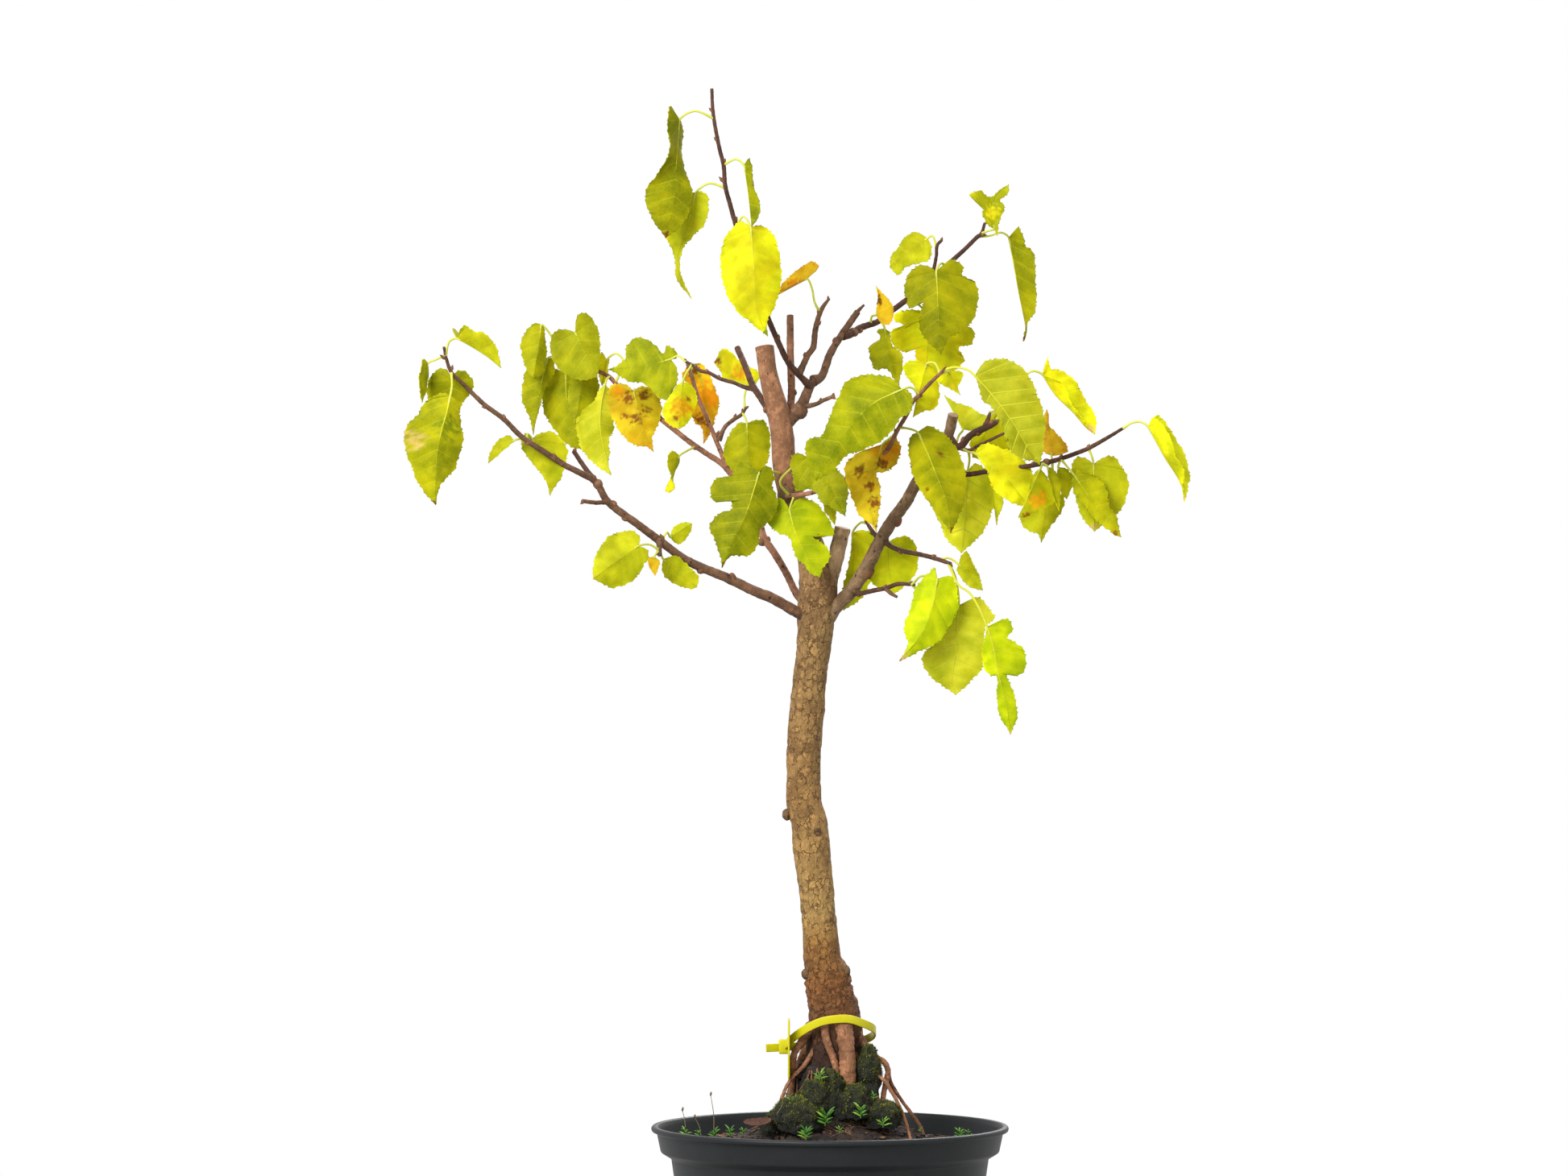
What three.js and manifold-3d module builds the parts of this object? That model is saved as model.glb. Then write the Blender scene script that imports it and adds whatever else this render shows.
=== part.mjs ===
// White mulberry bonsai with its nursery pot: wood, leaves, soil, moss, marker tie and pot.
// Millimetres, +Z up. The origin is the middle of the pot's base, and the front of the tree faces -Y.

import * as THREE from 'three';
import { mergeVertices } from 'three/addons/utils/BufferGeometryUtils.js';
import Module from 'manifold-3d';

const wasm = await Module();
wasm.setup();

// Driving dimensions of the pot
const POT_HEIGHT = 178;
const RIM_RADIUS = 111;
const COLLAR_HEIGHT = 16;
const WALL = 1.6;
const BASE_RADIUS = 76;
const FOOT_HEIGHT = 3;
const DRAIN_RADIUS = 6;
const DRAIN_CIRCLE = 46;
const DRAIN_COUNT = 6;
const POT_SEGMENTS = 32;

// Driving dimensions of the soil, the marker tie, the blades and the clearances
const SOIL_BELOW_RIM = 10;
const MOUND_HEIGHT = 26;
const ROOT_BALL_HEIGHT = 30;
const ROOT_BALL_RADIUS = 27;
const TIE_WIDTH = 5;
const TIE_THICKNESS = 1.3;
const BLADE_THICKNESS = 0.8;
const PETIOLE_RADIUS = 0.85;
const CLEARANCE = 0.35;
const SMALLEST_STEP = 0.1;

// The tree is laid out in its front view: x to the right and z up in the plane through the trunk, and a depth
// behind that plane. The view is taken from this far away, so what lies deeper is set out wider.
const VIEW_DISTANCE = 3880;
const VIEW_X = -28.5;
const VIEW_Z = 511.5;

function place(x, z, depth) {
  const spread = (VIEW_DISTANCE + depth) / VIEW_DISTANCE;
  return new THREE.Vector3(VIEW_X + (x - VIEW_X) * spread, depth, VIEW_Z + (z - VIEW_Z) * spread);
}

// Solids

function solid(geometry) {
  const bare = geometry.clone();
  bare.deleteAttribute('normal');
  bare.deleteAttribute('uv');
  const merged = mergeVertices(bare, 1e-4);
  return new wasm.Manifold(new wasm.Mesh({
    numProp: 3,
    vertProperties: new Float32Array(merged.attributes.position.array),
    triVerts: new Uint32Array(merged.index.array),
  }));
}

// The solid of a closed geometry, whichever way its faces are wound
function closed(geometry) {
  const body = solid(geometry);
  if (body.volume() > 0) return body;
  const index = Array.from(geometry.index.array);
  for (let i = 0; i < index.length; i += 3) {
    [index[i + 1], index[i + 2]] = [index[i + 2], index[i + 1]];
  }
  geometry.setIndex(index);
  return solid(geometry);
}

function meshOf(name, body, material) {
  const { vertProperties, triVerts } = body.getMesh();
  const geometry = new THREE.BufferGeometry();
  geometry.setAttribute('position', new THREE.BufferAttribute(new Float32Array(vertProperties), 3));
  geometry.setIndex(new THREE.BufferAttribute(new Uint32Array(triVerts), 1));
  geometry.computeVertexNormals();
  const mesh = new THREE.Mesh(geometry, material);
  mesh.name = name;
  return mesh;
}

function joined(bodies) {
  return bodies.reduce((sum, body) => sum.add(body));
}

// The largest piece of a body, without the crumbs that a cut has left
function largest(body) {
  return body.decompose().reduce((best, piece) => (piece.volume() > best.volume() ? piece : best));
}

// A closed cylinder bent along a curve, its radius given at each control point of the curve
function taperedTube(curve, radii, sides, steps) {
  const frames = curve.computeFrenetFrames(steps);
  const geometry = new THREE.CylinderGeometry(1, 1, 1, sides, steps);
  const position = geometry.attributes.position;
  for (let i = 0; i < position.count; i += 1) {
    const station = Math.round((position.getY(i) + 0.5) * steps);
    const along = curve.getUtoTmapping(station / steps) * (radii.length - 1);
    const before = Math.min(Math.floor(along), radii.length - 2);
    const radius = THREE.MathUtils.lerp(radii[before], radii[before + 1], along - before);
    const point = curve.getPointAt(station / steps)
      .addScaledVector(frames.normals[station], position.getX(i) * radius)
      .addScaledVector(frames.binormals[station], -position.getZ(i) * radius);
    position.setXYZ(i, point.x, point.y, point.z);
  }
  return solid(geometry);
}

// A round cord of one radius swept along a curve
function sweptCord(curve, radius, sides, steps) {
  const section = new THREE.Shape();
  for (let i = 0; i < sides; i += 1) {
    const angle = (i / sides) * 2 * Math.PI;
    const move = i === 0 ? 'moveTo' : 'lineTo';
    section[move](Math.cos(angle) * radius, Math.sin(angle) * radius);
  }
  section.closePath();
  return solid(new THREE.ExtrudeGeometry(section, { steps, extrudePath: curve, bevelEnabled: false }));
}

// Wood: each limb is a list of [x, z, depth, diameter] in the front view, from where it leaves its parent

const limbs = {
  trunk: {
    sides: 11, steps: 26,
    route: [
      [2, 146, 4, 24], [2, 168, 2, 34], [2.5, 190, 0, 38], [3, 212, 0, 37], [3.5, 232, 0, 34], [3, 244, 0, 32],
      [2, 252, 0, 30], [-0.5, 262, 0, 28], [-1.5, 271, 0, 28], [-4.5, 280, 0, 23.5], [-6.5, 301, 1, 21.5],
      [-8.5, 326, 3, 21.5], [-11.5, 351, 4, 23.5], [-13, 366, 5, 22.5], [-15.5, 376, 5, 21.5],
      [-16.5, 401, 6, 21], [-15, 426, 6, 21.5], [-13, 451, 5, 20.5], [-10, 476, 3, 21.5], [-8.5, 496, 1, 24],
      [-7.5, 516, 0, 24], [-12, 536, 0, 18.5], [-19, 556, 0, 16.5], [-26, 576, 0, 15.5], [-28.5, 590, 0, 15],
      [-29.5, 606, 0, 14.6], [-32, 620, 0, 14.4], [-35.5, 633, 1, 13], [-38.5, 646, 3, 11.6], [-40.5, 661, 6, 12],
    ],
  },
  forkStub: { sides: 7, steps: 3, route: [[-3, 508, -1, 12], [1.5, 522, -3, 11], [8, 549, -6, 11]] },
  lowerLeft: {
    sides: 5, steps: 20,
    route: [
      [-10, 492, 0, 8], [-20, 496.3, -5, 7.8], [-36, 505.3, -12, 7.3], [-45, 508.8, -15, 7], [-65, 518.3, -24, 6.5],
      [-80, 524.3, -30, 6.2], [-90, 529.3, -34, 5.9], [-105, 540.3, -41, 5.6], [-120, 551.5, -48, 5.4],
      [-132.5, 560.5, -54, 5.2], [-139, 566.5, -58, 5], [-142.5, 573, -61, 4.8], [-146, 578, -63, 4.6],
      [-154, 582.5, -67, 4.3], [-165, 588, -72, 4.1], [-175, 594.5, -77, 3.9], [-186.5, 602, -83, 3.8],
      [-192.5, 606.5, -86, 3.6], [-202.5, 616.5, -92, 3.4], [-214, 625, -98, 3.2], [-222.5, 633, -103, 2.9],
      [-229, 639.5, -107, 2.6], [-235, 645.5, -111, 2.4], [-238, 654, -115, 2.2], [-239.5, 661, -118, 1.8],
    ],
  },
  lowerLeftFork: {
    sides: 5, steps: 3, route: [[-147, 579, -63, 3.4], [-154, 589, -60, 3.2], [-159, 596.5, -58, 3]],
  },
  lowerLeftSpur: {
    sides: 5, steps: 3, route: [[-137, 565, -57, 3], [-145, 564.5, -66, 3], [-153.5, 565.5, -74, 2.8]],
  },
  lowerLeftBudSpur: {
    sides: 5, steps: 2, route: [[-106, 542, -42, 3.4], [-106, 538, -47, 3.6], [-105.5, 531.5, -50, 3]],
  },
  midLeft: {
    sides: 5, steps: 15,
    route: [
      [-12, 500, 4, 6], [-19, 505.5, 8, 5.2], [-27.5, 521.5, 18, 5], [-35, 534, 26, 5], [-41, 542.5, 32, 5.4],
      [-44, 552, 38, 5], [-52, 568, 50, 4.8], [-62.5, 584, 62, 4.6], [-67.5, 589, 66, 4.2], [-77.5, 595.5, 74, 3.9],
      [-87.5, 602.5, 82, 3.7], [-97.5, 610.5, 90, 3.6], [-105, 616.5, 96, 3.5], [-120, 628, 108, 3.3],
      [-132.5, 638, 118, 3.1], [-137.5, 643, 121, 3], [-155, 650, 128, 2.6], [-170, 656.5, 134, 2.2],
    ],
  },
  midLeftUpright: {
    sides: 4, steps: 5,
    route: [
      [-63.5, 586, 63, 3.6], [-70, 601.5, 70, 3.2], [-75, 614, 76, 3.1], [-82.5, 631.5, 86, 3],
      [-86, 644, 93, 2.8], [-88.5, 650.5, 97, 2.2],
    ],
  },
  midLeftSpur: {
    sides: 4, steps: 4,
    route: [[-69, 603, 70, 3], [-65, 611.5, 69, 2.8], [-59, 616.5, 67, 2.8], [-55, 619, 66, 2.6], [-52, 623.5, 64, 2]],
  },
  upperLeft: {
    sides: 5, steps: 4,
    route: [[-35, 617, 3, 5], [-42.5, 629, 12, 4.8], [-47.5, 636.5, 20, 4.6], [-52.5, 649, 34, 4.4], [-57.5, 660.5, 46, 4.3]],
  },
  upperLeftTwig: {
    sides: 4, steps: 6,
    route: [
      [-47, 635, 20, 3], [-52.5, 636, 24, 2.8], [-60, 639, 32, 2.7], [-68.5, 641.5, 40, 2.6], [-75, 645, 47, 2.6],
      [-81, 646.5, 53, 2.5], [-84, 649, 57, 2.4], [-89.5, 652, 64, 2],
    ],
  },
  crownStub: { sides: 7, steps: 3, route: [[-27, 615, 4, 5.6], [-24, 629, 16, 5.2], [-24.5, 655, 26, 5], [-24.7, 680.5, 34, 4.8]] },
  crownFork: {
    sides: 6, steps: 4,
    route: [[-29, 613, 0, 9], [-22, 619, 3, 9], [-17, 626, 5, 7.5], [-12.5, 636.5, 8, 6.4], [-9, 641.5, 11, 5.8]],
  },
  leaderTwig: {
    sides: 5, steps: 11,
    route: [
      [-12.5, 637, 6, 4.6], [-18, 642.5, -1, 4.4], [-25.5, 651, -8, 4.2], [-32, 664, -14, 4], [-39, 680.5, -20, 3.8],
      [-49, 710, -28, 3.5], [-58.5, 737.5, -34, 3.3], [-62.5, 751.5, -36, 3.1], [-65, 761.5, -38, 3],
      [-66, 774, -39, 2.9], [-68.5, 784, -40, 2.8], [-72.5, 806.5, -42, 2.5], [-73.3, 821.5, -43, 2.2],
    ],
  },
  crownTwig: {
    sides: 5, steps: 5,
    route: [
      [-19.5, 644, -2, 4.4], [-16.5, 650, 1, 4.2], [-13.5, 656.5, 4, 4.2], [-10.5, 660.5, 6, 4.2], [-9, 671.5, 10, 4],
      [-6.5, 681.5, 13, 3.4], [-4, 686.5, 15, 2.8], [-0.5, 691, 17, 1.8],
    ],
  },
  crownRight: {
    sides: 5, steps: 4,
    route: [[-10.5, 640, 10, 6], [-5.5, 642.5, 14, 5.6], [0, 656.5, 26, 5.2], [7.5, 669, 38, 4.8], [17, 682.5, 50, 4.4]],
  },
  crownRightTip: { sides: 5, steps: 2, route: [[14, 679, 47, 3], [18, 684, 51, 2.4], [21, 687, 54, 1.6]] },
  crownBudTwig: {
    sides: 5, steps: 4,
    route: [[-17, 624, 4, 3.2], [-9, 625.5, -1, 3], [-4, 628, -6, 2.8], [2.5, 630.5, -12, 2.6]],
  },
  upperRight: {
    sides: 5, steps: 10,
    route: [
      [8, 668, 38, 4.8], [12.5, 669, 42, 5], [19, 673, 50, 4.6], [30, 677, 60, 4.2], [39, 684, 66, 4],
      [46.5, 689.5, 70, 3.8], [62, 702, 76, 3.5], [78, 716.5, 82, 3.2], [85, 723, 85, 3], [91, 729, 87, 3],
      [94, 731.5, 88, 2.8], [96, 738, 89, 1.8],
    ],
  },
  upperRightSpur: {
    sides: 5, steps: 3, route: [[63, 703, 76, 2.6], [66, 717.5, 74, 2.3], [66.5, 724, 73, 2.4], [69.5, 727.5, 72, 2]],
  },
  lowerRight: {
    sides: 7, steps: 9,
    route: [
      [-2, 495, 0, 11], [5, 501.5, -4, 10], [12.5, 509, -8, 9.8], [22.5, 524, -15, 9.4], [31, 540.5, -22, 9],
      [37.5, 551.5, -27, 8.6], [47.5, 565.5, -34, 8.2], [53.5, 576.5, -39, 7.9], [63, 590.5, -46, 7.5],
      [72.5, 604, -53, 7.2], [76.5, 619, -60, 7],
    ],
  },
  lowerRightTwig: {
    sides: 4, steps: 5,
    route: [[33, 542, -23, 4], [37.5, 537.5, -28, 3.4], [45, 534.5, -34, 3.4], [55, 532.5, -42, 3.2], [65, 530, -50, 3.2], [75, 526.5, -58, 2.4]],
  },
  lowestRightTwig: {
    sides: 4, steps: 4,
    route: [[11, 508, -6, 3.6], [17.5, 508, -14, 3.4], [27.5, 510, -24, 3.2], [35, 511.5, -31, 3.1], [42.5, 514, -37, 3], [52.5, 513.5, -44, 2]],
  },
  lowestRightSpur: { sides: 4, steps: 2, route: [[35, 511, -31, 2.4], [38, 508, -35, 2.4], [41.5, 506, -38, 2]] },
  innerSpur: { sides: 5, steps: 3, route: [[31, 541.5, -22, 3.2], [26.5, 546.5, -17, 3], [22.5, 552.5, -13, 2]] },
  farRight: {
    sides: 5, steps: 10,
    route: [
      [60, 586.5, -44, 4.2], [72, 583, -54, 3.8], [85, 582, -62, 3.6], [98.5, 584, -70, 3.4], [125, 587.5, -84, 3.2],
      [135, 589.5, -89, 3.2], [142.5, 591.5, -93, 3.2], [152.5, 595, -98, 2.9], [160, 598, -102, 3],
      [170, 603.5, -107, 2.6], [182.5, 611, -113, 2],
    ],
  },
  darkSpur: {
    sides: 5, steps: 4, route: [[73.5, 605, -54, 4.8], [80, 599, -60, 5], [87.5, 606.5, -64, 4.6], [97.5, 611.5, -69, 4.8], [103.5, 614.5, -72, 3.4]],
  },
  darkSpurFork: { sides: 4, steps: 2, route: [[96, 611, -68, 3], [98, 616, -69, 2.8], [99.5, 620.5, -70, 2]] },
  greyTwig: { sides: 4, steps: 3, route: [[79, 599, -60, 2.6], [86, 597, -63, 2.3], [92.5, 600, -67, 2.2], [109, 608, -77, 1.8]] },
  frontTwig: {
    sides: 5, steps: 10,
    route: [
      [-26, 568.5, -2, 4], [-26, 568.5, -11, 3.4], [-10, 571, -30, 3.1], [15, 581.5, -58, 3], [35, 596.5, -80, 2.9],
      [42.5, 610.5, -92, 2.9], [47.5, 619, -99, 2.8], [51, 626.5, -104, 2.8], [55.5, 631.5, -108, 2.8],
      [62.5, 639, -116, 2.6], [71, 647, -126, 2.2],
    ],
  },
};

// Roots leave the flare of the trunk and go down into the soil
const roots = {
  frontRoot: {
    sides: 7, steps: 7,
    route: [
      [5, 246, -6, 12], [8, 240.5, -15, 11], [10, 228, -19, 10], [11, 216, -21, 10], [10.5, 203.5, -22, 9.5],
      [9, 190, -24, 8.5], [7, 176, -27, 6.5], [6.5, 160, -30, 5], [6, 148, -32, 3.5],
    ],
  },
  slimFrontRoot: {
    sides: 5, steps: 4,
    route: [[-2, 244, -8, 6], [-3, 237, -15.5, 5], [-1, 228, -18.5, 4.6], [3, 217, -20.5, 4.2], [4.5, 200, -21, 3.6], [4, 184, -20, 3]],
  },
  leftRoot: {
    sides: 5, steps: 5,
    route: [[-11, 240, -2, 8], [-18, 229, -9, 5], [-22, 223, -10, 4.2], [-23.5, 211, -11, 4], [-24, 198, -13, 3.8], [-25, 180, -15, 3.2], [-26, 160, -16, 2.4]],
  },
  leftThinRoot: {
    sides: 4, steps: 4,
    route: [[-9, 226, -8, 4], [-17, 214, -15, 2.6], [-24, 207, -18, 2.2], [-29.5, 196, -21, 2.2], [-33, 182, -23, 2], [-36, 164, -26, 1.8]],
  },
  rightRoot: {
    sides: 5, steps: 6,
    route: [
      [14, 238, -4, 8], [23, 226, -9, 4.6], [28.5, 220.5, -11, 3.6], [33.5, 217.5, -12, 3.4], [36, 212, -12, 3.4],
      [34.5, 203.5, -13, 3.4], [33, 195, -15, 3.2], [33, 181, -17, 2.8], [34, 162, -19, 2.2],
    ],
  },
  rightThinRoot: {
    sides: 4, steps: 4,
    route: [[12, 226, -8, 4], [24.5, 212, -17, 2.6], [33, 206.5, -21, 2.2], [38.5, 198.5, -24, 2.2], [46, 183, -28, 2], [52, 162, -33, 1.8]],
  },
  rightOuterRoot: {
    sides: 4, steps: 4,
    route: [[35.7, 212, -12, 2.8], [38, 204, -9, 2.4], [44.5, 193.5, -3, 2.2], [55.5, 178, 0, 2.2], [62, 160, 4, 1.8]],
  },
  backRoot: {
    sides: 6, steps: 4,
    route: [[2, 240, 8, 12], [1, 228, 17, 9], [-1, 212, 22, 8], [-4, 194, 26, 7], [-8, 176, 31, 5.5], [-12, 158, 35, 4]],
  },
  backRightRoot: {
    sides: 5, steps: 4,
    route: [[10, 236, 6, 8], [19, 222, 14, 5.5], [25, 206, 20, 5], [30, 188, 26, 4.4], [36, 160, 32, 3]],
  },
  backLeftRoot: {
    sides: 5, steps: 4,
    route: [[-8, 236, 6, 8], [-17, 220, 14, 5.5], [-22, 204, 20, 5], [-27, 186, 26, 4], [-33, 160, 32, 2.8]],
  },
};

function curveOf(route) {
  return new THREE.CatmullRomCurve3(route.map(([x, z, depth]) => place(x, z, depth)), false, 'centripetal');
}

function limbSolid({ route, sides, steps }, extra) {
  return taperedTube(curveOf(route), route.map((point) => point[3] / 2 + extra), sides, steps);
}

// Burls and bud knots: [x, z, depth, radius, stretch upward]
const burls = [
  [-20, 621, 4, 7, 0.8], [-26.5, 371, 4, 3.4, 1.2], [-8, 360, -5, 3, 1], [8, 273.5, -4, 5, 1], [-14, 272, -3, 4, 1],
  [-27, 570, -4, 6, 1.2], [-42, 540, 31, 3.4, 0.8], [16, 509, -14, 3, 0.8], [-144, 576, -62, 3.4, 1],
  [70, 602, -52, 4.6, 0.8], [134.5, 589.5, -89, 2.6, 1], [15, 670, 45, 3.2, 0.9], [-52, 567, 49, 3, 1],
];

const curves = {};
for (const [name, limb] of Object.entries({ ...limbs, ...roots })) {
  curves[name] = { curve: curveOf(limb.route), route: limb.route };
}

// The point of a limb's middle line that lies nearest to x, z in the front view, with the limb's radius there
function onLimb(name, x, z) {
  const { curve, route } = curves[name];
  const steps = 240;
  let nearest = null;
  for (let i = 0; i <= steps; i += 1) {
    const point = curve.getPoint(i / steps);
    const spread = VIEW_DISTANCE / (VIEW_DISTANCE + point.y);
    const seenX = VIEW_X + (point.x - VIEW_X) * spread;
    const seenZ = VIEW_Z + (point.z - VIEW_Z) * spread;
    const distance = Math.hypot(seenX - x, seenZ - z);
    if (nearest === null || distance < nearest.distance) {
      const along = (i / steps) * (route.length - 1);
      const before = Math.min(Math.floor(along), route.length - 2);
      const radius = THREE.MathUtils.lerp(route[before][3], route[before + 1][3], along - before) / 2;
      nearest = { distance, point, radius };
    }
  }
  return nearest;
}

function knot(centre, radius, stretch) {
  const geometry = new THREE.OctahedronGeometry(radius, 0);
  geometry.scale(1, 1, stretch);
  geometry.translate(centre.x, centre.y, centre.z);
  return solid(geometry);
}

function woodSolid(extra) {
  const tubes = Object.values({ ...limbs, ...roots }).map((limb) => limbSolid(limb, extra));
  const knots = burls.map(([x, z, depth, radius, stretch]) => knot(place(x, z, depth), radius + extra * 2, stretch));
  return joined([...tubes, ...knots]).simplify(SMALLEST_STEP);
}

// Leaves: the stalk leaves a limb, arches over and carries a blade that hangs from its base.
// base is [x, z, depth past the limb]. The rest is measured from the base: tip and rib points are
// [right, up, deeper], and left and right are the margins from base to tip. lift is how much deeper
// each margin lies than the rib, for a margin point that has no depth of its own.

const leaves = [
  { node: 'leaf_top_1', tone: 'olive', from: ['leaderTwig', -73, 803], arch: [[-84, 807.5]], base: [-93.5, 802, -4],
    tip: [-8.5, -73.5, 2], rib: [[-2, -27, 0], [-3, -50, 0]], teeth: 4, lift: [-3, 3],
    left: [[-6.5, 9, -8], [-7, -7, -12], [-5.5, -15.5, -12], [-14, -33, -5], [-21.5, -46], [-17.5, -61]],
    right: [[1, -1.5, 8], [2.5, -9, 12], [2, -17, 12], [4.5, -35.5, 6], [8.5, -44], [6, -58], [0, -68]] },
  { node: 'leaf_top_2', tone: 'lime', from: ['leaderTwig', -66.5, 759.5], arch: [[-75, 762.5]], base: [-83, 757, 4],
    tip: [-3, -66, 8], rib: [[-3, -11.5, 2], [-6.5, -25.5, 5], [-11, -39, 7], [-10.5, -52, 8]], teeth: 4, lift: [10, -3],
    left: [[-8, -2], [-17, -12], [-19.5, -24], [-18.5, -29.5], [-13.5, -42], [-11.5, -55]],
    right: [[3, 1], [7.5, -2], [8, -10], [6, -20], [-1.5, -27.5], [-8, -34.5], [-9, -50]] },
  { node: 'leaf_top_3', tone: 'green', from: ['leaderTwig', -64.5, 774.5], arch: [[-58, 777.5]], base: [-53, 773.5, -4],
    tip: [4.5, -38, -4], rib: [[2.5, -17, -2]], teeth: 3,
    left: [[2, 3, 6], [4.5, -6, 12], [5.5, -15, 13], [7, -25, 9]],
    right: [[3, 5, -3], [5.5, -6, -7], [6.5, -15, -8], [10, -25, -8], [9.5, -31, -6]] },
  { node: 'leaf_top_4', tone: 'yellow', from: ['leaderTwig', -58, 736], arch: [[-54, 742, -2]], base: [-49, 735, -10],
    tip: [10.5, -67.5, -4], rib: [[1, -15, -3], [2.5, -35, -5], [4, -52, -5]], teeth: 5, lift: [3, 5],
    left: [[-6, 4.5], [-16, -5], [-19.5, -18], [-18, -33.5], [-10, -51], [1.5, -61]],
    right: [[5, 2], [13, -2.5], [19, -20], [19, -34], [15, -50], [10.5, -58.5]] },
  { node: 'leaf_top_5', tone: 'amber', from: ['crownTwig', -7.5, 683], arch: [[-9.5, 689], [-11, 697]], base: [-14, 703.5, -2],
    tip: [-22, -12, 4], teeth: 3, lift: [2, -9],
    left: [[4, 4], [7.5, 7], [4, 11], [-6, 6], [-14, -1]],
    right: [[-3, -1], [-8, -2.5], [-14, -7]] },

  { node: 'leaf_upper_right_1', tone: 'lime', from: ['upperRight', 94, 731.5], arch: [[98, 733]], base: [102, 734.5, -8],
    tip: [9, 27.5, 2], rib: [[-2, 12, -1], [1, 20, 0]], teeth: 4, lift: [-5, -4],
    left: [[-4, 2], [-8, 10], [-6, 14], [-16, 21], [-9, 24], [-3, 20], [4, 25]],
    right: [[2, -4.5], [3.5, 4.5], [7, 14], [4, 17], [9, 22]] },
  { node: 'leaf_upper_right_2', tone: 'olive', from: ['upperRight', 92, 729.5], arch: [[99, 730, 4], [106.5, 732, 6]], base: [111, 729, 6],
    tip: [9, -64.5, 4], rib: [[3, -15, 0], [6, -32.5, 0], [10, -52.5, 2], [11, -58, 3]], teeth: 4,
    left: [[2, -6, 10], [5, -15, 16], [9, -30, 16], [12, -45, 10]],
    right: [[5, 3.5, -5], [6.5, 7.5, -7], [10, -1, -8], [10.5, -5, -8], [15, -9, -10], [17, -20, -10], [16.5, -45, -8], [12, -54, -2]] },
  { node: 'leaf_upper_right_3', tone: 'lime', from: ['upperRightSpur', 66.5, 723], arch: [[63.5, 730]], base: [60.5, 728.5, 4],
    tip: [-23.5, -18, -6], teeth: 4, lift: [4, -3],
    left: [[-4, 2.5], [-8, 4.5], [-15, 0], [-19, -6], [-23, -11]],
    right: [[3, -6], [1, -14], [-5, -16], [-13, -18], [-18, -23.5]] },
  { node: 'leaf_upper_right_4', tone: 'olive', from: ['upperRight', 72, 711], arch: [[69, 713]], base: [66, 708, -14],
    tip: [3, -51.5, -4], rib: [[1, -20, -3], [1.5, -38, -4]], teeth: 7, lift: [5, 6],
    left: [[-5, 3.5], [-12, 4], [-19, -4], [-20.5, -12], [-17, -23], [-9, -20], [-11.5, -31], [-8.5, -41]],
    right: [[6, 5.5], [10, 8], [17, 3], [17, -2], [25, -7], [26.5, -15], [23, -31], [16, -38], [9, -42]] },
  { node: 'leaf_upper_right_5', tone: 'yellow', from: ['upperRight', 48, 690.5], arch: [[54, 688]], base: [61, 680.5, 6],
    tip: [-2, -42, 8], rib: [[0, -16, 2], [-1, -30, 5]], teeth: 7, lift: [2, 6],
    left: [[-8, 4], [-20, 2], [-22, -3], [-14, -7], [-23, -9], [-23, -18], [-15, -23], [-9, -20], [-8, -32]],
    right: [[12, -3], [24, -6], [29, -10], [27, -18], [20, -20], [23, -28], [17, -34], [7, -38]] },
  { node: 'leaf_upper_right_6', tone: 'amber', from: ['upperRight', 25, 675.5], arch: [[26, 680]], base: [28.5, 681, -10],
    tip: [0, 18, -2], rib: [[3, 5, -1]], teeth: 3, lift: [-3, -3],
    left: [[0, 3], [0.5, 8], [1, 13]],
    right: [[4, -6], [8.5, -6], [11, -1], [11, 5], [7, 11], [3, 15]] },
  { node: 'leaf_upper_right_7', tone: 'olive', from: ['upperRight', 31, 677.5], arch: [[33, 675]], base: [34, 672.5, -6],
    tip: [9, -35, -2], rib: [[3, -17, -1]], teeth: 4, lift: [3, -5],
    left: [[-5, -1], [-3, -8], [-10, -11], [-9.5, -19], [-6, -26], [1, -25.5], [5, -31]],
    right: [[3, -2], [5, -10], [11, -16], [11.5, -25], [9.5, -31]] },
  { node: 'leaves_front_tip', tone: 'yellow', from: ['frontTwig', 68.5, 644.5], arch: [[65, 651]], base: [60, 650.5, 14],
    tip: [-8.5, -33, 6], teeth: 4, lift: [4, 6],
    left: [[-8, 3], [-15, -1], [-13, -8], [-8, -14], [-7, -22]],
    right: [[6, -4], [8, -14], [8.5, -20], [5, -28], [-2, -30]] },
  { node: 'leaves_front_tip', tone: 'yellow', from: ['frontTwig', 68.5, 644.5], arch: [], base: [74, 645.5, 10],
    tip: [7, -14.5, 2], teeth: 3, lift: [2, 2],
    left: [[-7, -1], [-7.5, -6], [-2, -9.5], [3, -12]],
    right: [[5, 1], [8.5, 0], [8, -5], [5.5, -9]] },

  { node: 'leaf_right_1', tone: 'pale', from: ['frontTwig', 70.5, 646.5], arch: [[77.5, 648.5], [86, 646.5]], base: [90, 643, -2],
    tip: [40, -55, 2], rib: [[12.5, -14, -1], [25, -31.5, 0], [33, -45, 1]], teeth: 7, lift: [-9, -3],
    left: [[2, -7], [4, -14.5], [10, -20], [17, -33], [22, -47], [30, -52.5], [36, -53]],
    right: [[2.5, 4.5], [6, 9.5], [15, 11.5], [25, 9], [33, 2], [38, -8], [44, -27], [43.5, -40], [42, -50]] },
  { node: 'leaf_right_2', tone: 'olive', from: ['frontTwig', 43, 611], arch: [[48, 610.5]], base: [54.5, 608, -4],
    tip: [20.5, -62.5, 4], rib: [[5.5, -11.5, -1], [11.5, -26.5, -1], [16.5, -39, 0], [19.5, -51.5, 2]], teeth: 7, lift: [5, 6],
    left: [[-4, -1.5], [-6, -6.5], [-5.5, -16.5], [-4, -26.5], [0.5, -34], [5.5, -42.5], [11.5, -51.5], [16.5, -57]],
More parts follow.
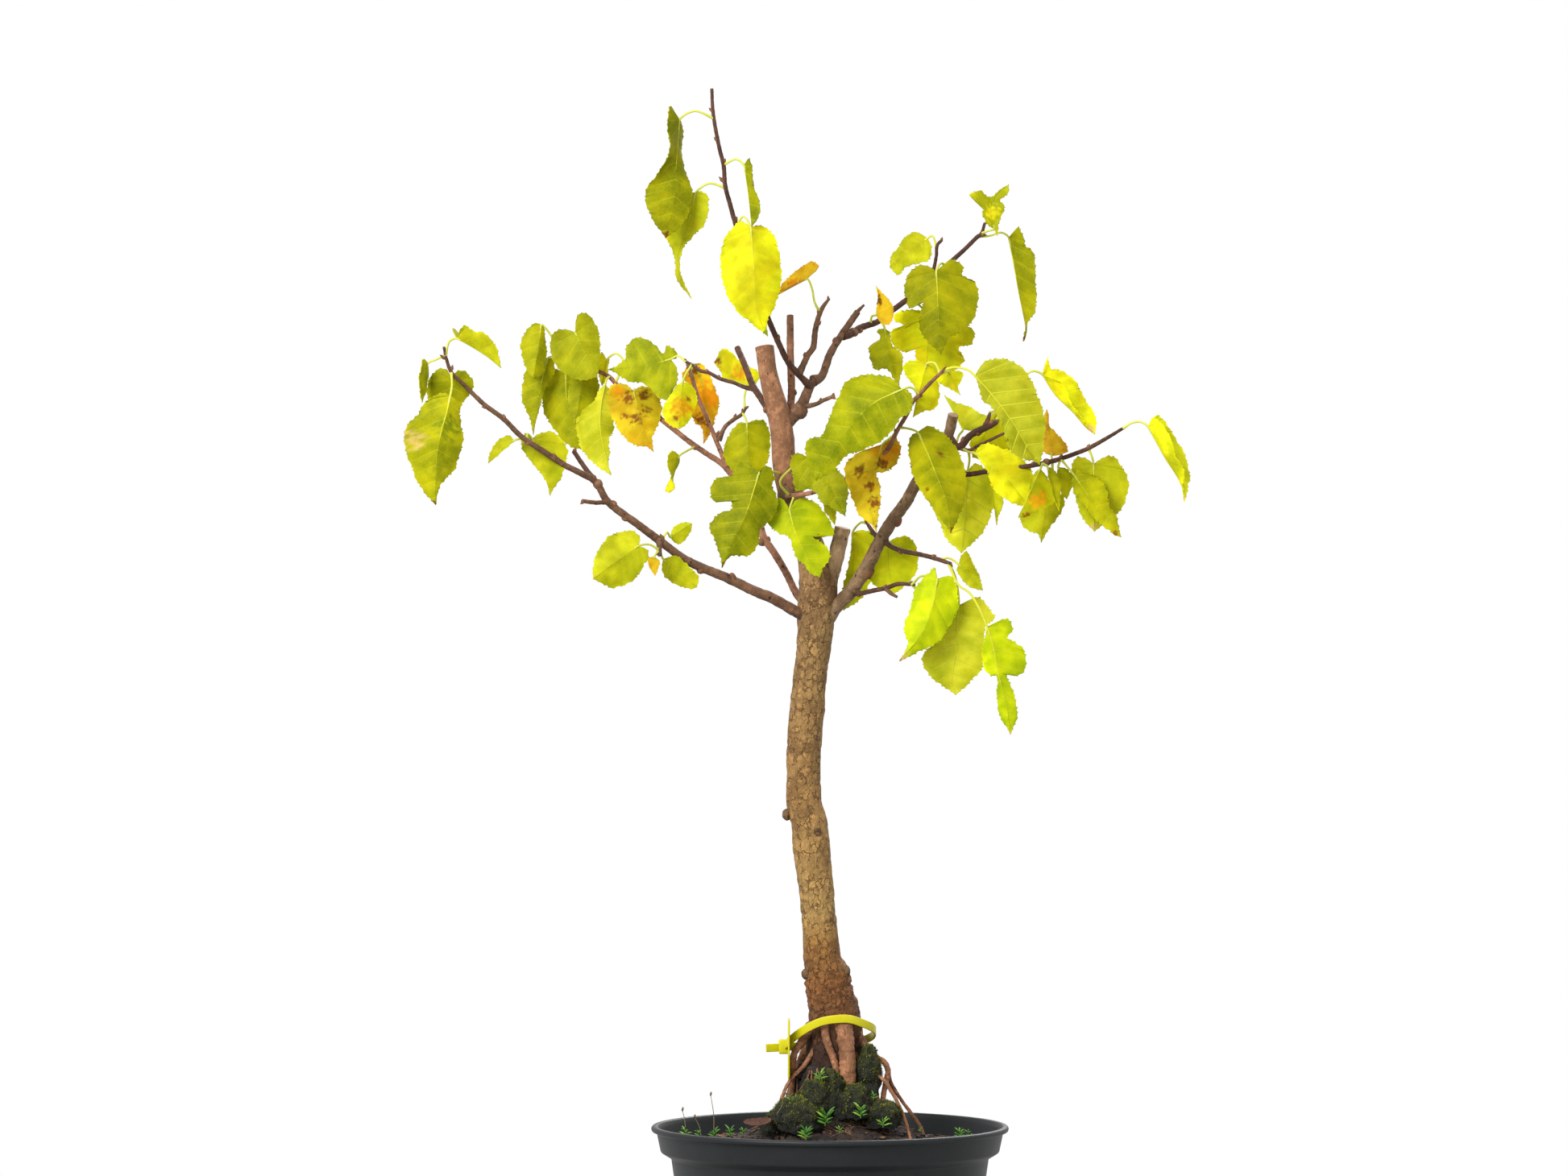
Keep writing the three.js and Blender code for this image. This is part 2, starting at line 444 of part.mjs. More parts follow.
    right: [[3, 2.5], [7, 4.5], [13, 2], [20.5, -4], [26, -12], [29, -22], [30.5, -32], [30, -42], [26, -52]] },
  { node: 'leaf_right_3', tone: 'pale', from: ['greyTwig', 86, 597], arch: [[86.5, 591, 4]], base: [85.5, 584, 12],
    tip: [-4, -51, 4], rib: [[-1, -16, 1], [-2, -34, 2]], teeth: 5, lift: [4, 5],
    left: [[-10, 2], [-19, -10], [-21, -25], [-18, -32.5], [-13, -43.5], [-8, -47.5]],
    right: [[4.5, 5], [10.5, 2.5], [16, -7.5], [18, -15], [15.5, -25], [12, -35], [7, -41.5]] },
  { node: 'leaf_right_4', tone: 'pale', from: ['darkSpur', 78.5, 600.5], arch: [[80, 606, 6]], base: [82.5, 610, 14],
    tip: [-11.5, 21, 4], teeth: 4, lift: [8, 2],
    left: [[-1.5, 7], [-5.5, 14]],
    right: [[7, -1], [15, 3], [17.5, 7.5], [10, 10.5], [5, 14], [-4, 17]] },
  { node: 'leaf_right_5', tone: 'yellow', from: ['darkSpurFork', 99.5, 620.5], arch: [], base: [104, 621.5, 6],
    tip: [-15.5, -29, 10], teeth: 4, lift: [2, 4],
    left: [[-5, -3, 4], [-14, -12, 9], [-17.5, -20, 10]],
    right: [[5, -4], [9, -14], [9, -24], [0, -29], [-8, -31]] },
  { node: 'leaf_right_6', tone: 'yellow', from: ['greyTwig', 83, 597.5], arch: [[86, 596, -8]], base: [90, 595, -18],
    tip: [33, -32, -8], rib: [[10, -8, -3], [20, -16, -5]], teeth: 5, lift: [-6, 5],
    left: [[3, -5], [8, -13], [9, -19], [14, -25], [21, -30.5], [27, -32.5]],
    right: [[2, 4], [7, 7], [14, 4.5], [25, 0.5], [33, -6], [37, -15], [36.5, -23], [34.5, -29]] },
  { node: 'leaf_right_7', tone: 'lime', from: ['farRight', 101, 584.5], arch: [], base: [101, 579, 4],
    tip: [2.5, -28.5, 0], teeth: 3,
    left: [[-1, -8, 6], [1, -18, 6]],
    right: [[5, -6, -4], [7, -15, -5], [4, -22, -3]] },
  { node: 'leaves_right_8', tone: 'olive', from: ['farRight', 132, 588.5], arch: [], base: [130.5, 585.5, -10],
    tip: [-13.5, -30.5, -3], teeth: 4, lift: [2, 3],
    left: [[-3, -2], [-6, -10], [-8, -20], [-12, -26]],
    right: [[5, -6], [8, -14], [9, -20], [5, -24], [-2, -26], [-8, -30]] },
  { node: 'leaves_right_8', tone: 'olive', from: ['farRight', 132, 588.5], arch: [], base: [135, 586.5, -16],
    tip: [7, -27, -3], teeth: 3, lift: [-3, 3],
    left: [[0, -4], [2, -13], [4, -20]],
    right: [[3.5, -1], [7, -6], [8.5, -14], [8, -21]] },
  { node: 'leaves_right_9', tone: 'lime', from: ['farRight', 138, 590], arch: [[138, 580, 6]], base: [135, 569, 8],
    tip: [-4, -29.5, 2], teeth: 4, lift: [3, 3],
    left: [[-8, -3], [-15, -9], [-17, -17], [-12, -22.5], [-6, -24.5]],
    right: [[7, 2], [11, -2], [9, -10], [6, -15], [2, -20]] },
  { node: 'leaves_right_9', tone: 'amber', from: ['farRight', 138, 590], arch: [], base: [137.5, 593.5, 6],
    tip: [-3, 29, 8], teeth: 4, lift: [3, 3],
    left: [[-6, 3], [-8, 12], [-6, 22]],
    right: [[7.5, 1], [10.5, 3], [7.5, 10], [1.5, 16], [-1.5, 19], [-1.5, 25]] },
  { node: 'leaf_right_11', tone: 'lime', from: ['farRight', 160.5, 598], arch: [[162.5, 593, 1]], base: [163.5, 588, 4],
    tip: [0.5, -41.5, 4], rib: [[0.5, -20, 1]], teeth: 6, lift: [4, 5],
    left: [[-3.5, 3.5], [-9.5, 5.5], [-13.5, 1], [-14.5, -6.5], [-12, -16.5], [-10, -26.5], [-7, -34]],
    right: [[4, 3.5], [11.5, 6], [19, -2.5], [22.5, -10.5], [20.5, -20.5], [17.5, -28], [8, -36.5]] },
  { node: 'leaves_right_12', tone: 'olive', from: ['farRight', 143, 592], arch: [[147, 587, -4]], base: [151.5, 581.5, -8],
    tip: [29, -38.5, -4], rib: [[8, -12, -2], [16, -21, -3], [23.5, -29, -4]], teeth: 6, lift: [-3, 3],
    left: [[-2, -5], [0, -12], [6, -20], [14, -29], [20, -34], [25, -37.5]],
    right: [[2, 3.5], [6, 2], [12.5, 0], [18.5, -5], [21, -11], [22.5, -19], [26.5, -25], [28, -32.5]] },
  { node: 'leaves_right_12', tone: 'olive', from: ['farRight', 143, 592], arch: [], base: [141.5, 586.5, 1],
    tip: [5.5, -20, 3], teeth: 4, lift: [0, 0],
    left: [[-1, -4], [0, -12], [2, -17]],
    right: [[6, -1], [9, -6], [9, -12], [7, -17]] },
  { node: 'leaf_right_13', tone: 'lime', from: ['farRight', 182, 610.5], arch: [[187.5, 614, -2], [193, 614.5, -3]], base: [197.5, 611.5, -5],
    tip: [22.5, -46.5, -6], rib: [[5, -9, -1], [11, -20, -2], [17.5, -30, -3], [21, -37.5, -5]], teeth: 5,
    left: [[3, 6, -5], [8, 3, -9], [14, -8, -13], [18, -18, -14], [22, -27, -12], [22, -36, -8]],
    right: [[5, 8, 3], [8, 6, 5], [16.5, -5, 8], [21.5, -15, 9], [25, -25, 7], [26.5, -31, 3], [25, -38, -1]] },
  { node: 'leaf_right_14', tone: 'yellow', from: ['darkSpur', 102.5, 614], arch: [[113, 632, 4], [125, 646, 6]], base: [132, 644, 8],
    tip: [32.5, -37, 2], rib: [[8, -12.5, 0], [19, -23.5, 0], [28, -34, 1]], teeth: 5,
    left: [[5, -1, -5], [10.5, -4, -9], [15, -11, -9], [19, -18.5, -7], [24, -27, -4]],
    right: [[3, 11, 2], [5, 4, 4], [10, 3.5, 7], [15.5, 1, 9], [22, -6.5, 10], [25.5, -13.5, 10], [29.5, -19, 8], [33, -25, 6], [33.5, -32, 4]] },

  { node: 'leaf_centre_1', tone: 'green', from: ['frontTwig', 55.5, 632], arch: [[50, 636]], base: [44.5, 634.5, -6],
    tip: [-53, -56.5, 20], rib: [[-17, -8, 3], [-29.5, -20.5, 7], [-42, -38, 13]], teeth: 7, lift: [4, -3],
    left: [[-5, 7], [-20, 10], [-34, 6], [-39.5, -3], [-45, -15.5], [-49.5, -28], [-58, -30.5], [-60.5, -36], [-59.5, -44], [-57, -51]],
    right: [[4, 0], [7.5, -6], [6, -14], [0, -18], [-4, -24], [-12, -32], [-24, -38], [-35, -42], [-41, -50]] },
  { node: 'leaf_centre_2', tone: 'green', from: ['frontTwig', -25, 568.5], arch: [[-31, 577, -14], [-26, 584, -24]], base: [-14, 592.5, -38],
    tip: [23.5, -36.5, -14], rib: [[8, -10, -5], [16, -22, -9]], teeth: 6, lift: [-3, -3],
    left: [[-6, 3], [-10, 1.5], [-11, -5], [-9.5, -12], [-7.5, -21], [3, -20.5], [8, -28], [15.5, -32.5]],
    right: [[6, 2], [16, -4], [23, -12], [26, -19], [25.5, -26]] },
  { node: 'leaf_centre_3', tone: 'green', from: ['trunk', -28, 582], arch: [[-37, 584, -16]], base: [-44, 582.5, -26],
    tip: [-23, -58.5, -4], rib: [[-3.5, -11, -2], [-8.5, -26, -4], [-16, -41, -5]], teeth: 7, lift: [4, 4],
    left: [[-7, 6.5], [-12, 7.5], [-18, -1], [-27, -3], [-30.5, -10], [-29, -17.5], [-19, -17], [-18, -22], [-25, -24.5], [-31, -32], [-28, -42], [-25, -50]],
    right: [[3, 5], [7.5, 4], [10.5, -4], [8.5, -6], [12, -17], [9.5, -27], [1, -36], [0, -44], [-7, -51.5], [-17, -51.5], [-20, -54]] },
  { node: 'leaf_centre_4', tone: 'bright', from: ['frontTwig', -22, 569], arch: [], base: [-25, 560, -3],
    tip: [19, -42, -8], rib: [[2.5, -11, -3], [10, -28.5, -6]], teeth: 7, lift: [3, 3],
    left: [[-3, 5.5], [-6, 8], [-11, 3], [-13.5, -9], [-8, -14.5], [0, -18], [3, -29], [9, -35], [13, -40]],
    right: [[3, 5.5], [8, 8], [16, 5], [24, -4], [28, -15.5], [14, -16], [22, -21], [26, -29], [21.5, -36]] },
  { node: 'leaf_centre_5', tone: 'spotted', from: ['frontTwig', 41.5, 609.5], arch: [[38, 605, 5]], base: [32.5, 600.5, 12],
    tip: [-3.5, -54.5, 10], rib: [[-3.5, -11.5, 2], [-7, -24, 5], [-7, -40, 8]], teeth: 6, lift: [4, -3],
    left: [[-7, -2], [-15, -5], [-22, -10], [-24, -17], [-21.5, -27], [-18, -37], [-13.5, -45.5], [-7, -50]],
    right: [[6.5, 5.5], [11, 2], [11.5, -6.5], [7.5, -14], [1.5, -17.5], [-3, -18], [-1, -25], [-0.5, -35], [-2, -45]] },
  { node: 'leaf_centre_6', tone: 'olive', from: ['frontTwig', 5, 577], arch: [], base: [-1, 570.5, 12],
    tip: [4, -20, 2], teeth: 3, lift: [1, 1],
    left: [[-3, -5], [-3, -10], [0, -15]],
    right: [[4, -4], [5, -10], [5, -15]] },
  { node: 'leaf_centre_7', tone: 'lime', from: ['innerSpur', 23, 552], arch: [[19, 552, 8]], base: [14, 545.5, 22],
    tip: [-5.5, -48, 0], rib: [[0, -16, 1], [-1, -32, 1]], teeth: 5, lift: [2, 3],
    left: [[-1, -5], [-2, -15], [-5, -27], [-7.5, -38]],
    right: [[4, 2], [12, 1], [17, -8], [15, -22], [9, -36], [5, -42]] },
  { node: 'leaf_centre_8', tone: 'lime', from: ['lowerRightTwig', 35, 540], arch: [[36, 542, 6]], base: [36, 539.5, 14],
    tip: [3, -32, 2], rib: [[0.5, -16, 1]], teeth: 5, lift: [2, 3],
    left: [[-4, 3], [-10, -1], [-14, -10], [-14, -20], [-8, -27], [-2, -30]],
    right: [[4, 3], [11.5, 4.5], [17, 0], [19, -8], [18, -18], [13, -25], [7, -30]] },

  { node: 'leaf_low_right_1', tone: 'lime', from: ['lowerRightTwig', 68, 529.5], arch: [[74, 530]], base: [80, 526, -4],
    tip: [15, -16, -4], teeth: 4, lift: [-2, 4],
    left: [[-1.5, -3], [0, -7], [3.5, -11.5], [8.5, -15]],
    right: [[1, 5], [3, 8], [5, 8.5], [8, 3], [13, -7]] },
  { node: 'leaves_low_right_2', tone: 'bright', from: ['lowestRightTwig', 51, 513.5], arch: [[57, 519, -8]], base: [66.5, 517, -16],
    tip: [-23.5, -51, 0], rib: [[-2.5, -15.5, -2], [-9, -33, -2]], teeth: 6, lift: [5, 4],
    left: [[-2, 8], [-5, 5], [-12, -3], [-15, -9], [-17.5, -19], [-21, -31], [-19, -39], [-20, -44]],
    right: [[4.5, 1.5], [10, 2], [13.5, -13], [13, -20], [8, -30], [1, -39], [-8, -44], [-16, -48]] },
  { node: 'leaves_low_right_3', tone: 'pale', from: ['lowerRightTwig', 73.5, 527], arch: [[77.5, 519, 5], [79.5, 509, 8]], base: [80, 500.5, 10],
    tip: [-2, -55.5, 6], rib: [[-1, -12, 1], [-2.5, -32, 3], [-4, -44, 4]], teeth: 6, lift: [-3, -4],
    left: [[-4, -3], [-9, -12], [-14, -20], [-21, -28], [-23.5, -33], [-20, -42], [-12.5, -49], [-6, -53]],
    right: [[4, 1.5], [9, 5], [13, 6], [18, 0], [23, -7], [17, -14], [16, -26], [15.5, -38], [10, -45], [3, -52]] },
  { node: 'leaves_low_right_3', tone: 'bright', from: ['lowerRightTwig', 73.5, 527], arch: [[80, 513, -5], [86, 509, -6], [92, 500, -8]], base: [97.5, 487.5, -8],
    tip: [14.5, -67, 6], rib: [[3.5, -11, 0], [7.5, -31, 1], [12.5, -51, 3]], teeth: 7, lift: [5, 5],
    left: [[-1.5, -6], [-3.5, -14], [-2, -25], [2.5, -31], [5, -30], [6, -42], [8, -57], [11.5, -62]],
    right: [[5, 1.5], [10, 5], [14, 5], [16.5, -2], [12.5, -7], [18, -10], [23, -14], [25, -21], [23, -29], [20, -31], [12.5, -29.5], [15.5, -38], [19.5, -53], [18, -60]] },
  { node: 'leaves_low_right_2', tone: 'bright', from: ['lowestRightTwig', 51, 513.5], arch: [[60, 503, 2]], base: [73, 491, 8],
    tip: [-5, -18, 2], teeth: 3, lift: [1, 1],
    left: [[-4, -6], [-5, -12]],
    right: [[3, -6], [2.5, -13]] },

  { node: 'leaves_left_1', tone: 'lime', from: ['lowerLeft', -238.5, 656], arch: [[-236, 664.5]], base: [-231.5, 666.5, -6],
    tip: [27.5, -18.5, -4], rib: [[9, -5, -1], [19, -11.5, -2]], teeth: 4,
    left: [[-3, 6.5, 4], [5, -1, 8], [14, -5, 10], [22, -11, 6]],
    right: [[2, 4, -3], [2.5, 7.5, -5], [6, 8.5, -6], [10.5, 4.5, -6], [16.5, 4, -8], [20.5, 1, -8], [24, -4, -8], [26.5, -11, -6]] },
  { node: 'leaves_left_1', tone: 'lime', from: ['lowerLeft', -238.5, 656], arch: [[-244, 653.5]], base: [-249.5, 651, 4],
    tip: [-3.5, -24.5, -1], rib: [[-1, -10, 0]], teeth: 3,
    left: [[-3, 3, -4], [-5, -5, -7], [-5.5, -15, -6]],
    right: [[0, -3, 7], [0, -12, 9], [-2, -20, 5]] },
  { node: 'leaves_left_3', tone: 'olive', from: ['lowerLeft', -234.5, 645.5], arch: [], base: [-234.5, 641, 7],
    tip: [-1, -30, 6], teeth: 4, lift: [3, 3],
    left: [[-4, 7], [-8, 7], [-12, 4], [-15, -1], [-16, -10], [-13, -20], [-7, -27]],
    right: [[3, 5.5], [7, 6], [11, 3], [14, -3], [11, -10], [7, -15], [4, -23]] },
  { node: 'leaves_left_3', tone: 'olive', from: ['lowerLeft', -234.5, 645.5], arch: [[-234.5, 637, -6]], base: [-235.5, 631, -8],
    tip: [-9, -68, 4], rib: [[-2, -9.5, -2], [-5.5, -22, -2], [-8, -34.5, -1], [-9, -49.5, 1]], teeth: 7, lift: [6, 5],
    left: [[-4.5, 2], [-10, 0], [-17, -5], [-21, -12], [-27.5, -19.5], [-29, -25], [-28.5, -34.5], [-24.5, -44.5], [-19.5, -56], [-13, -64.5]],
    right: [[2, -1], [5, -5], [7, -15], [8, -28.5], [6.5, -36], [3, -47], [-3, -52], [-7.5, -60]] },
  { node: 'leaves_left_4', tone: 'lime', from: ['lowerLeft', -188.5, 602.5], arch: [[-192, 604, 1]], base: [-196, 603, 2],
    tip: [-16, -14, -3], teeth: 4, lift: [2, -4],
    left: [[-3, 3.5], [-8, 2], [-12.5, -2.5], [-15.5, -8]],
    right: [[-1, -1], [-5, -5], [-11, -10]] },
  { node: 'leaves_left_4', tone: 'lime', from: ['lowerLeft', -188.5, 602.5], arch: [[-187.5, 607, 5]], base: [-184.5, 604, 8],
    tip: [11, -35.5, 2], rib: [[4.5, -10, 1], [8.5, -22.5, 1]], teeth: 5, lift: [3, 4],
    left: [[-3, 4], [-6.5, 2.5], [-7.5, -2.5], [-5.5, -8.5], [0, -16], [5.5, -22.5], [9.5, -29]],
    right: [[3, 3], [12, 5], [20, -2], [22.5, -8], [20, -18], [17.5, -26], [13, -31.5]] },
  { node: 'leaves_left_5', tone: 'olive', from: ['midLeft', -169.5, 656.5], arch: [[-173, 668, -4]], base: [-179, 675, -8],
    tip: [-5, -34, -4], teeth: 4, lift: [4, 5],
    left: [[-4, 1], [-9.5, -3], [-13, -11], [-12.5, -20], [-9.5, -28]],
    right: [[1.5, -2], [3, -10], [3, -22], [1, -31]] },
  { node: 'leaves_left_5', tone: 'olive', from: ['midLeft', -169.5, 656.5], arch: [], base: [-175, 654, 0],
    tip: [-9, -47.5, 2], rib: [[-5, -20, 1]], teeth: 4, lift: [4, 3],
    left: [[-6, 2], [-13, -5], [-16.5, -17], [-16, -27], [-12, -37]],
    right: [[4, 0], [4, -10], [-2, -22], [-5, -32], [-8, -42]] },
  { node: 'leaf_left_6', tone: 'lime', from: ['midLeft', -158, 651], arch: [[-159, 662, -12]], base: [-158, 670, -20],
    tip: [13.5, -28, -4], rib: [[4, -9, -2], [9, -18, -3]], teeth: 5, lift: [5, 4],
    left: [[-5, 2], [-11, 2], [-15.5, -3], [-15.5, -12], [-12, -21], [-5, -27], [4, -30]],
    right: [[0.5, 4], [0.5, 10], [3.5, 12.5], [8, 12], [12, 7], [15, 0], [16, -8], [15.5, -20]] },
  { node: 'leaf_left_7', tone: 'olive', from: ['midLeft', -164, 653.5], arch: [[-164, 650, 9]], base: [-164, 644.5, 12],
    tip: [13, -46.5, -4], rib: [[1, -18, -2], [6, -34, -3]], teeth: 6, lift: [5, 3],
    left: [[-6, 3], [-13, -3], [-15, -15], [-12.5, -27], [-6, -37], [-1, -43], [6, -47]],
    right: [[6, 0], [11, -8], [13, -20], [11, -32], [9, -40]] },
  { node: 'leaf_left_8', tone: 'olive', from: ['midLeft', -150, 648], arch: [], base: [-153, 644, 2],
    tip: [-5, -32, -2], teeth: 4, lift: [2, 4],
    left: [[-5, 1], [-9, -6], [-10, -16], [-8, -25]],
    right: [[6, 2], [10, -5], [9, -17], [3, -24], [-2, -29]] },
  { node: 'leaf_left_9', tone: 'pale', from: ['midLeft', -137, 642.5], arch: [[-138.5, 641, -10]], base: [-139.5, 637.5, -13],
    tip: [3.5, -56, -4], rib: [[-2.5, -13, -1], [-3, -26, -2], [-1.5, -36, -2]], teeth: 5, lift: [5, 4],
    left: [[-4, -3], [-8, -11], [-14.5, -17], [-19, -24], [-18, -30], [-15, -40], [-8, -48.5], [-3, -52.5]],
    right: [[3, -3], [5, -12], [6, -22], [6, -28], [3, -34], [3.5, -42], [2, -50]] },
  { node: 'leaf_left_10', tone: 'yellow', from: ['midLeft', -133, 638.5], arch: [[-128, 652, 2], [-132.5, 657, 2]], base: [-138.5, 653, 4],
    tip: [-3, -16, 2], teeth: 3, lift: [3, 3],
    left: [[-3, 5], [-5, -3], [-5, -10]],
    right: [[1.5, 2], [1, -6], [1, -11]] },
  { node: 'leaf_left_11', tone: 'green', from: ['upperLeftTwig', -89, 652], arch: [[-94, 655.5]], base: [-99, 653.5, 6],
    tip: [-38.5, -6.5, 6], rib: [[-14, -4, 1], [-27, -5.5, 3]], teeth: 7, lift: [4, -5],
    left: [[4, 0.5], [4, 5], [-2, 9], [-5.5, 3.5], [-9, 9], [-16, 13], [-21, 14], [-28, 8], [-28, 2], [-32, -3]],
    right: [[4, -5], [5, -12], [2, -20], [-3, -26], [-8, -24], [-16, -16], [-27, -14], [-34, -9]] },
  { node: 'leaf_left_12', tone: 'spotted', from: ['midLeft', -119.5, 628], arch: [[-121, 635, -8]], base: [-121.5, 633, -16],
    tip: [12, -37, -4], rib: [[2.5, -11.5, -2], [5, -23, -3]], teeth: 6, lift: [4, 4],
    left: [[-4, 4.5], [-9, 6], [-15, 4], [-17.5, -4], [-15, -13], [-11, -22], [-6, -29], [2, -34], [7, -34]],
    right: [[3, 3.5], [8, 4], [14, 0], [17.5, -9], [16, -19], [12, -28]] },
  { node: 'leaf_left_13', tone: 'yellow', from: ['upperLeftTwig', -85.5, 650], arch: [[-89, 645, -4]], base: [-91.5, 639, -6],
    tip: [-2, -29, -2], teeth: 4, lift: [3, 3],
    left: [[-3.5, -1.5], [-8, -8], [-12, -15], [-12.5, -21], [-8, -27]],
    right: [[4, 0], [8, -4], [9.5, -11], [7, -19], [3, -26]] },
  { node: 'leaf_left_14', tone: 'amber', from: ['midLeftUpright', -86.5, 646], arch: [], base: [-84, 650.5, 8],
    tip: [5.5, -49.5, 4], rib: [[5, -12, 1], [7, -28, 2], [7.5, -41, 3]], teeth: 5, lift: [5, 4],
    left: [[-5, -2], [-8, -7], [-4, -15], [-3, -27], [-1, -36], [4, -40]],
    right: [[4, 0.5], [9, -5], [13, -14], [15.5, -25], [13.5, -34], [9.5, -44]] },
  { node: 'leaf_left_15', tone: 'yellow', from: ['midLeftSpur', -52.5, 622], arch: [[-53, 630, 4]], base: [-52, 637, 6],
    tip: [-20, 14.5, 4], teeth: 4, lift: [-2, 3],
    left: [[-6, 1], [-13, 2], [-16.5, 9]],
    right: [[6, 1], [8.5, 4], [8, 9], [2, 12], [-5, 17], [-10, 22], [-15.5, 23], [-18, 18]] },
  { node: 'leaf_left_16', tone: 'olive', from: ['midLeftSpur', -54, 620], arch: [[-52.5, 617, -4]], base: [-51.5, 613.5, -6],
    tip: [1.5, -37, -2], rib: [[0.5, -18, -2]], teeth: 4, lift: [4, 4],
    left: [[-4.5, 1], [-8.5, -2], [-12, -8], [-14.5, -14.5], [-15, -20], [-12.5, -26], [-7, -32]],
    right: [[4, 2], [10.5, 2.5], [14, -4], [15, -13], [13.5, -23], [9, -29.5]] },
  { node: 'leaf_left_17', tone: 'lime', from: ['midLeft', -83, 599.5], arch: [[-89, 596.5, -4]], base: [-93.5, 593.5, -7],
    tip: [-6.5, -23, -1], teeth: 3,
    left: [[-4, 3.5, -3], [-7, 1, -5], [-7, -8, -5], [-5.5, -13, -2], [-9, -21, 3]],
    right: [[0, -3, 3], [-2, -8, 5], [-4.5, -13, 1], [-3, -20, -4]] },
  { node: 'leaves_left_18', tone: 'lime', from: ['lowerLeftBudSpur', -106, 535], arch: [[-112, 538.5, -4]], base: [-119, 537.5, -8],
    tip: [-28, -20.5, -4], rib: [[-14, -10, -3]], teeth: 6, lift: [3, 4],
    left: [[1.5, 5], [-1, 9], [-6, 10], [-12, 9], [-18.5, 6.5], [-23.5, 0], [-27, -6], [-28.5, -13.5]],
    right: [[6.5, -2.5], [7, -7], [4, -12], [1.5, -17], [-3.5, -22], [-11, -25.5], [-17, -26.5], [-23.5, -23]] },
  { node: 'leaf_left_19', tone: 'lime', from: ['lowerLeft', -104, 540.5], arch: [[-101, 546, 5]], base: [-99, 543, 8],
    tip: [13.5, 8.5, 2], teeth: 4, lift: [2, 2],
    left: [[1, 5], [4, 8], [9, 9.5]],
    right: [[2, -3], [6, -4.5], [10, -1], [13, 4]] },
  { node: 'leaves_left_18', tone: 'lime', from: ['lowerLeftBudSpur', -106, 535], arch: [], base: [-103.5, 529.5, 6],
    tip: [21, -17.5, 4], teeth: 4, lift: [3, 2],
    left: [[-1, -6], [0.5, -11], [5, -14.5], [11.5, -17.5], [17, -19]],
    right: [[4, 1.5], [8, 2.5], [13, -1], [18, -6], [22.5, -11]] },
  { node: 'leaves_left_18', tone: 'amber', from: ['lowerLeftBudSpur', -106, 535], arch: [], base: [-109, 531, -5],
    tip: [0.5, -12, -1], teeth: 3, lift: [-2, 2],
    left: [[-4, -1], [-4, -5], [-2, -8.5]],
    right: [[3.5, -3], [2.5, -8]] },
];

const TONES = {
  yellow: 0xd8d81a, lime: 0xb7c41c, olive: 0x8f9c10, green: 0x86a012, bright: 0xa0c814, pale: 0xbcc850,
  amber: 0xd29a1e, spotted: 0xb89a1a,
};

// A margin from base to tip as a smooth line through its points, cut into teeth that lean to the tip
function toothedMargin(points, teeth, toothDepth) {
  const curve = new THREE.CatmullRomCurve3(points, false, 'centripetal');
  const count = teeth * 2;
  const middle = points[0].clone().lerp(points[points.length - 1], 0.45);
  return Array.from({ length: count + 1 }, (_, i) => {
    const point = curve.getPointAt(i / count);
    if (i % 2 === 1) {
      point.addScaledVector(point.clone().sub(middle).normalize(), toothDepth);
    }
    return point;
  });
}

// One blade: each margin point is joined to the rib by a straight line that runs back to the base,
// as the side veins do. The two faces have the same triangles, BLADE_THICKNESS apart.
function bladeSolid(leaf, base) {
  const tip = leaf.tip;
  const at = ([right, up, deeper = 0]) => place(leaf.base[0] + right, leaf.base[1] + up, base.y + deeper);
  const bends = leaf.rib ?? [[tip[0] / 2, tip[1] / 2, tip[2] / 2]];
  const rib = new THREE.CatmullRomCurve3([[0, 0, 0], ...bends, tip].map(at), false, 'centripetal');
  const ribSteps = leaf.teeth > 4 ? 4 : 3;
  const vertices = rib.getSpacedPoints(ribSteps);
  const axis = vertices[ribSteps].clone().sub(base);
  const size = axis.length();
  axis.normalize();
  const faces = [];
  const rims = [leaf.left, leaf.right].map((points, side) => {
    const margin = toothedMargin([at([0, 0, 0]), ...liftedMargin(leaf, side).map(at), at(tip)], leaf.teeth,
      Math.min(1.1, size * 0.03));
    const rim = [];
    let foot = 0;
    let edge = 0;
    const face = (a, b, c) => faces.push(side === 0 ? [a, b, c] : [a, c, b]);
    margin.slice(1).forEach((point, i) => {
      const atTip = i === margin.length - 2;
      const reached = point.clone().sub(base);
      const along = reached.dot(axis);
      const across = Math.sqrt(Math.max(0, reached.lengthSq() - along * along));
      const nearest = Math.round(((along - 0.5 * across) / size) * ribSteps);
      const next = atTip ? ribSteps : vertices.push(point) - 1;
      const nextFoot = Math.max(foot, Math.min(ribSteps - 1, nearest));
      if (edge !== foot) face(foot, edge, next);
      for (; foot < (atTip ? ribSteps - 1 : nextFoot); foot += 1) face(foot, next, foot + 1);
      rim.push(edge);
      edge = next;
    });
    return [...rim, ribSteps];
  });
  return slab(vertices, faces, [...rims[0].slice(0, -1), ...rims[1].slice(1).reverse()]);
}

// The points of one margin with their depth: their own, or the rib's plus the lift of that side
function liftedMargin(leaf, side) {
  const [tipRight, tipUp, tipDeeper] = leaf.tip;
  const lift = (leaf.lift ?? [0, 0])[side];
  const points = side === 0 ? leaf.left : leaf.right;
  const length = tipRight ** 2 + tipUp ** 2;
  const offAxis = ([right, up]) => Math.abs(right * tipUp - up * tipRight);
  const widest = Math.max(...points.map(offAxis));
  return points.map((point) => {
    const [right, up, deeper] = point;
    const along = THREE.MathUtils.clamp((right * tipRight + up * tipUp) / length, 0, 1);
    return [right, up, deeper ?? along * tipDeeper + (lift * offAxis(point)) / widest];
  });
}

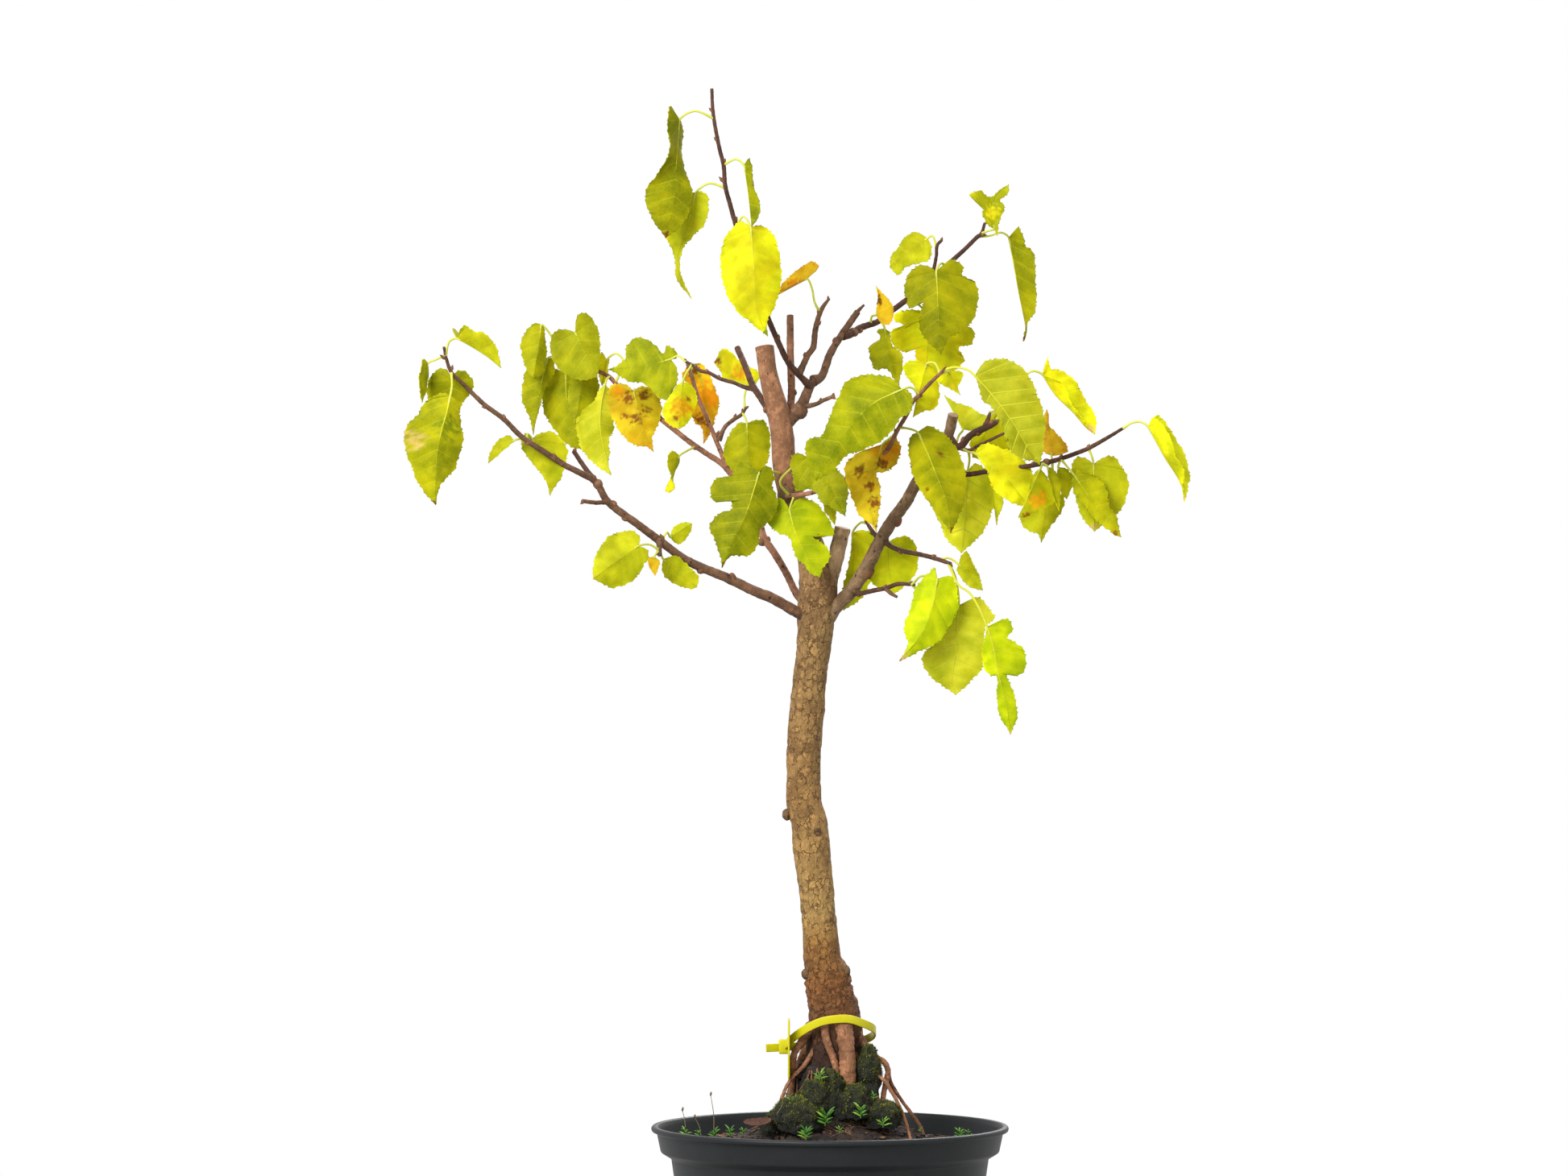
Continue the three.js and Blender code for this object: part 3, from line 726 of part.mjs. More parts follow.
// Two copies of a sheet, half the thickness to each side along its own normals, closed round the rim
function slab(vertices, faces, rim) {
  const normals = vertices.map(() => new THREE.Vector3());
  const flat = faces.map(([a, b, c]) => vertices[b].clone().sub(vertices[a]).cross(vertices[c].clone().sub(vertices[a])));
  faces.forEach((corners, i) => corners.forEach((corner) => normals[corner].add(flat[i])));
  normals.forEach((normal) => normal.normalize());
  const leanest = vertices.map(() => 1);
  faces.forEach((corners, i) => {
    const direction = flat[i].clone().normalize();
    corners.forEach((corner) => {
      leanest[corner] = Math.min(leanest[corner], Math.max(0.6, normals[corner].dot(direction)));
    });
  });
  const count = vertices.length;
  const positions = [];
  for (const half of [BLADE_THICKNESS / 2, -BLADE_THICKNESS / 2]) {
    vertices.forEach((point, i) => {
      positions.push(...point.clone().addScaledVector(normals[i], half / leanest[i]).toArray());
    });
  }
  const index = [];
  for (const [a, b, c] of faces) {
    index.push(a, b, c, a + count, c + count, b + count);
  }
  rim.forEach((from, i) => {
    const to = rim[(i + 1) % rim.length];
    index.push(from, from + count, to + count, from, to + count, to);
  });
  const geometry = new THREE.BufferGeometry();
  geometry.setAttribute('position', new THREE.Float32BufferAttribute(positions, 3));
  geometry.setIndex(index);
  return closed(geometry);
}

function leafSolid(leaf) {
  const start = onLimb(...leaf.from);
  const base = place(leaf.base[0], leaf.base[1], start.point.y + leaf.base[2]);
  const arch = leaf.arch.map(([x, z, deeper], i) => {
    const share = (i + 1) / (leaf.arch.length + 1);
    return place(x, z, start.point.y + (deeper ?? leaf.base[2] * share));
  });
  const towards = place(leaf.base[0] + leaf.tip[0], leaf.base[1] + leaf.tip[1], base.y + (leaf.tip[2] ?? 0)).sub(base);
  const sunk = base.clone().addScaledVector(towards, 0.08);
  const path = new THREE.CatmullRomCurve3([start.point, ...arch, base, sunk], false, 'centripetal');
  const stalk = sweptCord(path, PETIOLE_RADIUS, 3, 3 + leaf.arch.length);
  const body = stalk.add(bladeSolid(leaf, base));
  const swelling = knot(start.point, start.radius + 1.6, 1);
  return { body, swelling };
}

// Pot: an open shell turned on its axis, with a rolled lip, a stepped collar, a channelled base and drain holes
function lathed(profile) {
  const geometry = new THREE.LatheGeometry(profile.map(([radius, z]) => new THREE.Vector2(radius, z)), POT_SEGMENTS);
  geometry.rotateX(Math.PI / 2);
  return closed(geometry);
}

const wallTop = RIM_RADIUS - 12.5;
const collarFoot = POT_HEIGHT - COLLAR_HEIGHT;
const floorTop = FOOT_HEIGHT + WALL;

const potProfile = [
  [0, 0], [26, 0], [29, FOOT_HEIGHT], [BASE_RADIUS - 13, FOOT_HEIGHT], [BASE_RADIUS - 10, 0], [BASE_RADIUS, 0],
  [wallTop, collarFoot - 4], [RIM_RADIUS - 6, collarFoot], [RIM_RADIUS - 3.5, POT_HEIGHT - 4],
  [RIM_RADIUS - 0.5, POT_HEIGHT - 3.2], [RIM_RADIUS, POT_HEIGHT - 1.4], [RIM_RADIUS - 1, POT_HEIGHT],
  [RIM_RADIUS - 4, POT_HEIGHT], [RIM_RADIUS - 5.2, POT_HEIGHT - 2.5], [RIM_RADIUS - 8, collarFoot + 1.5],
  [wallTop - WALL, collarFoot - 2.5], [BASE_RADIUS - WALL, floorTop], [0, floorTop],
];

function drainCutter(i) {
  const angle = (i / DRAIN_COUNT) * 2 * Math.PI;
  const geometry = new THREE.CylinderGeometry(DRAIN_RADIUS, DRAIN_RADIUS, 20, 8);
  geometry.rotateX(Math.PI / 2);
  geometry.translate(Math.cos(angle) * DRAIN_CIRCLE, Math.sin(angle) * DRAIN_CIRCLE, 0);
  return solid(geometry);
}

function potSolid() {
  const cutters = Array.from({ length: DRAIN_COUNT }, (_, i) => drainCutter(i));
  return cutters.reduce((body, cutter) => body.subtract(cutter), lathed(potProfile));
}

// Soil: fills the pot to below its lip and rises to a mound round the roots
function soilShape(raised) {
  const heightAt = (radius) => POT_HEIGHT - SOIL_BELOW_RIM - 2 + MOUND_HEIGHT * Math.exp(-((radius / 46) ** 2))
    - 2 * (radius / RIM_RADIUS) ** 2 + ROOT_BALL_HEIGHT * Math.exp(-((radius / ROOT_BALL_RADIUS) ** 6)) + raised;
  const gap = CLEARANCE + 0.5;
  const top = [92, 66, 46, 36, 31, 27, 23, 19, 0].map((radius) => [radius, heightAt(radius)]);
  return lathed([
    [0, floorTop + CLEARANCE], [BASE_RADIUS - WALL - gap, floorTop + CLEARANCE],
    [wallTop - WALL - gap, collarFoot - 2.5], [RIM_RADIUS - 8 - gap, collarFoot + 1.5],
    [RIM_RADIUS - 8 - gap, heightAt(RIM_RADIUS - 8)], ...top,
  ]);
}

// Plain holes for the foot of the trunk and for the roots
const rootHoles = joined([limbs.trunk, ...Object.values(roots)].map((limb) => limbSolid(limb, CLEARANCE)));

// Moss: low cushions on the soil between the roots, as domes [x, z, depth, radius, height]
const mossDomes = [
  [-20, 182, -34, 17, 14], [-32, 177, -26, 11, 11], [-9, 191, -29, 11, 16], [2, 198, -27, 8, 15],
  [15, 190, -29, 12, 14], [24, 208, -17, 8, 20], [33, 183, -29, 12, 11],
];

function mossSolid() {
  const bodies = mossDomes.map(([x, z, depth, radius, height]) => {
    const geometry = new THREE.IcosahedronGeometry(1, 1);
    geometry.scale(radius, radius, height);
    const centre = place(x, z, depth);
    geometry.translate(centre.x, centre.y, centre.z);
    return solid(geometry);
  });
  return joined(bodies);
}

// Marker tie: a strap round the foot of the trunk that passes through its head and ends in a cut tail,
// with a blank flag beside the head
const strapRoute = [
  [-28, 227, -3], [-26.5, 229, -8], [-22, 233, -13], [-14, 238.5, -18], [-5, 242.5, -21], [4, 244, -22.5],
  [12, 244, -21.5], [20, 241.5, -17], [26.5, 238.5, -9], [28, 236, 0], [25.5, 233, 10], [18, 230, 18],
  [6, 228.5, 22.5], [-6, 228, 21], [-17, 227.5, 14], [-24, 227, 6], [-30, 226.5, -1], [-39.5, 226, -5],
];
const headPlace = [-28.5, 227, -3];
const headSize = [6.5, 5.5, 9];
const flagPlace = [-25.5, 226, -14];
const flagSize = [1.3, 20, 36];

function strapSolid() {
  const curve = new THREE.CatmullRomCurve3(strapRoute.map((point) => place(...point)), false, 'centripetal');
  const steps = 28;
  const corners = [[-1, -1], [1, -1], [1, 1], [-1, 1]];
  const positions = [];
  for (let i = 0; i <= steps; i += 1) {
    const point = curve.getPointAt(i / steps);
    const along = curve.getTangentAt(i / steps);
    const outward = new THREE.Vector3(along.y, -along.x, 0).normalize();
    const upward = along.clone().cross(outward).normalize();
    for (const [out, up] of corners) {
      positions.push(...point.clone().addScaledVector(outward, (out * TIE_THICKNESS) / 2)
        .addScaledVector(upward, (up * TIE_WIDTH) / 2).toArray());
    }
  }
  const index = [];
  for (let i = 0; i < steps; i += 1) {
    for (let j = 0; j < 4; j += 1) {
      const a = i * 4 + j;
      const b = i * 4 + ((j + 1) % 4);
      index.push(a, b, b + 4, a, b + 4, a + 4);
    }
  }
  const end = steps * 4;
  index.push(0, 2, 1, 0, 3, 2, end, end + 1, end + 2, end, end + 2, end + 3);
  const geometry = new THREE.BufferGeometry();
  geometry.setAttribute('position', new THREE.Float32BufferAttribute(positions, 3));
  geometry.setIndex(index);
  return closed(geometry);
}

function boxAt(size, centre) {
  const geometry = new THREE.BoxGeometry(...size);
  const middle = place(...centre);
  geometry.translate(middle.x, middle.y, middle.z);
  return solid(geometry);
}

function tieSolid() {
  return joined([strapSolid(), boxAt(headSize, headPlace), boxAt(flagSize, flagPlace)]);
}

// Assembly
const material = (color, roughness) => new THREE.MeshStandardMaterial({ color, roughness, metalness: 0 });
const bonsai = new THREE.Group();
const wood = woodSolid(0);
const woodClearance = woodSolid(CLEARANCE);
bonsai.add(meshOf('wood', wood, material(0x7c5f44, 0.8)));
bonsai.add(meshOf('pot', potSolid(), material(0x3c4143, 0.45)));
bonsai.add(meshOf('soil', soilShape(0).subtract(rootHoles), material(0x2e2018, 0.95)));
bonsai.add(meshOf('marker_tie', largest(tieSolid().subtract(woodClearance)), material(0xf4ee1e, 0.4)));
const moss = largest(mossSolid().subtract(rootHoles).subtract(soilShape(CLEARANCE)));
bonsai.add(meshOf('moss', moss.simplify(SMALLEST_STEP), material(0x46520f, 0.95)));

const byNode = new Map();
for (const leaf of leaves) {
  if (!byNode.has(leaf.node)) byNode.set(leaf.node, { tone: leaf.tone, parts: [] });
  byNode.get(leaf.node).parts.push(leafSolid(leaf));
}
for (const [node, { tone, parts }] of byNode) {
  const bodies = parts.map((part) => part.body);
  if (parts.length > 1) bodies.push(parts[0].swelling);
  bonsai.add(meshOf(node, largest(joined(bodies).subtract(woodClearance)).simplify(SMALLEST_STEP), material(TONES[tone], 0.5)));
}

export default bonsai;
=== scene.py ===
# White mulberry bonsai in its nursery pot. Fine wood, leaves, soil, moss, tie and pot stand in for the
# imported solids.

import math

import bpy
import numpy as np
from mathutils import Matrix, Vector, noise


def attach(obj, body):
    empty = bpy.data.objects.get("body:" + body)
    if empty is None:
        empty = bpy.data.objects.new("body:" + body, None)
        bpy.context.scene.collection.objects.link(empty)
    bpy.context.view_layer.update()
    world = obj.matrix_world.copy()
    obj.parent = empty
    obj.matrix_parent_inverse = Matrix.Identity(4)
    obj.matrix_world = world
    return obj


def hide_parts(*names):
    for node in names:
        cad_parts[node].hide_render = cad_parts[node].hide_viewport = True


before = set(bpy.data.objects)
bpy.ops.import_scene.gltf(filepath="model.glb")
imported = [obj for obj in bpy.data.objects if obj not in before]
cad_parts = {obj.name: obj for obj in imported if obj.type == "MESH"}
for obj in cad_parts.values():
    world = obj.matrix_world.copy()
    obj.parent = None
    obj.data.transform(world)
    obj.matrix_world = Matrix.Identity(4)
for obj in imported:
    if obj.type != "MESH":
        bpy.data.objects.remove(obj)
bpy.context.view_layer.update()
print("frame loaded:", len(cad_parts), "nodes")

# The tree is laid out in its front view, in mm: x to the right, z up, and a depth behind the trunk.
# What lies deeper is set out wider, because the view is taken from this point.
view = dict(x=-28.5, z=511.5, distance=3880.0, lens=143.6, sensor=36.0, lit=2.4)
mm = 0.001


def place(x, z, depth):
    spread = (view["distance"] + depth) / view["distance"]
    return np.array([view["x"] + (x - view["x"]) * spread, depth, view["z"] + (z - view["z"]) * spread])


def paint(red, green, blue):
    # a colour as it looks in the key light, from 0 to 255, as the linear colour of the surface itself
    return np.array([(c / 255.0 / 12.92) if c < 10.3 else ((c / 255.0 + 0.055) / 1.055) ** 2.4
                     for c in (red, green, blue)]) / view["lit"]


# Lines and meshes

lineSteps = 16    # how many steps a smooth line has from point to point


def smoothLine(points, steps=lineSteps):
    # a line through the points that keeps their spacing in mind, so that close points don't loop
    p = np.asarray(points, float)
    ends = np.vstack([2 * p[0] - p[1], p, 2 * p[-1] - p[-2]])
    line = []
    for i in range(len(p) - 1):
        p0, p1, p2, p3 = ends[i:i + 4]
        d0, d1, d2 = (max(np.linalg.norm(b - a) ** 0.5, 1e-3) for a, b in ((p0, p1), (p1, p2), (p2, p3)))
        m1 = ((p1 - p0) / d0 - (p2 - p0) / (d0 + d1) + (p2 - p1) / d1) * d1
        m2 = ((p2 - p1) / d1 - (p3 - p1) / (d1 + d2) + (p3 - p2) / d2) * d1
        for t in np.arange(steps) / steps:
            line.append((2 * t ** 3 - 3 * t ** 2 + 1) * p1 + (t ** 3 - 2 * t ** 2 + t) * m1
                        + (3 * t ** 2 - 2 * t ** 3) * p2 + (t ** 3 - t ** 2) * m2)
    line.append(p[-1])
    return np.array(line)


def lengthsAlong(line):
    return np.concatenate([[0.0], np.cumsum(np.linalg.norm(np.diff(line, axis=0), axis=1))])


def resample(line, count, *others):
    along = lengthsAlong(line)
    at = np.linspace(0, along[-1], count)
    evened = np.column_stack([np.interp(at, along, line[:, k]) for k in range(line.shape[1])])
    return (evened, *[np.interp(at, along, other) for other in others]) if others else evened


def valueAlong(line, values, share):
    along = lengthsAlong(line) / lengthsAlong(line)[-1]
    return np.column_stack([np.interp(share, along, values[:, k]) for k in range(values.shape[1])])


def unit(vectors):
    return vectors / np.maximum(np.linalg.norm(vectors, axis=-1, keepdims=True), 1e-9)


class Build:
    # gathers vertices, faces, a tint for each vertex and a flat map for each corner of one piece
    def __init__(self):
        self.points, self.tints, self.faces, self.maps = [], [], [], []
        self.count = 0

    def add(self, points, faces, tint, flatMap=None):
        points = np.asarray(points, float).reshape(-1, 3)
        faces = np.asarray(faces, int)
        self.points.append(points)
        self.tints.append(np.broadcast_to(np.asarray(tint, float), points.shape))
        self.faces.extend((faces + self.count).tolist())
        flat = np.zeros((len(points), 2)) if flatMap is None else np.asarray(flatMap, float).reshape(-1, 2)
        self.maps.append(flat[faces.ravel()])
        self.count += len(points)

    def grid(self, rows, tint, flatMap=None, around=False, turned=False):
        n, m = rows.shape[:2]
        i, j = np.meshgrid(np.arange(n - 1), np.arange(m if around else m - 1), indexing="ij")
        k = (j + 1) % m
        quads = np.stack([i * m + j, (i + 1) * m + j, (i + 1) * m + k, i * m + k], axis=-1).reshape(-1, 4)
        tint = np.asarray(tint, float)
        tint = tint if tint.ndim == 1 else tint.reshape(-1, 3)
        self.add(rows, quads[:, ::-1] if turned else quads, tint, flatMap)

    def finish(self, name, material, replaces, smooth=True):
        mesh = bpy.data.meshes.new(name)
        points = np.vstack(self.points) * mm
        mesh.from_pydata(points.tolist(), [], self.faces)
        flat = mesh.uv_layers.new(name="flatMap")
        flat.data.foreach_set("uv", np.vstack(self.maps).astype(np.float32).ravel())
        tint = mesh.color_attributes.new("tint", "FLOAT_COLOR", "POINT")
        colours = np.column_stack([np.vstack(self.tints), np.ones(len(points))])
        tint.data.foreach_set("color", colours.astype(np.float32).ravel())
        mesh.polygons.foreach_set("use_smooth", [smooth] * len(mesh.polygons))
        mesh.materials.append(material)
        mesh.validate()
        mesh.update()
        piece = bpy.data.objects.new(name, mesh)
        bpy.context.scene.collection.objects.link(piece)
        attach(piece, "root")
        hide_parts(*replaces)
        return piece


def sideways(line):
    # two directions square to the line at each point, carried along without twist
    along = unit(np.gradient(line, axis=0))
    first = np.cross(along[0], [0.0, 1.0, 0.0])
    if np.linalg.norm(first) < 0.2:
        first = np.cross(along[0], [1.0, 0.0, 0.0])
    one = [unit(first)]
    for a in along[1:]:
        one.append(unit(one[-1] - a * np.dot(one[-1], a)))
    one = np.array(one)
    return one, np.cross(along, one)


def tube(build, line, radii, sides, tint, rough=None, capped=True):
    # a round limb along the line. rough gives the radius all over it, and each capped end is a flat cut
    one, two = sideways(line)
    turn = np.linspace(0, 2 * math.pi, sides + 1)
    ring = np.cos(turn)[None, :, None] * one[:, None] + np.sin(turn)[None, :, None] * two[:, None]
    size = np.asarray(radii, float)[:, None] * np.ones(sides + 1)
    length = lengthsAlong(line)
    if rough is not None:
        size = rough(size, line, ring, length)
    rows = line[:, None] + ring * size[..., None]
    flatMap = np.stack(np.broadcast_arrays(turn[None] * size.mean(), length[:, None]), -1)
    tint = np.asarray(tint, float)
    if tint.ndim == 2:
        tint = np.repeat(tint[:, None], sides + 1, axis=1)
    build.grid(rows, tint, flatMap)
    if capped:
        for end, flip in ((0, False), (-1, True)):
            middle = line[end]
            rim = rows[end][:-1]
            inner = middle + (rim - middle) * 0.55
            points = np.vstack([rim, inner, middle[None]])
            i = np.arange(sides)
            k = (i + 1) % sides
            outerQuads = np.stack([i, k, k + sides, i + sides], -1)
            fan = np.stack([i + sides, k + sides, np.full(sides, 2 * sides)], -1)
            colour = tint if tint.ndim == 1 else tint[end, 0]
            for part in (outerQuads, fan):
                build.add(points, part[:, ::-1] if flip else part, colour)


def grain(points, scale, seed=0.0):
    # soft noise from -1 to 1 at each point, which is in mm
    flat = np.asarray(points, float).reshape(-1, 3) / scale
    values = [noise.noise(Vector((p[0] + seed, p[1] - seed, p[2] + 2 * seed))) for p in flat]
    return np.array(values).reshape(np.asarray(points).shape[:-1])


# Materials

def newMaterial(name):
    material = bpy.data.materials.new(name)
    material.use_nodes = True
    tree = material.node_tree
    tree.nodes.clear()
    output = tree.nodes.new("ShaderNodeOutputMaterial")
    surface = tree.nodes.new("ShaderNodeBsdfPrincipled")
    tree.links.new(surface.outputs["BSDF"], output.inputs["Surface"])
    return material, tree, surface


def addNode(tree, kind, settings=(), **inputs):
    # an input is given by its name, or by its number as i0, i1 and so on where the name repeats or has spaces
    node = tree.nodes.new(kind)
    for key, value in dict(settings).items():
        setattr(node, key, value)
    for key, value in inputs.items():
        socket = node.inputs[int(key[1:])] if key[0] == "i" and key[1:].isdigit() else node.inputs[key]
        if isinstance(value, bpy.types.NodeSocket):
            tree.links.new(value, socket)
        else:
            socket.default_value = value
    return node


def blendColours(tree, amount, first, second, how="MIX"):
    node = tree.nodes.new("ShaderNodeMix")
    node.data_type = "RGBA"
    node.blend_type = how
    for socket, value in ((node.inputs[0], amount), (node.inputs[6], first), (node.inputs[7], second)):
        if isinstance(value, bpy.types.NodeSocket):
            tree.links.new(value, socket)
        else:
            socket.default_value = value if isinstance(value, (int, float)) else (*value, 1.0)
    return node.outputs[2]


def sums(tree, how, a, b=0.0):
    return addNode(tree, "ShaderNodeMath", dict(operation=how), i0=a, i1=b).outputs[0]


def times(tree, a, b):
    return sums(tree, "MULTIPLY", a, b)


def ramp(tree, value, *stops):
    node = tree.nodes.new("ShaderNodeValToRGB")
    tree.links.new(value, node.inputs[0])
    while len(node.color_ramp.elements) < len(stops):
        node.color_ramp.elements.new(0.5)
    for element, (position, colour) in zip(node.color_ramp.elements, stops):
        element.position = position
        element.color = (colour, colour, colour, 1.0)
    return node.outputs[0]


def placeOnPiece(tree, stretch=(1.0, 1.0, 1.0)):
    coordinates = addNode(tree, "ShaderNodeTexCoord").outputs["Object"]
    return addNode(tree, "ShaderNodeMapping", i0=coordinates, Scale=stretch).outputs[0]


def noiseValue(tree, where, scale, detail, roughness):
    node = addNode(tree, "ShaderNodeTexNoise", i0=where, Scale=scale, Detail=detail, Roughness=roughness)
    return node.outputs[0]


def tintOf(tree):
    return addNode(tree, "ShaderNodeVertexColor", dict(layer_name="tint")).outputs["Color"]


def bump(tree, surface, height, strength, distance):
    node = addNode(tree, "ShaderNodeBump", Strength=strength, Distance=distance, Height=height)
    tree.links.new(node.outputs[0], surface.inputs["Normal"])


def patched(tree, colour, other, value, start, end, share):
    # the other colour, up to its share, where the value lies between the two stops
    return blendColours(tree, times(tree, ramp(tree, value, start, end), share), colour, other)


def coat(tree, surface, colour, roughness, shine=0.5):
    tree.links.new(colour, surface.inputs["Base Color"])
    surface.inputs["Roughness"].default_value = roughness
    surface.inputs["Specular IOR Level"].default_value = shine


# Bark: the tint of each limb with fibres and fine grain. Below roughBelow it breaks into flaky plates with
# dark cracks between them, above that it is smooth and dotted with lenticels
def barkMaterial(name, plateSize, cracks, dots, roughBelow):
    material, tree, surface = newMaterial(name)
    tint = tintOf(tree)
    flat = addNode(tree, "ShaderNodeUVMap", dict(uv_map="flatMap")).outputs[0]
    lengthwise = addNode(tree, "ShaderNodeMapping", i0=flat, Scale=(1.0, 0.16, 1.0)).outputs[0]
    fibres = noiseValue(tree, lengthwise, 1.3, 6.0, 0.65)
    where = placeOnPiece(tree)
    height = addNode(tree, "ShaderNodeSeparateXYZ", i0=where).outputs["Z"]
    rough = addNode(tree, "ShaderNodeMapRange", Value=height, i1=roughBelow + 0.03,
                    i2=roughBelow - 0.03).outputs[0]
    warp = addNode(tree, "ShaderNodeTexNoise", i0=where, Scale=420.0, Detail=4.0)
    pushed = addNode(tree, "ShaderNodeVectorMath", dict(operation="MULTIPLY_ADD"), i0=warp.outputs["Color"],
                     i1=(0.005, 0.005, 0.005), i2=placeOnPiece(tree, (1.0, 1.0, 0.6))).outputs[0]
    plates = addNode(tree, "ShaderNodeTexVoronoi", dict(feature="DISTANCE_TO_EDGE"), i0=pushed,
                     Scale=1000.0 / plateSize, Randomness=1.0).outputs["Distance"]
    patches = noiseValue(tree, where, 60.0, 5.0, 0.62)
    breaks = noiseValue(tree, where, 210.0, 4.0, 0.6)
    flecks = noiseValue(tree, where, 1100.0, 3.0, 0.7)
    dark = blendColours(tree, 1.0, tint, (0.26, 0.19, 0.13), "MULTIPLY")
    pale = blendColours(tree, 1.0, tint, (1.55, 1.5, 1.5), "MULTIPLY")
    colour = blendColours(tree, ramp(tree, fibres, (0.3, 0.55), (0.55, 1.0)), dark, tint)
    colour = patched(tree, colour, dark, patches, (0.42, 1.0), (0.56, 0.0), 0.5)
    colour = patched(tree, colour, pale, breaks, (0.5, 0.0), (0.66, 1.0), 0.6)
    colour = patched(tree, colour, pale, flecks, (0.6, 0.0), (0.7, 1.0), 0.5)
    crack = times(tree, ramp(tree, plates, (0.0, 1.0), (0.1, 0.0)),
                 ramp(tree, breaks, (0.42, 0.0), (0.56, 1.0)))
    crack = times(tree, times(tree, crack, rough), cracks)
    colour = blendColours(tree, crack, colour, dark)
    cells = addNode(tree, "ShaderNodeTexVoronoi", i0=addNode(tree, "ShaderNodeMapping", i0=flat,
                    Scale=(0.21, 0.17, 1.0)).outputs[0], Scale=1.0, Randomness=0.9).outputs["Distance"]
    spots = times(tree, ramp(tree, cells, (0.14, 1.0), (0.21, 0.0)), dots)
    spots = times(tree, spots, sums(tree, "SUBTRACT", 1.0, rough))
    colour = blendColours(tree, spots, colour, (0.022, 0.009, 0.005))
    coat(tree, surface, colour, 0.72, 0.25)
    relief = sums(tree, "ADD", times(tree, fibres, 0.7), times(tree, flecks, 0.35))
    relief = sums(tree, "ADD", relief, times(tree, breaks, times(tree, rough, 1.6)))
    relief = sums(tree, "SUBTRACT", relief, crack)
    bump(tree, surface, relief, 0.8, 0.0014)
    return material


# Leaf: the tint painted on the blade, paler side veins from the flat map, a fine net, and light from behind
def leafMaterial(name, veinColour, raised, glow):
    material, tree, surface = newMaterial(name)
    tint = tintOf(tree)
    flat = addNode(tree, "ShaderNodeUVMap", dict(uv_map="flatMap")).outputs[0]
    parts = addNode(tree, "ShaderNodeSeparateXYZ", i0=flat)
    across = parts.outputs["Y"]
    offVein = sums(tree, "ABSOLUTE", sums(tree, "SUBTRACT", sums(tree, "FRACT", parts.outputs["X"]), 0.5))
    width = times(tree, sums(tree, "SUBTRACT", 1.15, across), 0.045)
    sideVein = ramp(tree, sums(tree, "DIVIDE", offVein, width), (0.3, 1.0), (1.0, 0.0))
    net = addNode(tree, "ShaderNodeTexVoronoi", dict(feature="DISTANCE_TO_EDGE"), i0=placeOnPiece(tree),
                  Scale=330.0, Randomness=1.0).outputs["Distance"]
    netLine = ramp(tree, net, (0.0, 1.0), (0.07, 0.0))
    cloud = noiseValue(tree, placeOnPiece(tree), 70.0, 5.0, 0.65)
    speck = noiseValue(tree, placeOnPiece(tree), 620.0, 2.0, 0.6)
    deeper = blendColours(tree, 1.0, tint, (0.78, 0.84, 0.6), "MULTIPLY")
    brighter = blendColours(tree, 1.0, tint, (1.14, 1.1, 1.2), "MULTIPLY")
    colour = blendColours(tree, ramp(tree, cloud, (0.34, 0.0), (0.64, 1.0)), deeper, brighter)
    colour = patched(tree, colour, deeper, speck, (0.6, 0.0), (0.72, 1.0), 0.25)
    colour = blendColours(tree, times(tree, netLine, 0.14), colour, veinColour)
    colour = blendColours(tree, times(tree, sideVein, raised * 0.8), colour, veinColour)
    coat(tree, surface, colour, 0.6, 0.08)
    height = sums(tree, "ADD", times(tree, sideVein, raised), times(tree, net, 0.6))
    bump(tree, surface, height, 0.35, 0.0005)
    through = addNode(tree, "ShaderNodeBsdfTranslucent", Color=colour)
    mixed = addNode(tree, "ShaderNodeMixShader", Fac=glow)
    tree.links.new(surface.outputs["BSDF"], mixed.inputs[1])
    tree.links.new(through.outputs[0], mixed.inputs[2])
    tree.links.new(mixed.outputs[0], tree.nodes["Material Output"].inputs["Surface"])
    return material


def plasticMaterial(name, colour, worn, roughness, grit):
    material, tree, surface = newMaterial(name)
    broad = noiseValue(tree, placeOnPiece(tree), 18.0, 6.0, 0.65)
    fine = noiseValue(tree, placeOnPiece(tree, (1.0, 1.0, 0.25)), 420.0, 3.0, 0.6)
    shade = blendColours(tree, ramp(tree, broad, (0.35, 0.0), (0.7, 1.0)), colour, worn)
    scuffed = tuple(min(1.0, c * 2.4) for c in worn)
    shade = patched(tree, shade, scuffed, fine, (0.6, 0.0), (0.72, 1.0), grit)
    coat(tree, surface, shade, roughness, 0.2)
    bump(tree, surface, fine, 0.1, 0.0004)
    return material


def earthMaterial(name, roughness, contrast):
    material, tree, surface = newMaterial(name)
    tint = tintOf(tree)
    grains = noiseValue(tree, placeOnPiece(tree), 700.0, 4.0, 0.7)
    dark = blendColours(tree, 1.0, tint, (contrast, contrast, contrast), "MULTIPLY")
    pale = blendColours(tree, 1.0, tint, (1.7, 1.6, 1.5), "MULTIPLY")
    colour = blendColours(tree, ramp(tree, grains, (0.36, 0.0), (0.66, 1.0)), dark, pale)
    coat(tree, surface, colour, roughness)
    bump(tree, surface, grains, 0.6, 0.0012)
    return material


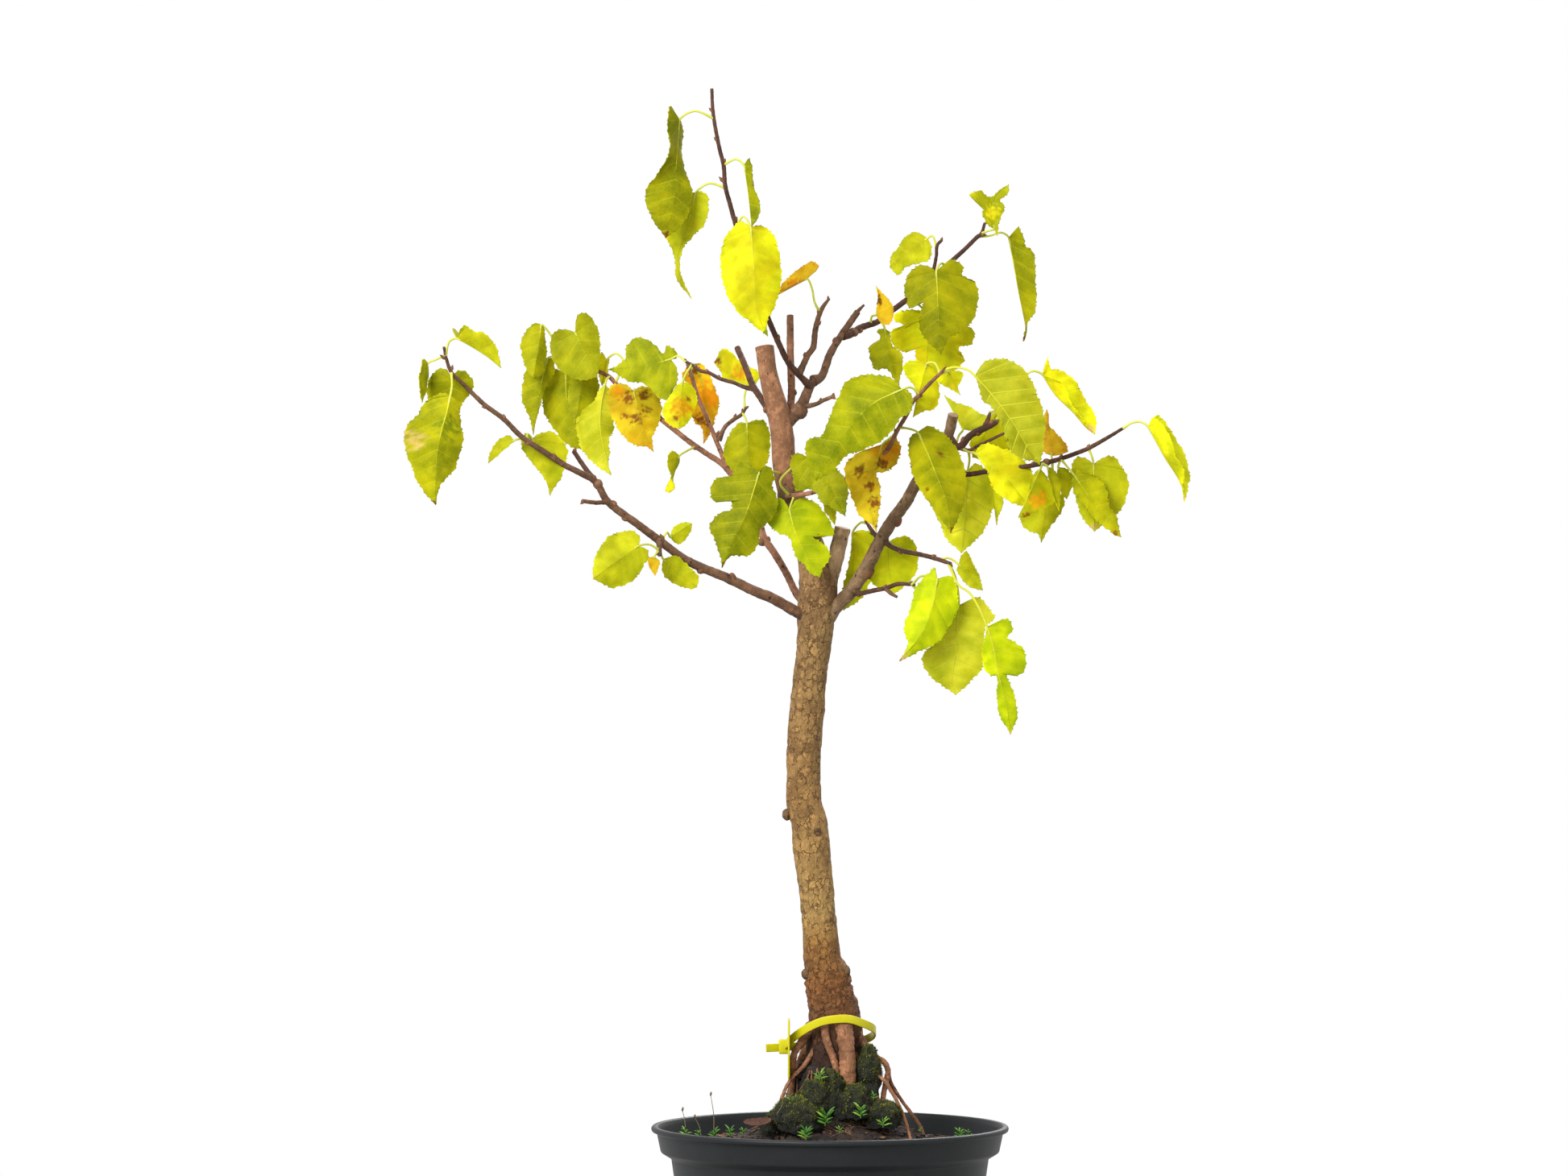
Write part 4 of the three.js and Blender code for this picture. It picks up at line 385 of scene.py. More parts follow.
# Limbs, in the front view: x, z, depth and diameter of each from where it leaves its parent, in mm
limbsRoutes = {
    "trunk": [(2, 146, 4, 24), (2, 168, 2, 34), (2.5, 190, 0, 38), (3, 212, 0, 37), (3.5, 232, 0, 34),
        (3, 244, 0, 32), (2, 252, 0, 30), (-0.5, 262, 0, 28), (-1.5, 271, 0, 28), (-4.5, 280, 0, 23.5),
        (-6.5, 301, 1, 21.5), (-8.5, 326, 3, 21.5), (-11.5, 351, 4, 23.5), (-13, 366, 5, 22.5),
        (-15.5, 376, 5, 21.5), (-16.5, 401, 6, 21), (-15, 426, 6, 21.5), (-13, 451, 5, 20.5),
        (-10, 476, 3, 21.5), (-8.5, 496, 1, 24), (-7.5, 516, 0, 24), (-12, 536, 0, 18.5),
        (-19, 556, 0, 16.5), (-26, 576, 0, 15.5), (-28.5, 590, 0, 15), (-29.5, 606, 0, 14.6),
        (-32, 620, 0, 14.4), (-35.5, 633, 1, 13), (-38.5, 646, 3, 11.6), (-40.5, 661, 6, 12)],
    "forkStub": [(-3, 508, -1, 12), (1.5, 522, -3, 11), (8, 549, -6, 11)],
    "lowerLeft": [(-10, 492, 0, 8), (-20, 496.3, -5, 7.8), (-36, 505.3, -12, 7.3), (-45, 508.8, -15, 7),
        (-65, 518.3, -24, 6.5), (-80, 524.3, -30, 6.2), (-90, 529.3, -34, 5.9), (-105, 540.3, -41, 5.6),
        (-120, 551.5, -48, 5.4), (-132.5, 560.5, -54, 5.2), (-139, 566.5, -58, 5),
        (-142.5, 573, -61, 4.8), (-146, 578, -63, 4.6), (-154, 582.5, -67, 4.3), (-165, 588, -72, 4.1),
        (-175, 594.5, -77, 3.9), (-186.5, 602, -83, 3.8), (-192.5, 606.5, -86, 3.6),
        (-202.5, 616.5, -92, 3.4), (-214, 625, -98, 3.2), (-222.5, 633, -103, 2.9),
        (-229, 639.5, -107, 2.6), (-235, 645.5, -111, 2.4), (-238, 654, -115, 2.2),
        (-239.5, 661, -118, 1.8)],
    "lowerLeftFork": [(-147, 579, -63, 3.4), (-154, 589, -60, 3.2), (-159, 596.5, -58, 3)],
    "lowerLeftSpur": [(-137, 565, -57, 3), (-145, 564.5, -66, 3), (-153.5, 565.5, -74, 2.8)],
    "lowerLeftBudSpur": [(-106, 542, -42, 3.4), (-106, 538, -47, 3.6), (-105.5, 531.5, -50, 3)],
    "midLeft": [(-12, 500, 4, 6), (-19, 505.5, 8, 5.2), (-27.5, 521.5, 18, 5), (-35, 534, 26, 5),
        (-41, 542.5, 32, 5.4), (-44, 552, 38, 5), (-52, 568, 50, 4.8), (-62.5, 584, 62, 4.6),
        (-67.5, 589, 66, 4.2), (-77.5, 595.5, 74, 3.9), (-87.5, 602.5, 82, 3.7), (-97.5, 610.5, 90, 3.6),
        (-105, 616.5, 96, 3.5), (-120, 628, 108, 3.3), (-132.5, 638, 118, 3.1), (-137.5, 643, 121, 3),
        (-155, 650, 128, 2.6), (-170, 656.5, 134, 2.2)],
    "midLeftUpright": [(-63.5, 586, 63, 3.6), (-70, 601.5, 70, 3.2), (-75, 614, 76, 3.1),
        (-82.5, 631.5, 86, 3), (-86, 644, 93, 2.8), (-88.5, 650.5, 97, 2.2)],
    "midLeftSpur": [(-69, 603, 70, 3), (-65, 611.5, 69, 2.8), (-59, 616.5, 67, 2.8), (-55, 619, 66, 2.6),
        (-52, 623.5, 64, 2)],
    "upperLeft": [(-35, 617, 3, 5), (-42.5, 629, 12, 4.8), (-47.5, 636.5, 20, 4.6), (-52.5, 649, 34, 4.4),
        (-57.5, 660.5, 46, 4.3)],
    "upperLeftTwig": [(-47, 635, 20, 3), (-52.5, 636, 24, 2.8), (-60, 639, 32, 2.7),
        (-68.5, 641.5, 40, 2.6), (-75, 645, 47, 2.6), (-81, 646.5, 53, 2.5), (-84, 649, 57, 2.4),
        (-89.5, 652, 64, 2)],
    "crownStub": [(-27, 615, 4, 5.6), (-24, 629, 16, 5.2), (-24.5, 655, 26, 5), (-24.7, 680.5, 34, 4.8)],
    "crownFork": [(-29, 613, 0, 9), (-22, 619, 3, 9), (-17, 626, 5, 7.5), (-12.5, 636.5, 8, 6.4),
        (-9, 641.5, 11, 5.8)],
    "leaderTwig": [(-12.5, 637, 6, 4.6), (-18, 642.5, -1, 4.4), (-25.5, 651, -8, 4.2), (-32, 664, -14, 4),
        (-39, 680.5, -20, 3.8), (-49, 710, -28, 3.5), (-58.5, 737.5, -34, 3.3), (-62.5, 751.5, -36, 3.1),
        (-65, 761.5, -38, 3), (-66, 774, -39, 2.9), (-68.5, 784, -40, 2.8), (-72.5, 806.5, -42, 2.5),
        (-73.3, 821.5, -43, 2.2)],
    "crownTwig": [(-19.5, 644, -2, 4.4), (-16.5, 650, 1, 4.2), (-13.5, 656.5, 4, 4.2),
        (-10.5, 660.5, 6, 4.2), (-9, 671.5, 10, 4), (-6.5, 681.5, 13, 3.4), (-4, 686.5, 15, 2.8),
        (-0.5, 691, 17, 1.8)],
    "crownRight": [(-10.5, 640, 10, 6), (-5.5, 642.5, 14, 5.6), (0, 656.5, 26, 5.2), (7.5, 669, 38, 4.8),
        (17, 682.5, 50, 4.4)],
    "crownRightTip": [(14, 679, 47, 3), (18, 684, 51, 2.4), (21, 687, 54, 1.6)],
    "crownBudTwig": [(-17, 624, 4, 3.2), (-9, 625.5, -1, 3), (-4, 628, -6, 2.8), (2.5, 630.5, -12, 2.6)],
    "upperRight": [(8, 668, 38, 4.8), (12.5, 669, 42, 5), (19, 673, 50, 4.6), (30, 677, 60, 4.2),
        (39, 684, 66, 4), (46.5, 689.5, 70, 3.8), (62, 702, 76, 3.5), (78, 716.5, 82, 3.2),
        (85, 723, 85, 3), (91, 729, 87, 3), (94, 731.5, 88, 2.8), (96, 738, 89, 1.8)],
    "upperRightSpur": [(63, 703, 76, 2.6), (66, 717.5, 74, 2.3), (66.5, 724, 73, 2.4),
        (69.5, 727.5, 72, 2)],
    "lowerRight": [(-2, 495, 0, 11), (5, 501.5, -4, 10), (12.5, 509, -8, 9.8), (22.5, 524, -15, 9.4),
        (31, 540.5, -22, 9), (37.5, 551.5, -27, 8.6), (47.5, 565.5, -34, 8.2), (53.5, 576.5, -39, 7.9),
        (63, 590.5, -46, 7.5), (72.5, 604, -53, 7.2), (76.5, 619, -60, 7)],
    "lowerRightTwig": [(33, 542, -23, 4), (37.5, 537.5, -28, 3.4), (45, 534.5, -34, 3.4),
        (55, 532.5, -42, 3.2), (65, 530, -50, 3.2), (75, 526.5, -58, 2.4)],
    "lowestRightTwig": [(11, 508, -6, 3.6), (17.5, 508, -14, 3.4), (27.5, 510, -24, 3.2),
        (35, 511.5, -31, 3.1), (42.5, 514, -37, 3), (52.5, 513.5, -44, 2)],
    "lowestRightSpur": [(35, 511, -31, 2.4), (38, 508, -35, 2.4), (41.5, 506, -38, 2)],
    "innerSpur": [(31, 541.5, -22, 3.2), (26.5, 546.5, -17, 3), (22.5, 552.5, -13, 2)],
    "farRight": [(60, 586.5, -44, 4.2), (72, 583, -54, 3.8), (85, 582, -62, 3.6), (98.5, 584, -70, 3.4),
        (125, 587.5, -84, 3.2), (135, 589.5, -89, 3.2), (142.5, 591.5, -93, 3.2), (152.5, 595, -98, 2.9),
        (160, 598, -102, 3), (170, 603.5, -107, 2.6), (182.5, 611, -113, 2)],
    "darkSpur": [(73.5, 605, -54, 4.8), (80, 599, -60, 5), (87.5, 606.5, -64, 4.6),
        (97.5, 611.5, -69, 4.8), (103.5, 614.5, -72, 3.4)],
    "darkSpurFork": [(96, 611, -68, 3), (98, 616, -69, 2.8), (99.5, 620.5, -70, 2)],
    "greyTwig": [(79, 599, -60, 2.6), (86, 597, -63, 2.3), (92.5, 600, -67, 2.2), (109, 608, -77, 1.8)],
    "frontTwig": [(-26, 568.5, -2, 4), (-26, 568.5, -11, 3.4), (-10, 571, -30, 3.1), (15, 581.5, -58, 3),
        (35, 596.5, -80, 2.9), (42.5, 610.5, -92, 2.9), (47.5, 619, -99, 2.8), (51, 626.5, -104, 2.8),
        (55.5, 631.5, -108, 2.8), (62.5, 639, -116, 2.6), (71, 647, -126, 2.2)],
}

rootsRoutes = {
    "frontRoot": [(5, 246, -6, 12), (8, 240.5, -15, 11), (10, 228, -19, 10), (11, 216, -21, 10),
        (10.5, 203.5, -22, 9.5), (9, 190, -24, 8.5), (7, 176, -27, 6.5), (6.5, 160, -30, 5),
        (6, 148, -32, 3.5)],
    "slimFrontRoot": [(-2, 244, -8, 6), (-3, 237, -15.5, 5), (-1, 228, -18.5, 4.6), (3, 217, -20.5, 4.2),
        (4.5, 200, -21, 3.6), (4, 184, -20, 3)],
    "leftRoot": [(-11, 240, -2, 8), (-18, 229, -9, 5), (-22, 223, -10, 4.2), (-23.5, 211, -11, 4),
        (-24, 198, -13, 3.8), (-25, 180, -15, 3.2), (-26, 160, -16, 2.4)],
    "leftThinRoot": [(-9, 226, -8, 4), (-17, 214, -15, 2.6), (-24, 207, -18, 2.2), (-29.5, 196, -21, 2.2),
        (-33, 182, -23, 2), (-36, 164, -26, 1.8)],
    "rightRoot": [(14, 238, -4, 8), (23, 226, -9, 4.6), (28.5, 220.5, -11, 3.6), (33.5, 217.5, -12, 3.4),
        (36, 212, -12, 3.4), (34.5, 203.5, -13, 3.4), (33, 195, -15, 3.2), (33, 181, -17, 2.8),
        (34, 162, -19, 2.2)],
    "rightThinRoot": [(12, 226, -8, 4), (24.5, 212, -17, 2.6), (33, 206.5, -21, 2.2),
        (38.5, 198.5, -24, 2.2), (46, 183, -28, 2), (52, 162, -33, 1.8)],
    "rightOuterRoot": [(35.7, 212, -12, 2.8), (38, 204, -9, 2.4), (44.5, 193.5, -3, 2.2),
        (55.5, 178, 0, 2.2), (62, 160, 4, 1.8)],
    "backRoot": [(2, 240, 8, 12), (1, 228, 17, 9), (-1, 212, 22, 8), (-4, 194, 26, 7), (-8, 176, 31, 5.5),
        (-12, 158, 35, 4)],
    "backRightRoot": [(10, 236, 6, 8), (19, 222, 14, 5.5), (25, 206, 20, 5), (30, 188, 26, 4.4),
        (36, 160, 32, 3)],
    "backLeftRoot": [(-8, 236, 6, 8), (-17, 220, 14, 5.5), (-22, 204, 20, 5), (-27, 186, 26, 4),
        (-33, 160, 32, 2.8)],
}

limbLines = {}
for limbName, route in {**limbsRoutes, **rootsRoutes}.items():
    line = smoothLine([place(x, z, depth) for x, z, depth, width in route])
    widths = np.interp(np.arange(len(line)) / lineSteps, range(len(route)), [point[3] for point in route])
    limbLines[limbName] = (line, widths / 2)


def frontView(points):
    points = np.asarray(points, float)
    shrink = view["distance"] / (view["distance"] + points[..., 1])
    return np.stack([view["x"] + (points[..., 0] - view["x"]) * shrink,
                     view["z"] + (points[..., 2] - view["z"]) * shrink], axis=-1)


def onLimb(name, x, z):
    # the point of a limb's middle line nearest to x, z in the front view, its radius and its direction there
    line, radii = limbLines[name]
    count = 400
    fine, fineRadii = resample(line, count, radii)
    nearest = int(np.argmin(np.linalg.norm(frontView(fine) - (x, z), axis=1)))
    direction = unit(fine[min(nearest + 3, count - 1)] - fine[max(nearest - 3, 0)])
    return fine[nearest], fineRadii[nearest], direction


# Wood

wood = dict(
    rowLength=1.1, trunkRow=1.1, rootRow=0.9, trunkSides=108, collar=0.36, collarLength=5.0,
    trunkTints=[(150, (70, 44, 28)), (226, (84, 52, 30)), (244, (134, 86, 44)), (268, (160, 104, 48)),
                (290, (184, 132, 62)), (310, (212, 170, 98)), (380, (192, 146, 82)), (480, (196, 154, 92)),
                (530, (192, 146, 94)), (575, (176, 122, 82)), (661, (214, 154, 110))],
    limbTint=(152, 110, 78), twigTint=(116, 76, 54), pinkTint=(196, 136, 98), greyTint=(184, 148, 108),
    stubTint=(240, 198, 150), rootTint=(216, 152, 108), budTint=(156, 104, 66), burlTint=(140, 106, 66))

twigTints = dict(leaderTwig="twigTint", crownTwig="limbTint", crownRight="limbTint", crownStub="pinkTint",
                 upperRight="twigTint", upperRightSpur="twigTint", darkSpur="twigTint", midLeft="pinkTint",
                 midLeftUpright="pinkTint", lowerRight="greyTint", forkStub="stubTint", frontTwig="pinkTint",
                 farRight="twigTint", lowerLeftFork="twigTint", upperLeft="twigTint",
                 upperLeftTwig="twigTint", crownFork="limbTint", lowerRightTwig="twigTint",
                 lowestRightTwig="twigTint")

# Buds and leaf scars on each limb: where the bud's tip is in the front view
budPlaces = dict(
    leaderTwig=[(-75.5, 808), (-64, 777), (-69.5, 764), (-57, 741), (-31, 668), (-45, 704), (-71, 790),
                (-26, 654)],
    lowerLeft=[(-242, 653.5), (-232.5, 648.5), (-215, 623), (-201, 619), (-189, 599.5), (-171, 594.5),
               (-81, 522.5), (-103, 545), (-133, 565.5), (-146, 582), (-128, 554), (-60, 520.5)],
    lowerLeftFork=[(-158, 597.5)],
    lowerLeftSpur=[(-154, 563.5)],
    lowerLeftBudSpur=[(-108.5, 533)],
    midLeft=[(-84, 598.5), (-105, 619.5), (-38.5, 542), (-60, 577)],
    midLeftUpright=[(-67, 607), (-77, 612)],
    midLeftSpur=[(-60, 619.5), (-55, 622), (-50.5, 625)],
    upperLeft=[(-40, 622)],
    upperLeftTwig=[(-68, 644), (-76, 647), (-83, 649.5), (-90, 653.5)],
    crownTwig=[(-14.5, 656), (-6.5, 676), (-9, 684), (-2, 692)],
    crownBudTwig=[(-6, 628.5), (1.5, 632.5), (3, 628)],
    upperRight=[(13, 672.5), (20, 669.5), (31, 680), (62, 699.5), (96.5, 729), (97.5, 739.5)],
    upperRightSpur=[(64, 708), (70.5, 729)],
    lowerRight=[(42, 553.5), (24, 522)],
    lowerRightTwig=[(43.5, 532.5), (65, 532.5), (76, 525)],
    lowestRightTwig=[(18, 506), (34, 514), (50, 516.5)],
    innerSpur=[(25.5, 545), (21.5, 554)],
    farRight=[(126, 590), (134, 587), (143, 594.5), (160, 600.5), (184, 612)],
    darkSpur=[(82, 604.5), (93, 606.5), (100, 615), (105.5, 616)],
    frontTwig=[(40.5, 609), (57, 630), (72, 648.5), (14, 583.5)],
    crownRight=[(4, 665)],
    crownStub=[(-21.5, 633)])

# Burls: x, z and depth, radius, and how much taller than wide they are
burls = [(-20, 621, 4, 7, 0.8), (-26.5, 371, 4, 3.4, 1.2), (-8, 360, -5, 3, 1), (8, 273.5, -4, 5, 1),
         (-14, 272, -3, 4, 1), (-27, 570, -4, 6, 1.2), (-42, 540, 31, 3.4, 0.8), (16, 509, -14, 3, 0.8),
         (-144, 576, -62, 3.4, 1), (70, 602, -52, 4.6, 0.8), (134.5, 589.5, -89, 2.6, 1),
         (15, 670, 45, 3.2, 0.9), (-52, 567, 49, 3, 1)]


def trunkRough(size, line, ring, length):
    # flaky plates below the fork, a cracked band above the tie, and flutes where the foot runs into the roots
    surface = line[:, None] + ring * size[..., None]
    height = surface[..., 2]
    turn = np.linspace(0, 2 * math.pi, size.shape[1])[None, :]
    plates = grain(surface * (1.0, 1.0, 0.55), 3.4, 4.0)
    scales = np.clip(np.abs(plates) * 3.2, 0, 1) * 0.34
    rough = 0.5 * grain(surface, 13.0) + scales + 0.2 * grain(surface * (1.0, 1.0, 0.4), 1.7, 9.0)
    rugged = 1 - 0.8 * np.clip((height - 505) / 40, 0, 1)
    rough *= rugged
    cracked = np.clip(1 - np.abs(height - 262) / 26, 0, 1)
    ridges = np.abs(np.sin(height * 0.5 + 2.0 * grain(surface, 9.0, 3.0) + 0.9 * np.sin(turn + 1))) ** 0.6
    oldRing = -0.5 * np.exp(-((height - 309 - np.sin(turn * 2)) / 0.9) ** 2) * (np.sin(turn * 1.5 + 2) > -0.3)
    foot = np.clip((256 - height) / 22, 0, 1)
    flutes = np.sin(turn * 7 + height * 0.035) * 1.0 + 0.9 * grain(surface * (1.0, 1.0, 0.25), 4.5, 7.0)
    swellings = 1.1 * np.clip(grain(surface * (1.0, 1.0, 0.7), 7.0, 12.0) - 0.28, 0, 1)
    ridged = cracked * (1.3 * (ridges - 0.5) + 1.1 * grain(surface, 2.6, 5.0))
    rough += ridged + foot * flutes + swellings + oldRing
    seam = np.minimum(turn, 2 * math.pi - turn) / 0.35
    start = rough[:, :1]
    return size + np.where(seam < 1, rough * seam + start * (1 - seam), rough) - 0.25


def limbRough(size, line, ring, length):
    surface = line[:, None] + ring * size[..., None]
    bumps = 0.08 * size * grain(surface, 3.2) + 0.12 * np.clip(grain(surface, 1.3, 6.0), 0, 1)
    bumps += 0.05 * np.sin(length[:, None] * 1.6 + 2 * grain(surface, 6.0))
    bumps[:, -1] = bumps[:, 0]
    return size * 0.9 + bumps


def rootRough(size, line, ring, length):
    surface = line[:, None] + ring * size[..., None]
    wrinkles = np.abs(np.sin(length[:, None] * 0.85 + 1.3 * grain(surface, 6.0))) ** 0.4
    bumps = size * (0.16 * wrinkles + 0.16 * grain(surface, 5.0, 2.0) - 0.1) + 0.2 * grain(surface, 1.6)
    bumps[:, -1] = bumps[:, 0]
    return size + bumps


def addKnot(build, centre, radius, stretch, tint):
    sides, rows = 18, 12
    tilt = np.linspace(0, math.pi, rows)[:, None]
    turn = np.linspace(0, 2 * math.pi, sides + 1)[None, :]
    ball = np.stack([np.sin(tilt) * np.cos(turn), np.sin(tilt) * np.sin(turn), np.cos(tilt) * stretch
                     * np.ones_like(turn)], axis=-1)
    ball *= (1 + 0.16 * grain(ball * radius + centre, 2.6))[..., None] * radius
    ball[:, -1] = ball[:, 0]
    build.grid(ball + centre, tint, turned=True)


def addBud(build, name, x, z, tint):
    # a leaf scar on a swelling of the twig, with a pointed bud of two scales above it
    foot, radius, direction = onLimb(name, x, z)
    towards = place(x, z, foot[1]) - foot
    towards = unit(towards - direction * np.dot(towards, direction) + 1e-6)
    reach = float(np.clip(np.linalg.norm(place(x, z, foot[1]) - foot) - radius, 1.2, 3.6))
    swelling = foot + (towards * 0.42 - direction * 0.15) * radius
    addKnot(build, swelling, radius * 0.86, 1.1, np.asarray(tint) * 1.1)
    lean = unit(towards + direction * 0.9)
    start = foot + towards * radius * 0.72
    line = start + lean * np.linspace(-0.2, 1.25, 12)[:, None] * reach
    line = line + direction * (np.linspace(0, 1, 12) ** 2)[:, None] * 0.5
    wide = 0.42 + 0.3 * reach
    radii = wide * np.array([0.5, 0.85, 1.0, 1.06, 1.02, 0.93, 0.8, 0.66, 0.5, 0.34, 0.18, 0.03])
    tube(build, line, radii, 10, tint)
    tube(build, line[:7] - lean * 0.25 + towards * 0.22, radii[:7] * 0.82, 8, np.asarray(tint) * 1.5)


def onTrunk(x, z):
    # the burls that belong to the trunk sit near its middle and below the upper limbs
    return abs(x) < 30 and z < 600


def woodPieces():
    heights, colours = zip(*wood["trunkTints"])
    colours = np.array([paint(*c) for c in colours])
    tints = {key: paint(*value) for key, value in wood.items() if key.endswith("Tint")}

    trunk = Build()
    line, radii = limbLines["trunk"]
    line, radii = resample(line, int(lengthsAlong(line)[-1] / wood["trunkRow"]), radii)
    tint = np.column_stack([np.interp(line[:, 2], heights, colours[:, k]) for k in range(3)])
    tube(trunk, line, radii, wood["trunkSides"], tint, trunkRough)
    for x, z, depth, radius, stretch in burls:
        if onTrunk(x, z):
            addKnot(trunk, place(x, z, depth), radius * 0.95, stretch, tints["burlTint"])
    bark = barkMaterial("trunk bark", plateSize=4.6, cracks=0.9, dots=0.9, roughBelow=0.53)
    trunk.finish("trunk_bark", bark, replaces=["wood"])

    limbs = Build()
    for name in limbsRoutes:
        if name == "trunk":
            continue
        line, radii = limbLines[name]
        length = lengthsAlong(line)[-1]
        line, radii = resample(line, max(8, int(length / wood["rowLength"])), radii)
        along = lengthsAlong(line)
        radii = radii * (1 + wood["collar"] * np.exp(-(along / wood["collarLength"]) ** 2))
        sides = 12 if radii.max() < 3 else 20
        tint = tints[twigTints.get(name, "limbTint")] * (0.9 + 0.2 * grain(line, 16.0))[:, None]
        tube(limbs, line, radii, sides, tint, limbRough)
    for x, z, depth, radius, stretch in burls:
        if not onTrunk(x, z):
            addKnot(limbs, place(x, z, depth), radius * 0.92, stretch, tints["limbTint"])
    for name, tips in budPlaces.items():
        for x, z in tips:
            addBud(limbs, name, x, z, tints["budTint"])
    bark = barkMaterial("limb bark", plateSize=3.0, cracks=0.4, dots=0.85, roughBelow=0.2)
    limbs.finish("limbs_and_buds", bark, replaces=["wood"])

    roots = Build()
    for name in rootsRoutes:
        line, radii = limbLines[name]
        line, radii = resample(line, int(lengthsAlong(line)[-1] / wood["rootRow"]), radii)
        shade = tints["rootTint"] * (0.85 + 0.5 * grain(line, 9.0))[:, None]
        tube(roots, line, radii, 18 if radii.max() > 3 else 12, shade, rootRough)
    bark = barkMaterial("root bark", plateSize=3.0, cracks=0.5, dots=0.0, roughBelow=0.6)
    roots.finish("bare_roots", bark, replaces=["wood"])
    print("wood made")


woodPieces()


